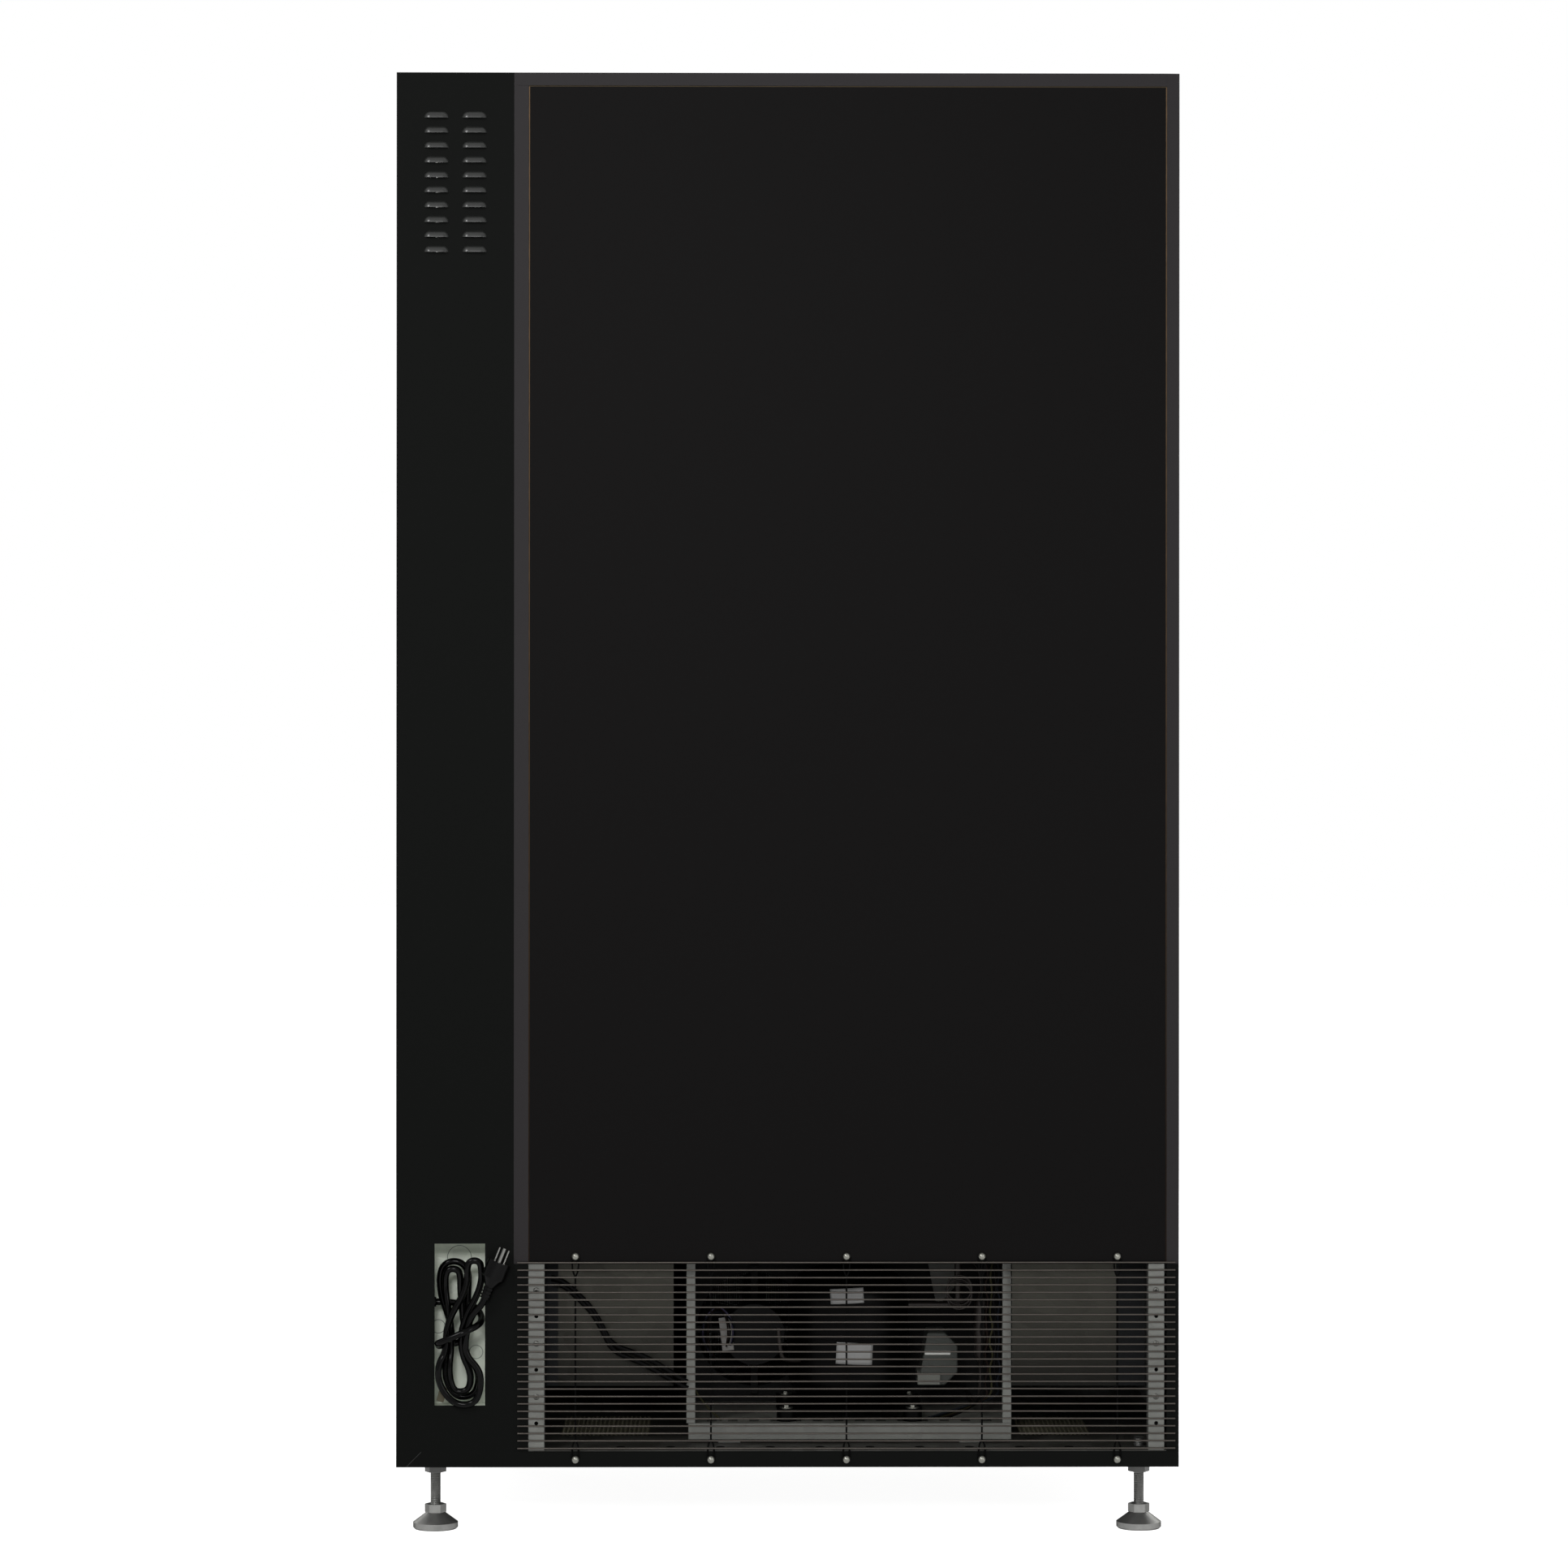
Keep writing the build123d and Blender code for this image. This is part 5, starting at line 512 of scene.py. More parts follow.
# Cord recess. A galvanised pocket with round knockouts pressed half through, seen behind the cord.
# A blank folded card lies at its foot.
def galvanised_sheet(name, code, roughness, spangle, metallic, shade_fade=None):
    """Hot-dip galvanised steel, whose crystals differ a little, darkened towards the floor by painted shade
    where a fade is given.
    """
    material = surface(name, code, roughness, metallic=metallic)
    nodes, links = material.node_tree.nodes, material.node_tree.links
    shader = nodes["Principled BSDF"]
    colour = paint(code)
    place = nodes.new("ShaderNodeTexCoord")
    crystal = nodes.new("ShaderNodeTexVoronoi")
    crystal.inputs["Scale"].default_value = spangle
    links.new(place.outputs["Object"], crystal.inputs["Vector"])
    shade = nodes.new("ShaderNodeSeparateColor")
    links.new(crystal.outputs["Color"], shade.inputs["Color"])
    stain = nodes.new("ShaderNodeTexNoise")
    stain.inputs["Scale"].default_value = 7.0
    stain.inputs["Detail"].default_value = 6
    links.new(place.outputs["Object"], stain.inputs["Vector"])
    both = nodes.new("ShaderNodeMath")
    both.operation = "MULTIPLY_ADD"
    both.inputs[1].default_value = 0.35
    links.new(shade.outputs["Red"], both.inputs[0])
    links.new(stain.outputs["Fac"], both.inputs[2])
    tint = nodes.new("ShaderNodeMix")
    tint.data_type = "RGBA"
    tint.inputs["A"].default_value = (*[c * 0.72 for c in colour], 1)
    tint.inputs["B"].default_value = (*[min(1, c * 1.18) for c in colour], 1)
    links.new(both.outputs["Value"], tint.inputs["Factor"])
    links.new(tint.outputs["Result"], shader.inputs["Base Color"])
    # Painted shade: the colour is darkened towards the foot of the sheet.
    if shade_fade:
        shader.inputs["Specular IOR Level"].default_value = 0.1
        height = nodes.new("ShaderNodeSeparateXYZ")
        links.new(place.outputs["Object"], height.inputs["Vector"])
        light_share = nodes.new("ShaderNodeMapRange")
        for socket, value in zip(("From Min", "From Max", "To Min", "To Max"), shade_fade):
            light_share.inputs[socket].default_value = value
        links.new(height.outputs["Z"], light_share.inputs["Value"])
        shade_darkened = nodes.new("ShaderNodeVectorMath")
        shade_darkened.operation = "SCALE"
        links.new(tint.outputs["Result"], shade_darkened.inputs["Vector"])
        links.new(light_share.outputs["Result"], shade_darkened.inputs["Scale"])
        links.new(shade_darkened.outputs["Vector"], shader.inputs["Base Color"])
    gloss = nodes.new("ShaderNodeMapRange")
    gloss.inputs["To Min"].default_value = roughness * 0.8
    gloss.inputs["To Max"].default_value = roughness * 1.25
    links.new(shade.outputs["Green"], gloss.inputs["Value"])
    links.new(gloss.outputs["Result"], shader.inputs["Roughness"])
    return material


def slab(shape, x, y, z):
    """Add a box from its ranges along X, Y and Z."""
    corners = [shape.verts.new((a, b, c)) for a in x for b in y for c in z]
    for face in ((0, 1, 3, 2), (4, 6, 7, 5), (0, 4, 5, 1), (2, 3, 7, 6), (0, 2, 6, 4), (1, 5, 7, 3)):
        shape.faces.new([corners[i] for i in face])


def circle(radius, sides, start=0.0):
    """The points of a circle, counted round from its start."""
    angles = [start + 2 * math.pi * k / sides for k in range(sides)]
    return [(radius * math.cos(angle), radius * math.sin(angle)) for angle in angles]


recess_sheet = galvanised_sheet("recess_sheet", "e2e8dc", 0.55, 60.0, 0.0)
dressed("cord_recess", "cabinet", "galvanised", recess_sheet, 0.0008)
RECESS_SHEET = 0.0015
recess_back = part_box("cord_recess")[0].y + RECESS_SHEET
KNOCKOUTS = ((0.4398, 0.3604, 0.016), (0.4680, 0.2679, 0.009), (0.4175, 0.2336, 0.009))
GROOVE = 0.0005
GROOVE_SIDES = 48
knockouts = bmesh.new()
for x, z, radius in KNOCKOUTS:
    rings = []
    for reach, proud in ((radius + GROOVE, 0.0001), (radius, 0.0003), (radius - GROOVE, 0.0001)):
        rings.append([knockouts.verts.new((x + across, recess_back + proud, z + rise))
                      for across, rise in circle(reach, GROOVE_SIDES)])
    bands(knockouts, rings)
# Each knockout's pressed edge is a thin ring painted darker than the sheet: painted shade along the edge.
new_piece("knockouts", knockouts, "cabinet", "galvanised", surface("knockout_edge_shade", "8d958a", 0.5))
CARD_TILT = -0.3
card_x, card_z = CUTOUT_CENTRE_X + 0.0275, CUTOUT_BOTTOM + 0.007
card = bmesh.new()
slab(card, (card_x - 0.005, card_x + 0.005), (recess_back + 0.001, recess_back + 0.0022),
     (card_z - 0.010, card_z + 0.010))
bmesh.ops.rotate(card, cent=(card_x, 0, card_z), matrix=Matrix.Rotation(CARD_TILT, 3, "Y"), verts=card.verts)
new_piece("recess_card", card, "cabinet", "grey_plastic", surface("pale_card", "8f8672", 0.6), 0.0003)

# Base frame. Four black rails under the cabinet, with welded bosses for the feet.
# The rear rail is mitred under the column, which shows as a thin slanted seam.
base_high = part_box("base_frame")[1]
RAIL_HEIGHT = 0.021
rail_bottom = base_high.z - RAIL_HEIGHT
nut_steel = surface("nut_steel", "4a4a49", 0.4, metallic=0.8)
dressed("base_frame", "cabinet", "matt_black_coat", matt_black, 0.0012, 2,
        [(nut_steel, lambda spot: spot.z < rail_bottom - 0.0002)])
seam_black = surface("seam_edge", "232322", 0.5, specular=0.2)
MITRE_START = base_high.x - 0.013
MITRE_RUN = 0.021
seam = bmesh.new()
slab(seam, (MITRE_START - 0.0004, MITRE_START + 0.0004), (base_high.y - 0.0005, base_high.y + 0.0001),
     (rail_bottom + 0.0008, base_high.z - 0.0008))
for vertex in seam.verts:
    vertex.co.x -= MITRE_RUN * (vertex.co.z - rail_bottom) / RAIL_HEIGHT
new_piece("mitre_seam", seam, "cabinet", "matt_black_coat", seam_black)

# Levelling feet. Zinc-plated steel: a turned cone on a flat pad, a hexagon to turn it by, and a stem.
# The threaded stem screws up into the base frame and is held by a lock nut under the rail.
foot_zinc = surface("foot_zinc", "7a7a78", 0.4, metallic=0.85, drift=0.25, drift_size=90.0, grain=0.1)
foot_zinc.node_tree.nodes["Principled BSDF"].inputs["Specular Tint"].default_value = (0.15, 0.15, 0.15, 1)
STEM_RADIUS = 0.007
THREAD_PITCH = 0.002
THREAD_DEPTH = 0.0007
THREAD_SIDES = 20
CONE_TOP = 0.05
STEM_FOOT = 0.0325
FEET = 4


def threaded_stem(shape, centre, low, high):
    """A coarse thread: rings of crest and root that climb one pitch in each turn."""
    rows = int(2 * (high - low) / THREAD_PITCH) - 2
    rings = []
    for row in range(rows + 1):
        spots = circle(STEM_RADIUS - (THREAD_DEPTH if row % 2 else 0), THREAD_SIDES)
        climb = [low + THREAD_PITCH * (row / 2 + k / THREAD_SIDES) for k in range(THREAD_SIDES)]
        rings.append([shape.verts.new((centre.x + x, centre.y + y, z)) for (x, y), z in zip(spots, climb)])
    bands(shape, rings, closed=False)
    for here, above, one_turn_on, above_that in zip(rings, rings[1:], rings[2:], rings[3:]):
        shape.faces.new((here[-1], one_turn_on[0], above_that[0], above[-1]))
    bmesh.ops.holes_fill(shape, edges=shape.edges, sides=4 * THREAD_SIDES)


for number in range(1, FEET + 1):
    node = f"foot_{number}"
    low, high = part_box(node)
    foot = merged_copy(node, node + "_cone")
    shape = bmesh.new()
    shape.from_mesh(foot.data)
    stem = [corner for corner in shape.verts if corner.co.z > CONE_TOP]
    bmesh.ops.delete(shape, geom=stem, context="VERTS")
    bmesh.ops.holes_fill(shape, edges=shape.edges, sides=200)
    threaded_stem(shape, (low + high) / 2, STEM_FOOT, high.z)
    bmesh.ops.recalc_face_normals(shape, faces=shape.faces)
    shape.to_mesh(foot.data)
    shape.free()
    finished(round_edges(coated(foot, foot_zinc), 0.0005), node, "foot_zinc", node)

# Cooling bay. Galvanised floor, punched uprights and baffles, with a cassette frame for the cooling deck.
# Screws hold the uprights, and two perforated vents are pressed into the floor.
bay_low, bay_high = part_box("machine_bay_frame")
deck_low, deck_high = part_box("cooling_deck")
# Painted shade darkens this galvanised towards the floor, from 0.35 m down to 0.19 m.
dull_galvanised = galvanised_sheet("dull_galvanised", "41403a", 0.5, 30.0, 0.3, shade_fade=(0.19, 0.35, 0.1, 0.9))
pale_galvanised = galvanised_sheet("pale_galvanised", "62635f", 0.45, 55.0, 0.3)
# The bay floor's faces are a much darker galvanised than the uprights and the deck.
bay_floor_sheet = galvanised_sheet("bay_floor_sheet", "2b2a26", 0.55, 40.0, 0.3)
# The deck's faces other than its rear edge are a slightly darker, browner galvanised than that edge.
deck_sheet = galvanised_sheet("deck_sheet", "5c5c57", 0.5, 40.0, 0.3)
rear_face = bay_high.y
floor_top = bay_low.z + 0.002
dressed("machine_bay_frame", "cabinet", "galvanised", dull_galvanised, 0.0003, 2,
        [(pale_galvanised, lambda spot: spot.y > rear_face - 0.020 and spot.z > floor_top),
         (bay_floor_sheet, lambda spot: spot.z < floor_top)])
dressed("cooling_deck", "cabinet", "galvanised", pale_galvanised, 0.0008, 2,
        [(deck_sheet, lambda spot: spot.y < deck_high.y - 0.002)])


def dome(radius, height, sides, rows):
    """A domed screw head that faces +Y, with a flat seat."""
    shape = bmesh.new()
    crown = shape.verts.new((0, height, 0))
    rings = []
    for row in range(rows, 0, -1):
        angle = math.pi / 2 * row / rows
        rings.append([shape.verts.new((x, height * math.cos(angle), z))
                      for x, z in circle(radius * math.sin(angle), sides)])
    shape.faces.new(rings[0])
    bands(shape, rings)
    for k in range(sides):
        shape.faces.new((rings[-1][k], rings[-1][(k + 1) % sides], crown))
    return shape


zinc_bright = surface("bright_zinc", "6f6f69", 0.3, metallic=0.95, drift=0.15, drift_size=200.0)
screw_zinc = surface("screw_zinc", "4c4c49", 0.35, metallic=0.8)
slot_black = surface("slot_shadow", "0b0b0a", 0.9, specular=0.05)
UPRIGHT_LEFT_X, UPRIGHT_RIGHT_X = 0.334, -0.4895
UPRIGHT_HOLES = 6
FLOOR_SHEET = 0.0015
CROSS_REACH, CROSS_HALF = 0.0017, 0.0004
hole_pitch = (bay_high.z - bay_low.z - FLOOR_SHEET) / (UPRIGHT_HOLES + 1)
screw_cross = bmesh.new()
slab(screw_cross, (-CROSS_REACH, CROSS_REACH), (0, 0.0001), (-CROSS_HALF, CROSS_HALF))
slab(screw_cross, (-CROSS_HALF, CROSS_HALF), (0, 0.0001), (-CROSS_REACH, CROSS_REACH))
for name, unit, seat_y, finish in (
        ("upright_screws", dome(0.0042, 0.0012, 12, 3), rear_face - 0.0001, screw_zinc),
        ("upright_screw_crosses", screw_cross, rear_face + 0.0011, slot_black)):
    heads = ranks(name, unit, (2, 1, 3), (UPRIGHT_LEFT_X - UPRIGHT_RIGHT_X, 0, 2 * hole_pitch),
                  (UPRIGHT_RIGHT_X, seat_y, bay_low.z + FLOOR_SHEET + 2 * hole_pitch), finish)
    finished(heads, "cabinet", "zinc_plate")

BAFFLE_SHEET = 0.0015
BAFFLE_RETURNS = ((0.307, 0.3235), (-0.4795, -0.441))
baffle_y, baffle_bottom = 0.3701, 0.189
# The baffles' returns are galvanised sheet painted near-black: painted shadow beside the uprights.
returns_painted_shade = surface("returns_painted_shade", "191a1b", 0.6, specular=0.05, drift=0.3)
returns = bmesh.new()
for x in BAFFLE_RETURNS:
    slab(returns, x, (baffle_y - BAFFLE_SHEET, baffle_y + 0.0006), (baffle_bottom, bay_high.z))
new_piece("baffle_returns", returns, "cabinet", "galvanised", returns_painted_shade)

CASSETTE_WIDTH = 0.012
CASSETTE_OVERHANG = 0.0025
cassette = bmesh.new()
for left in (deck_high.x - CASSETTE_WIDTH + CASSETTE_OVERHANG, deck_low.x):
    slab(cassette, (left, left + CASSETTE_WIDTH), (deck_high.y - 0.016, deck_high.y - 0.0005),
         (deck_high.z, bay_high.z))
new_piece("cassette_uprights", cassette, "cabinet", "galvanised", pale_galvanised, 0.0006)

DECK_SLOTS, DECK_SLOT_ROWS = 14, 2
DECK_SLOT_PITCH, DECK_ROW_PITCH = 0.0285, 0.012
LEDGE_SLOTS = 10
LEDGE_SLOT_PITCH = 0.0665
hole = bmesh.new()
slab(hole, (-0.0065, 0.0065), (-0.0025, 0.0025), (-0.0001, 0.0003))
deck_slots = ranks("deck_slots", hole, (DECK_SLOTS, DECK_SLOT_ROWS, 1), (DECK_SLOT_PITCH, DECK_ROW_PITCH, 0),
                   (deck_low.x + 0.032, deck_high.y - 0.034, deck_high.z), slot_black)
finished(deck_slots, "cabinet", "galvanised")
ledge_hole = bmesh.new()
rod(ledge_hole, Matrix.Diagonal((1, 1.3, 1, 1)), 0.006, 0.0003, 16)
ledge_slots = ranks("ledge_slots", ledge_hole, (LEDGE_SLOTS, 1, 1), (LEDGE_SLOT_PITCH, 0, 0),
                    (-0.376, rear_face - 0.028, bay_low.z + 0.0016), slot_black)
finished(ledge_slots, "cabinet", "galvanised")

VENT_PITCH = 0.006
VENT_ROWS = 30
VENT_Y = 0.11
VENT_Z = 0.1105
VENT_HOLE = VENT_PITCH * 0.33
VENTS = (("vent_service_side", 0.190, 20), ("vent_far_side", -0.410, 16))
vent = bmesh.new()
half = VENT_PITCH / 2
edge = ((-half, -half), (0, -half), (half, -half), (half, 0),
        (half, half), (0, half), (-half, half), (-half, 0))
hole_edge = circle(VENT_HOLE, 8, math.radians(225))
bands(vent, [[vent.verts.new((x, y, z)) for x, y in spots]
             for spots, z in ((edge, 0.0008), (hole_edge, 0.0008), (hole_edge, 0.0001))])
vent_sheet = surface("vent_sheet", "5a5747", 0.5, metallic=0.4)
for vent_name, left, across in VENTS:
    sheet = ranks(vent_name, vent.copy(), (across, VENT_ROWS, 1), (VENT_PITCH, VENT_PITCH, 0),
                  (left, VENT_Y, VENT_Z), vent_sheet)
    finished(sheet, "cabinet", "galvanised")
    under = bmesh.new()
    slab(under, (left - half, left + across * VENT_PITCH - half),
         (VENT_Y - half, VENT_Y - half + VENT_ROWS * VENT_PITCH), (VENT_Z, VENT_Z + 0.00005))
    new_piece(vent_name + "_dark", under, "cabinet", "galvanised", slot_black)
vent.free()

# Grille. Twenty-six zinc-plated wires, a little bowed by handling, welded to five upright stays.
# The stays' ends are bent into eyelets, and a domed screw holds each one.
GRILLE_WIRE = 0.0024
GRILLE_PITCH = 0.00986
GRILLE_WIRES = 26
GRILLE_BOW = 0.0016
GRILLE_STEPS = 60
BOW_SCALE = (2.2, 0, 37)
grille_low, grille_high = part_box("rear_grille")
wire_y = grille_high.y - GRILLE_WIRE / 2
tree = bpy.data.node_groups.new("grille_wires", "GeometryNodeTree")
values = named_inputs(tree, (("Wires", GRILLE_WIRES), ("Pitch", GRILLE_PITCH),
                             ("Wire radius", GRILLE_WIRE / 2), ("Bow", GRILLE_BOW), ("Seed", 4.0)))
tree.interface.new_socket("Grille", in_out="OUTPUT", socket_type="NodeSocketGeometry")
make = tree.nodes.new
entry, leave = make("NodeGroupInput"), make("NodeGroupOutput")
wire_line = make("GeometryNodeCurvePrimitiveLine")
wire_z = (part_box("machine_bay_frame")[0].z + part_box("rear_panel")[0].z) / 2 + GRILLE_PITCH / 3
wire_line.inputs["Start"].default_value = (grille_low.x + GRILLE_WIRE / 2, 0, 0)
wire_line.inputs["End"].default_value = (grille_high.x - GRILLE_WIRE / 2, 0, 0)
even = make("GeometryNodeResampleCurve")
even.inputs["Count"].default_value = GRILLE_STEPS
rise = make("ShaderNodeCombineXYZ")
rows = make("GeometryNodeMeshLine")
rows.inputs["Start Location"].default_value = (0, wire_y, wire_z - (GRILLE_WIRES - 1) / 2 * GRILLE_PITCH)
placed, real = make("GeometryNodeInstanceOnPoints"), make("GeometryNodeRealizeInstances")
where, stretch = make("GeometryNodeInputPosition"), make("ShaderNodeVectorMath")
noise = make("ShaderNodeTexNoise")
stretch.operation = "MULTIPLY"
stretch.inputs[1].default_value = BOW_SCALE
noise.noise_dimensions = "4D"
noise.inputs["Scale"].default_value = 1.0
centred, bowed, shift = make("ShaderNodeMath"), make("ShaderNodeMath"), make("ShaderNodeCombineXYZ")
centred.operation, bowed.operation = "SUBTRACT", "MULTIPLY"
centred.inputs[1].default_value = 0.5
moved, ring, tubed, coat = (make("GeometryNodeSetPosition"), make("GeometryNodeCurvePrimitiveCircle"),
                            make("GeometryNodeCurveToMesh"), make("GeometryNodeSetMaterial"))
ring.inputs["Resolution"].default_value = 10
tubed.inputs["Fill Caps"].default_value = True
grille_zinc = surface("grille_zinc", "3b3733", 0.4, metallic=0.8, drift=0.3, drift_size=25.0)
coat.inputs["Material"].default_value = grille_zinc
for source, given, taker, taken in (
        (wire_line, "Curve", even, "Curve"), (entry, "Pitch", rise, "Z"), (entry, "Wires", rows, "Count"),
        (rise, "Vector", rows, "Offset"), (rows, "Mesh", placed, "Points"),
        (even, "Curve", placed, "Instance"), (placed, "Instances", real, "Geometry"),
        (where, "Position", stretch, 0), (stretch, "Vector", noise, "Vector"), (entry, "Seed", noise, "W"),
        (noise, "Fac", centred, 0), (centred, "Value", bowed, 0),
        (entry, "Bow", bowed, 1), (bowed, "Value", shift, "Z"), (real, "Geometry", moved, "Geometry"),
        (shift, "Vector", moved, "Offset"), (entry, "Wire radius", ring, "Radius"),
        (moved, "Geometry", tubed, "Curve"), (ring, "Curve", tubed, "Profile Curve"),
        (tubed, "Mesh", coat, "Geometry"), (coat, "Geometry", leave, "Grille")):
    tree.links.new(source.outputs[given], taker.inputs[taken])
grille = grown(piece_of("grille_wires", bmesh.new()), tree, values)
shaded_smooth(grille.data)
finished(grille, "cabinet", "grille_zinc", "rear_grille")

STAY_PITCH = 0.180
STAYS = 5
EYELET_RADIUS = 0.005
SCREW_LEVELS = (0.0985, 0.368)


def wire_run(name, points, radius, slot, material, smooth=True):
    """A bent wire, pipe or lead of the cabinet through given points, kept as a plain mesh."""
    line = round_line(name, points, radius, 8, 3, smooth)
    bpy.context.view_layer.update()
    mesh = bpy.data.meshes.new_from_object(line.evaluated_get(bpy.context.evaluated_depsgraph_get()))
    bpy.data.objects.remove(line)
    return finished(coated(in_scene(name, shaded_smooth(mesh)), material), "cabinet", slot)


# The stays are zinc-plated wire like the grille's, painted near-black as painted shade where they lie behind
# the wires.
stay_painted_shade = surface("stay_wire", "060606", 0.6, specular=0.02)
stay_y = cabinet_back + GRILLE_WIRE / 2
stay_middle = (grille_low.x + grille_high.x) / 2
HAIRPIN = ((0.0, 0.027), (0.7, 0.021), (0.85, 0.010), (1.0, 0.0), (0.0, -0.0053))
low, high = SCREW_LEVELS
for index in range(STAYS):
    x = stay_middle + (index - (STAYS - 1) / 2) * STAY_PITCH
    points = [(x, stay_y, low + HAIRPIN[0][1]), (x, stay_y, high - HAIRPIN[0][1])]
    wire_run(f"stay_{index + 1}", points, GRILLE_WIRE / 2, "grille_zinc", stay_painted_shade, smooth=False)
    for level, end, inward in ((low, "low", 1), (high, "high", -1)):
        half_loop = [(EYELET_RADIUS * across, level + inward * along) for across, along in HAIRPIN]
        loop = [(x - across, stay_y, z) for across, z in half_loop]
        loop += [(x + across, stay_y, z) for across, z in reversed(half_loop[:-1])]
        wire_run(f"eyelet_{end}_{index + 1}", loop, GRILLE_WIRE / 2, "grille_zinc", stay_painted_shade)
dressed("grille_screws", "cabinet", "zinc_plate", zinc_bright, 0.0)

# Compressor. A welded pot in gloss black enamel on a pressed plate, bolted down through rubber grommets.
# Two blank white tags are stuck to it, and a crimped copper charging tube stands beside it.
enamel_black = surface("compressor_enamel", "020202", 0.35, specular=0.035, drift=0.2, drift_size=14.0,
                       grain=0.1)
tag_white = surface("blank_tag", "8b8b8a", 0.55, specular=0.1)
copper = surface("copper_tube", "15100d", 0.5, metallic=0.6, drift=0.25, drift_size=40.0)
compressor = dressed("compressor", "cabinet", "compressor_black", enamel_black, 0.0008)
dressed("compressor_mounts", "cabinet", "zinc_plate", zinc_bright, 0.0004)
pot_low, pot_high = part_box("compressor")
pot_x, pot_y = (pot_low.x + pot_high.x) / 2, (pot_low.y + pot_high.y) / 2


def wrapped_tag(name, x, z, onto, turn):
    """A thin blank tag laid over the curved wall that it is stuck to."""
    shape = bmesh.new()
    bmesh.ops.create_grid(shape, x_segments=14, y_segments=8, size=0.5)
    seat = Matrix.Translation((sum(x) / 2, pot_high.y + 0.06, sum(z) / 2)) @ Matrix.Rotation(turn, 4, "Y")
    seat @= Matrix.Rotation(-math.pi / 2, 4, "X") @ Matrix.Diagonal((x[1] - x[0], z[1] - z[0], 1, 1))
    bmesh.ops.transform(shape, matrix=seat, verts=shape.verts)
    piece = piece_of(name, shape)
    piece.data.materials.append(tag_white)
    wrap_on = piece.modifiers.new("laid_on", "SHRINKWRAP")
    wrap_on.target = onto
    wrap_on.wrap_method = "PROJECT"
    wrap_on.use_project_y = True
    wrap_on.use_negative_direction = True
    wrap_on.use_positive_direction = False
    wrap_on.offset = 0.0003
    thick = piece.modifiers.new("paper", "SOLIDIFY")
    thick.thickness = 0.0002
    return finished(settled(piece), "cabinet", "grey_plastic")


wrapped_tag("pot_tag_high", (-0.103, -0.058), (0.296, 0.316), compressor, 0.05)
wrapped_tag("pot_tag_low", (-0.115, -0.066), (0.214, 0.243), compressor, -0.05)
charge_tube = [(pot_x + 0.066, pot_y + 0.046, 0.215), (pot_x + 0.085, pot_y + 0.060, 0.216),
               (pot_x + 0.094, pot_y + 0.066, 0.226), (pot_x + 0.096, pot_y + 0.067, 0.262)]
wire_run("charging_tube", charge_tube, 0.003, "copper", copper)

# Terminal box. A grey moulded cover over the compressor's terminals, held by a flat spring clip across it.
# A relay in a squarer housing hangs below it. The cover's far end slants in towards the top.
cover_grey = surface("terminal_cover", "3e403d", 0.5, specular=0.12, grain=0.15)
spring_steel = surface("spring_clip", "a3a39f", 0.4, metallic=0.3)
terminal_low, terminal_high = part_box("terminal_box")
terminal_cover = dressed("terminal_box", "cabinet", "grey_plastic", cover_grey, 0.002)
TAPER_START, FOOT_TAPER, TOP_TAPER = 0.020, 0.018, 0.030
taper_x = terminal_low.x + TAPER_START
for corner in terminal_cover.data.vertices:
    along = max(0, (corner.co.x - taper_x) / (terminal_high.x - taper_x))
    rise = (corner.co.z - terminal_low.z) / (terminal_high.z - terminal_low.z)
    corner.co.x -= along * (FOOT_TAPER + rise * (TOP_TAPER - FOOT_TAPER))
relay_grey = surface("relay_grey", "666762", 0.5, specular=0.12)
relay = bmesh.new()
slab(relay, (terminal_low.x + 0.024, terminal_low.x + 0.055),
     (terminal_low.y + 0.012, terminal_high.y + 0.005), (terminal_low.z + 0.001, terminal_low.z + 0.017))
new_piece("terminal_relay", relay, "cabinet", "grey_plastic", relay_grey, 0.0012)
clip_level = terminal_low.z + 0.62 * (terminal_high.z - terminal_low.z)
clip = bmesh.new()
slab(clip, (terminal_low.x + 0.010, terminal_high.x - 0.027),
     (terminal_high.y - 0.0005, terminal_high.y + 0.0008), (clip_level - 0.003, clip_level + 0.003))
new_piece("terminal_clip", clip, "cabinet", "zinc_plate", spring_steel, 0.0006)

# Condenser, fan and pipes. Copper tube through close aluminium fins, a moulded shroud and a small open motor.
# Suction and discharge lines are brazed copper, with a filter drier and a coiled capillary beside the pot.
moulded_black = surface("moulded_black", "070707", 0.6, specular=0.1, grain=0.2)
fan_black = surface("fan_black", "060606", 0.5, specular=0.06)
fin_metal = surface("fin_aluminium", "a7a9aa", 0.35, metallic=0.95, drift=0.15, drift_size=20.0)
dressed("fan_housing", "cabinet", "shroud_black", moulded_black, 0.001)
dressed("condenser_fan", "condenser_fan", "fan_plastic", fan_black, 0.0004)
dressed("refrigerant_pipes", "cabinet", "copper", copper, 0.0)
coil_low, coil_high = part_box("condenser")
fin = bmesh.new()
slab(fin, (-0.00008, 0.00008), (0, coil_high.y - coil_low.y), (0.002, coil_high.z - coil_low.z - 0.002))
FIN_PITCH = 0.0026
fins = int((coil_high.x - coil_low.x - 0.012) / FIN_PITCH)
condenser_fins = ranks("condenser_fins", fin, (fins, 1, 1), (FIN_PITCH, 0, 0),
                       (coil_low.x + 0.0085, coil_low.y, coil_low.z), fin_metal)
coil_shape = bmesh.new()
TUBE_ROWS = 8
TUBE_RADIUS = 0.0048
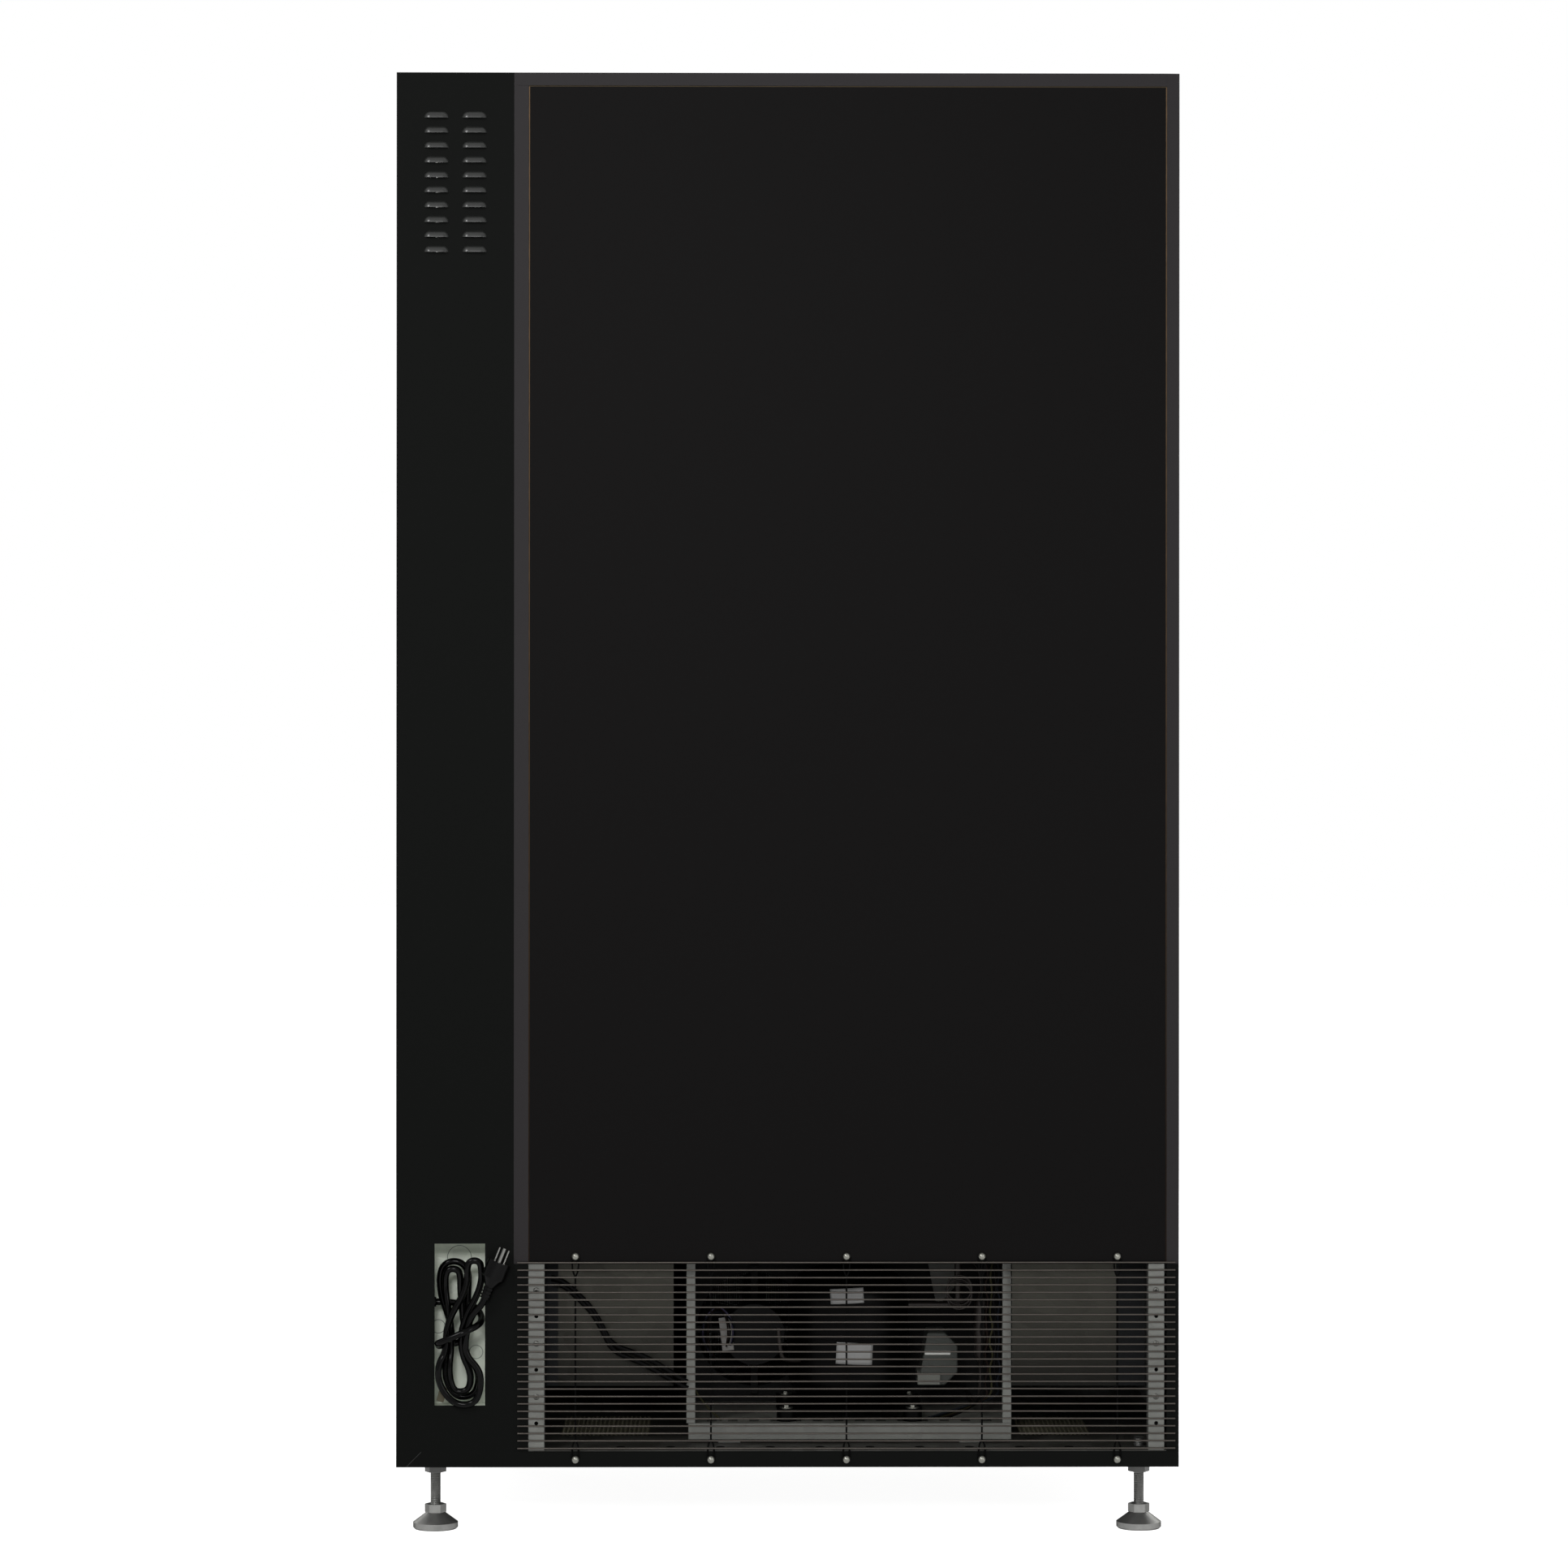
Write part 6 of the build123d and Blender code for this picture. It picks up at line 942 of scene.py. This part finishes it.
for row in range(TUBE_ROWS):
    z = coil_low.z + (row + 0.5) * (coil_high.z - coil_low.z) / TUBE_ROWS
    for share in (0.25, 0.75):
        y = coil_low.y + share * (coil_high.y - coil_low.y)
        lie = Matrix.Translation(((coil_low.x + coil_high.x) / 2 + 0.0015, y, z))
        rod(coil_shape, lie @ Matrix.Rotation(math.pi / 2, 4, "Y"), TUBE_RADIUS,
            coil_high.x - coil_low.x - 0.006, 12)
for x in ((coil_low.x + 0.006, coil_low.x + 0.0075), (coil_high.x - 0.0015, coil_high.x)):
    slab(coil_shape, x, (coil_low.y, coil_high.y), (coil_low.z, coil_high.z))
new_piece("condenser_tubes", coil_shape, "cabinet", "copper", copper, 0.0)
finished(condenser_fins, "cabinet", "fin_aluminium", "condenser")

connector_white = surface("connector_white", "7d7b78", 0.5)
connector = bmesh.new()
slab(connector, (0.0745, 0.0905), (0.2100, 0.2104), (0.216, 0.262))
bmesh.ops.rotate(connector, cent=(0.082, 0.21, 0.239), matrix=Matrix.Rotation(0.12, 3, "Y"),
                 verts=connector.verts)
new_piece("motor_connector", connector, "cabinet", "grey_plastic", connector_white, 0.0002)
MOTOR_X, MOTOR_Y, MOTOR_Z = 0.094, 0.214, 0.242
lead_black = surface("lead_black", "020202", 0.5, specular=0.05)
lead_violet = surface("lead_violet", "3d3850", 0.45, specular=0.3)
lead_brown = surface("lead_brown", "140d0a", 0.5, specular=0.05)
lead_blue = surface("lead_blue", "0b0e13", 0.5, specular=0.05)
earth_green = surface("earth_green_yellow", "29281a", 0.5, specular=0.05)
for index, (lead, radius_x, radius_z) in enumerate(((lead_violet, 0.021, 0.033), (lead_black, 0.017, 0.030),
                                                   (lead_blue, 0.023, 0.028), (lead_brown, 0.014, 0.034))):
    loop = []
    for k in range(16):
        angle = math.radians(-70 + 19 * k)
        loop.append((MOTOR_X + radius_x * math.cos(angle),
                     MOTOR_Y + 0.003 * index + 0.004 * math.sin(3 * angle),
                     MOTOR_Z + radius_z * math.sin(angle)))
    wire_run(f"motor_lead_{index + 1}", loop, 0.0012, "cord_pvc", lead)

bracket_sheet = galvanised_sheet("bracket_sheet", "4c4c48", 0.5, 40.0, 0.2)
BRACKET_OUTLINE = ((-0.192, 0.3575), (-0.236, 0.3575), (-0.236, 0.300), (-0.222, 0.285), (-0.210, 0.267),
                   (-0.205, 0.290))
bracket = bmesh.new()
faces = [[bracket.verts.new((x, y, z)) for x, z in BRACKET_OUTLINE] for y in (0.1600, 0.1615)]
bracket.faces.new(faces[0])
bracket.faces.new(faces[1])
bands(bracket, faces)
new_piece("bay_bracket", bracket, "cabinet", "galvanised", bracket_sheet)

drier_x, drier_y = -0.262, 0.325
DRIER_PROFILE = ((0.0035, 0.213), (0.0095, 0.226), (0.0095, 0.296), (0.0035, 0.309))
drier = bmesh.new()
rings = [[drier.verts.new((drier_x + x, drier_y + y, z)) for x, y in circle(reach, 16)]
         for reach, z in DRIER_PROFILE]
bands(drier, rings)
drier.faces.new(rings[0])
drier.faces.new(rings[-1])
new_piece("filter_drier", drier, "cabinet", "copper", copper)
low_line = [(drier_x, drier_y, 0.214), (drier_x, drier_y, 0.165), (drier_x + 0.01, drier_y - 0.03, 0.156),
            (drier_x + 0.02, -0.16, 0.158), (drier_x + 0.02, -0.21, 0.165)]
high_line = [(drier_x, drier_y, 0.308), (drier_x, drier_y, 0.335), (drier_x + 0.012, drier_y - 0.01, 0.352),
             (drier_x + 0.03, drier_y - 0.02, 0.3575)]
wire_run("drier_line_low", low_line, 0.0030, "copper", copper)
wire_run("drier_line_high", high_line, 0.0012, "copper", copper)
CAPILLARY_TURNS = 5
CAPILLARY_RADIUS = 0.017
CAPILLARY_PITCH = 0.0028
TURN_STEPS = 14
coil_points = []
for k in range(CAPILLARY_TURNS * TURN_STEPS + 1):
    angle = 2 * math.pi * k / TURN_STEPS
    coil_points.append((-0.232 + CAPILLARY_RADIUS * math.cos(angle), 0.338 + 0.004 * math.sin(angle * 0.5),
                        0.318 - CAPILLARY_PITCH * k / TURN_STEPS + CAPILLARY_RADIUS * math.sin(angle)))
wire_run("capillary_coil", coil_points, 0.0010, "copper", copper)

# Bay wiring. PVC leads tied together: a black pair from the column to the deck and a bundle up the far side.
# A green and yellow earth lead runs to the deck, and each end goes behind a sheet.
loom_y = 0.378
pair = ((0.316, 0.333), (0.303, 0.331), (0.281, 0.312), (0.260, 0.290), (0.245, 0.262), (0.238, 0.248),
        (0.224, 0.239), (0.198, 0.231), (0.172, 0.217), (0.151, 0.203), (0.134, 0.193))
upper = [(x, loom_y + 0.002 * math.sin(40 * x), z + 0.002) for x, z in pair]
lower = [(x - 0.001, loom_y + 0.001, z - 0.0045 - 0.005 * max(0, math.sin((0.25 - x) * 24))) for x, z in pair]
earth = [(0.126, loom_y - 0.03, 0.184), (0.122, loom_y - 0.028, 0.177), (0.111, loom_y - 0.032, 0.161),
         (0.099, loom_y - 0.036, 0.148), (0.089, loom_y - 0.040, deck_high.z + 0.0018)]
wire_run("black_lead_upper", upper, 0.0036, "cord_pvc", lead_black)
wire_run("black_lead_lower", lower, 0.0034, "cord_pvc", lead_black)
wire_run("earth_lead", earth, 0.0013, "cord_pvc", earth_green)
bundle = ((lead_black, 0.0016, -0.262), (lead_brown, 0.0014, -0.268), (earth_green, 0.0014, -0.274),
          (lead_black, 0.0018, -0.279), (lead_blue, 0.0014, -0.284))
for index, (lead, radius, x) in enumerate(bundle):
    run = [(x + 0.004 * math.sin(9 * k + index * 2.1), 0.352 + 0.004 * math.cos(5 * k + index),
            0.357 - 0.0185 * k) for k in range(11)]
    run += [(x + 0.012 + 0.01 * index, 0.340, 0.155), (x + 0.045 + 0.012 * index, 0.325, deck_high.z + 0.003)]
    wire_run(f"bundle_lead_{index + 1}", run, radius, "cord_pvc", lead)

# Insulated chamber. White-coated steel liner, zinc-plated tray rails, and a finned cooler behind a duct.
# The foam behind the liner, the duct's fan and the control box are closed in.
liner_white = surface("liner_white", "e6e6e2", 0.4, specular=0.4, drift=0.02, drift_size=2.0)
foam_block = surface("foam_block", "4a4132", 0.9, specular=0.1, drift=0.1, drift_size=30.0)
dressed("inner_liner", "cabinet", "white_coat", liner_white, 0.0004)
dressed("foam_insulation", "cabinet", "foam", foam_block, 0.0)
dressed("tray_rails", "cabinet", "zinc_plate", zinc_bright, 0.0006)
dressed("air_duct", "cabinet", "white_coat", liner_white, 0.0004)
dressed("evaporator", "cabinet", "fin_aluminium", fin_metal, 0.0)
dressed("evaporator_fan", "evaporator_fan", "fan_plastic", fan_black, 0.0004)
dressed("control_box", "cabinet", "galvanised", dull_galvanised, 0.0006)

# Trays and spirals. White-coated sheet trays with lane dividers, and zinc-plated wire spirals on couplers.
# Each lane has a blank white tag in the clear strip along the tray's front.
tray_white = surface("tray_coat", "cfd0cd", 0.42, specular=0.4, drift=0.03, drift_size=4.0)
strip_black = surface("price_strip", "17181a", 0.35, specular=0.5)
spiral_zinc = surface("spiral_zinc", "bfc1c2", 0.28, metallic=1.0, drift=0.1, drift_size=60.0)
coupler_white = surface("coupler_moulding", "dcdcd6", 0.5)
TRAYS = 5
LANES = 5
STRIP_DEPTH = 0.0081
WIRE_INNER, WIRE_OUTER = 0.040, 0.048
AXIS_RISE = 0.0502
DRIVE_DEPTH = 0.048
COUPLER_DEPTH = 0.0075
SPIRAL_DRIVE_DEPTH = 0.024


def tray_finishes(low, high, has_spirals):
    """A tray's front strip and, where its spirals are built in, their wire and their couplers."""
    lane, drive_front = (high.x - low.x) / LANES, high.y - DRIVE_DEPTH

    def from_axis(spot):
        if spot.y < low.y + STRIP_DEPTH or not has_spirals:
            return math.inf
        middle = low.x + (math.floor(min(max((spot.x - low.x) / lane, 0), LANES - 0.01)) + 0.5) * lane
        return math.hypot(spot.x - middle, spot.z - low.z - AXIS_RISE)

    def is_wire(spot):
        return WIRE_INNER < from_axis(spot) < WIRE_OUTER and spot.y < drive_front - COUPLER_DEPTH

    def is_coupler(spot):
        return from_axis(spot) < WIRE_OUTER and drive_front - COUPLER_DEPTH <= spot.y < drive_front + 0.0002

    return [(strip_black, lambda spot: spot.y < low.y + STRIP_DEPTH), (spiral_zinc, is_wire),
            (coupler_white, is_coupler)]


for number in range(1, TRAYS + 1):
    node = f"tray_{number}"
    low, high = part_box(node)
    lane = (high.x - low.x) / LANES
    tray = coated(merged_copy(node, node + "_dressed"), tray_white, tray_finishes(low, high, number > 1))
    finished(tray, node, "zinc_plate", node)
    tag = bmesh.new()
    slab(tag, (-0.024, 0.024), (-0.0005, 0.0002), (-0.011, 0.011))
    tags = ranks(f"lane_tags_{number}", tag, (LANES, 1, 1), (lane, 0, 0),
                 (low.x + lane / 2, low.y + 0.0003, low.z + 0.019), tag_white)
    finished(tags, node, "panel_plastic")
for number in range(1, LANES + 1):
    node = f"spiral_{number}"
    coupler_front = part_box(node)[1].y - SPIRAL_DRIVE_DEPTH - COUPLER_DEPTH
    spiral = coated(merged_copy(node, node + "_dressed"), spiral_zinc,
                    [(coupler_white, lambda spot: spot.y > coupler_front)])
    finished(spiral, node, "spiral_zinc", node)

# Door body. A folded steel skin in a black powder coat over a white inner panel, foamed at its edges.
# It hangs on two pinned hinge plates and closes on a soft seal.
door_black = surface("door_powder_coat", "1b1c1e", 0.38, specular=0.4, drift=0.05, drift_size=1.5,
                     grain=0.2, grain_size=1400.0)
gasket_grey = surface("gasket_rubber", "3c3d3f", 0.6, specular=0.3)
dressed("door_skin", "door", "door_black_coat", door_black, 0.0011, 3)
dressed("door_liner", "door", "white_coat", liner_white, 0.0008)
dressed("door_core", "door", "foam", foam_block, 0.0)
dressed("door_gasket", "door", "gasket_rubber", gasket_grey, 0.0028, 4)
dressed("hinge_brackets", "cabinet", "zinc_plate", zinc_bright, 0.0006)
dressed("kick_panel", "cabinet", "matt_black_coat", matt_black, 0.0008)

# Window. Two tempered panes with a printed black border, held in a black moulded frame.
# A lamp bar with a milky diffuser stands down each side behind the glass.
moulded_frame = surface("moulded_frame", "131314", 0.5, specular=0.35)
dressed("window_frame", "door", "black_plastic", moulded_frame, 0.0008)
pane = bpy.data.materials.new("window_pane")
pane.use_nodes = True
nodes, links = pane.node_tree.nodes, pane.node_tree.links
nodes.remove(nodes["Principled BSDF"])
mirror = nodes.new("ShaderNodeBsdfGlossy")
mirror.inputs["Color"].default_value = (1, 1, 1, 1)
mirror.inputs["Roughness"].default_value = 0.01
see_through = nodes.new("ShaderNodeBsdfTransparent")
see_through.inputs["Color"].default_value = (0.965, 0.975, 0.97, 1)
edge_on = nodes.new("ShaderNodeFresnel")
edge_on.inputs["IOR"].default_value = 1.35
either = nodes.new("ShaderNodeMixShader")
links.new(edge_on.outputs["Fac"], either.inputs["Fac"])
links.new(see_through.outputs["BSDF"], either.inputs[1])
links.new(mirror.outputs["BSDF"], either.inputs[2])
links.new(either.outputs["Shader"], nodes["Material Output"].inputs["Surface"])
dressed("door_glass", "door", "clear_glass", pane, 0.0)
glass_low, glass_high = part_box("door_glass")
BORDER_EDGE = 0.009
BORDER_WIDTH = 0.026
border = bmesh.new()
border_y = (glass_low.y + 0.0041, glass_low.y + 0.0044)
outside_x = (glass_low.x + BORDER_EDGE, glass_high.x - BORDER_EDGE)
outside_z = (glass_low.z + BORDER_EDGE, glass_high.z - BORDER_EDGE)
inside_x = (glass_low.x + BORDER_WIDTH, glass_high.x - BORDER_WIDTH)
inside_z = (glass_low.z + BORDER_WIDTH, glass_high.z - BORDER_WIDTH)
slab(border, (outside_x[0], inside_x[0]), border_y, outside_z)
slab(border, (inside_x[1], outside_x[1]), border_y, outside_z)
slab(border, inside_x, border_y, (outside_z[0], inside_z[0]))
slab(border, inside_x, border_y, (inside_z[1], outside_z[1]))
new_piece("printed_border", border, "door", "black_plastic", surface("glass_print", "0a0a0b", 0.3))


def glowing(name, code, strength, base="f4f4f0"):
    """A lit diffuser, screen or indicator."""
    material = surface(name, base, 0.4)
    shader = material.node_tree.nodes["Principled BSDF"]
    shader.inputs["Emission Color"].default_value = (*paint(code), 1)
    shader.inputs["Emission Strength"].default_value = strength
    return material


dressed("door_lamps", "door", "lamp_diffuser", glowing("lamp_diffuser", "f2f6ff", 7.0), 0.002, 3)

# Delivery bin and flap. A black sheet bin with a smoked, ribbed flap hung in its mouth.
# The flap swings inwards on two moulded trunnions.
bin_black = surface("bin_black", "18191a", 0.5, specular=0.35, grain=0.1)
smoked = surface("smoked_moulding", "232427", 0.18, specular=0.5)
smoked.node_tree.nodes["Principled BSDF"].inputs["Alpha"].default_value = 0.86
dressed("delivery_bin", "door", "bin_black_coat", bin_black, 0.0006)
flap_low, flap_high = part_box("delivery_flap")
dressed("delivery_flap", "delivery_flap", "smoked_flap", smoked, 0.0012, 3)
GRIP_RIBS = 6
GRIP_RIB_PITCH = 0.0055
grip_rib = bmesh.new()
slab(grip_rib, (-0.09, 0.09), (0, 0.0009), (0, 0.0022))
grip_ribs = ranks("flap_grip_ribs", grip_rib, (1, 1, GRIP_RIBS), (0, 0, GRIP_RIB_PITCH),
                  ((flap_low.x + flap_high.x) / 2, flap_low.y - 0.0008, flap_low.z + 0.018), smoked)
finished(grip_ribs, "delivery_flap", "smoked_flap")

# Payment panel. A black moulding with a touch screen, a contactless reader, a note acceptor and a coin slot.
# A small flap covers the coin cup at its foot.
panel_moulding = surface("panel_moulding", "202123", 0.52, specular=0.35, grain=0.35, grain_size=1800.0)
gloss_black = surface("device_gloss", "0b0c0e", 0.08, specular=0.5, coat=0.3)
dressed("payment_panel", "door", "panel_plastic", panel_moulding, 0.0014, 3)
dressed("touch_screen", "door", "screen_gloss", gloss_black, 0.0007)
dressed("card_reader", "door", "screen_gloss", gloss_black, 0.0018, 3)
dressed("bill_acceptor", "door", "black_plastic", moulded_frame, 0.0008)
screen_low, screen_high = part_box("touch_screen")
SCREEN_BEZEL = 0.016
KEY_PITCH = 0.030
KEY_SIZE = 0.025
DIGIT_HEIGHT = 0.019
SCREEN_EDGE = 0.003
lit_blue = glowing("screen_ground", "12324c", 0.8, "05070a")
lit_key = glowing("screen_keys", "3c6e92", 0.8, "05070a")
lit_digit = glowing("screen_digits", "eef6fb", 1.0, "05070a")
screen_x = (screen_low.x + SCREEN_EDGE + SCREEN_BEZEL, screen_high.x - SCREEN_EDGE - SCREEN_BEZEL)
screen_z = (screen_low.z + SCREEN_EDGE + SCREEN_BEZEL, screen_high.z - SCREEN_EDGE - SCREEN_BEZEL)
facing_front = Matrix.Rotation(math.pi / 2, 4, "X")
display = bmesh.new()
slab(display, screen_x, (screen_low.y - 0.0001, screen_low.y + 0.0002), screen_z)
new_piece("screen_display", display, "door", "screen_gloss", lit_blue)
key_y = (screen_low.y - 0.0003, screen_low.y)
keys, digit_pieces = bmesh.new(), []
key_middle_x, key_first_z = sum(screen_x) / 2, screen_z[0] + 0.026
for row, figures in enumerate(("*0#", "789", "456", "123")):
    for column, figure in enumerate(figures):
        x, z = key_middle_x + (column - 1) * KEY_PITCH, key_first_z + row * KEY_PITCH
        slab(keys, (x - KEY_SIZE / 2, x + KEY_SIZE / 2), key_y, (z - KEY_SIZE / 2, z + KEY_SIZE / 2))
        if figure.isdigit():
            letters = bpy.data.curves.new("figure", "FONT")
            letters.body = figure
            letters.size = DIGIT_HEIGHT
            letters.extrude = 0.0001
            letters.align_x = letters.align_y = "CENTER"
            drawn = in_scene("figure", letters)
            drawn.matrix_world = Matrix.Translation((x, screen_low.y - 0.0004, z)) @ facing_front
            bpy.context.view_layer.update()
            digit_pieces.append(drawn)
strip = bmesh.new()
slab(strip, (screen_x[0] + 0.004, screen_x[1] - 0.004), key_y, (screen_z[1] - 0.032, screen_z[1] - 0.008))
new_piece("screen_message_bar", strip, "door", "screen_gloss", lit_key)
new_piece("screen_keys", keys, "door", "screen_gloss", lit_key)
figures_shape = bmesh.new()
for drawn in digit_pieces:
    outline = drawn.evaluated_get(bpy.context.evaluated_depsgraph_get()).to_mesh()
    outline.transform(drawn.matrix_world)
    figures_shape.from_mesh(outline)
    bpy.data.objects.remove(drawn)
new_piece("screen_figures", figures_shape, "door", "screen_gloss", lit_digit)

reader_low, reader_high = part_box("card_reader")
ready_green = glowing("ready_lamp", "3fe07a", 2.5)
reader_x, reader_z = (reader_low.x + reader_high.x) / 2, (reader_low.z + reader_high.z) / 2
READER_LAMPS = 4
READER_LAMP_PITCH = 0.013
READER_LAMP_RADIUS = 0.0022
RING_RADII = (0.024, 0.018)
RING_WIDTH = 0.0012
RING_SIDES = 48
lamps_shape = bmesh.new()
for k in range(READER_LAMPS):
    x = reader_x + (k - (READER_LAMPS - 1) / 2) * READER_LAMP_PITCH
    seat = Matrix.Translation((x, reader_low.y - 0.0001, reader_high.z - 0.022)) @ facing_front
    rod(lamps_shape, seat, READER_LAMP_RADIUS, 0.0006, 20)
new_piece("reader_lamps", lamps_shape, "door", "lamp_diffuser", ready_green)
target = bmesh.new()
for radius in RING_RADII:
    bands(target, [[target.verts.new((reader_x + across, reader_low.y - 0.00015, reader_z - 0.006 + rise))
                    for across, rise in circle(reach, RING_SIDES)]
                   for reach in (radius, radius - RING_WIDTH)])
reader_print = surface("reader_print", "8f9498", 0.4)
new_piece("reader_target_rings", target, "door", "panel_plastic", reader_print)

bill_low, bill_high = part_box("bill_acceptor")
bill_x, bill_z = (bill_low.x + bill_high.x) / 2, (bill_low.z + bill_high.z) / 2
GUIDE_START, GUIDE_PITCH = 0.012, 0.009
GUIDES = 3
guides = bmesh.new()
for side in (-1, 1):
    for k in range(GUIDES):
        z = bill_z + side * (GUIDE_START + GUIDE_PITCH * k)
        slab(guides, (bill_x - 0.030, bill_x + 0.030), (bill_low.y - 0.0002, bill_low.y + 0.0002),
             (z - 0.0011, z + 0.0011))
new_piece("note_guide_lamps", guides, "door", "lamp_diffuser", ready_green)

door_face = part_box("door_skin")[0].y
dressed("coin_changer", "door", "black_plastic", moulded_frame, 0.0008, 2,
        [(nickel, lambda spot: spot.y < door_face)])
dressed("coin_return_button", "coin_return_button", "handle_chrome", nickel, 0.0012, 3)
dressed("coin_cup_flap", "coin_cup_flap", "smoked_flap", smoked, 0.0008, 3)

# Lock handle. A chromed T bar on a round boss, with the face of a key cylinder in its middle.
# Turning it draws the cam behind the panel.
chrome = surface("handle_chrome", "8b8d8e", 0.18, metallic=1.0)
dressed("lock_handle", "lock_handle", "handle_chrome", chrome, 0.002, 3)
handle_low, handle_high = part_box("lock_handle")
handle_x = sum(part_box("payment_panel")[k].x for k in (0, 1)) / 2
handle_z = (handle_low.z + handle_high.z) / 2
key_brass = surface("key_brass", "a89a72", 0.3, metallic=1.0)
CYLINDER_RADIUS = 0.0068
cylinder = bmesh.new()
seat = Matrix.Translation((handle_x, handle_low.y, handle_z)) @ facing_front
rod(cylinder, seat, CYLINDER_RADIUS, 0.0004, 32)
new_piece("key_cylinder", cylinder, "lock_handle", "zinc_plate", key_brass)
keyway = bmesh.new()
slab(keyway, (handle_x - 0.0007, handle_x + 0.0007), (handle_low.y - 0.00025, handle_low.y),
     (handle_z - 0.0036, handle_z + 0.0036))
new_piece("keyway", keyway, "lock_handle", "black_plastic", slot_black)

# Stage. A pale floor on a white ground, with broad soft lamps behind and in front of the machine.
# The floor is shown white to the camera and keeps a faint shadow under the base.
ground = bmesh.new()
bmesh.ops.create_grid(ground, x_segments=1, y_segments=1, size=30)
floor = piece_of("studio_floor", ground)
floor_white = bpy.data.materials.new("studio_white")
floor_white.use_nodes = True
nodes, links = floor_white.node_tree.nodes, floor_white.node_tree.links
shader = nodes["Principled BSDF"]
shader.inputs["Base Color"].default_value = (0.8, 0.8, 0.8, 1)
shader.inputs["Roughness"].default_value = 0.9
shader.inputs["Specular IOR Level"].default_value = 0.0


def shown_and_lighting(nodes, links, shown_shader, lighting_shader):
    """One shader for rays from the camera, a gloss or a glass, and another where it only lights."""
    ray = nodes.new("ShaderNodeLightPath")
    shown = ray.outputs["Is Camera Ray"]
    for kind in ("Is Glossy Ray", "Is Transmission Ray"):
        either = nodes.new("ShaderNodeMath")
        either.operation = "MAXIMUM"
        links.new(shown, either.inputs[0])
        links.new(ray.outputs[kind], either.inputs[1])
        shown = either.outputs["Value"]
    mixed = nodes.new("ShaderNodeMixShader")
    links.new(shown, mixed.inputs["Fac"])
    links.new(lighting_shader.outputs[0], mixed.inputs[1])
    links.new(shown_shader.outputs[0], mixed.inputs[2])
    return mixed.outputs["Shader"]


FLOOR_GLOW = 0.93
glow, dark = nodes.new("ShaderNodeEmission"), nodes.new("ShaderNodeEmission")
glow.inputs["Strength"].default_value = FLOOR_GLOW
dark.inputs["Strength"].default_value = 0.0
both = nodes.new("ShaderNodeAddShader")
links.new(shader.outputs["BSDF"], both.inputs[0])
links.new(shown_and_lighting(nodes, links, glow, dark), both.inputs[1])
links.new(both.outputs["Shader"], nodes["Material Output"].inputs["Surface"])
floor.data.materials.append(floor_white)

world = bpy.data.worlds.new("studio")
bpy.context.scene.world = world
world.use_nodes = True
nodes, links = world.node_tree.nodes, world.node_tree.links
WORLD_FILL = 0.2
plain, white = nodes["Background"], nodes.new("ShaderNodeBackground")
for sky, strength in ((plain, WORLD_FILL), (white, 1.0)):
    sky.inputs["Color"].default_value = (1, 1, 1, 1)
    sky.inputs["Strength"].default_value = strength
links.new(shown_and_lighting(nodes, links, white, plain), nodes["World Output"].inputs["Surface"])


def soft_lamp(name, place, aim, size, watts):
    """A broad soft box aimed at a point."""
    lamp = bpy.data.lights.new(name, "AREA")
    lamp.shape = "RECTANGLE"
    lamp.size, lamp.size_y = size
    lamp.energy = watts
    stand = in_scene(name, lamp)
    stand.location = place
    stand.rotation_euler = (Vector(aim) - Vector(place)).to_track_quat("-Z", "Y").to_euler()


soft_lamp("rear_key", (2.4, 3.4, 3.4), (0.1, 0.4, 1.1), (1.2, 1.2), 100)
soft_lamp("rear_fill", (-2.8, 3.6, 1.5), (0, 0.4, 0.7), (1.0, 2.0), 40)
soft_lamp("rear_front", (0.5, 6.2, 2.4), (0.1, 0.4, 0.5), (0.9, 0.9), 110)
soft_lamp("front_key", (-2.4, -3.8, 3.0), (0, -0.4, 1.0), (1.6, 1.6), 150)
soft_lamp("front_fill", (2.8, -3.4, 1.6), (0, -0.4, 0.9), (1.2, 2.2), 60)
bpy.context.scene.view_settings.view_transform = "Standard"
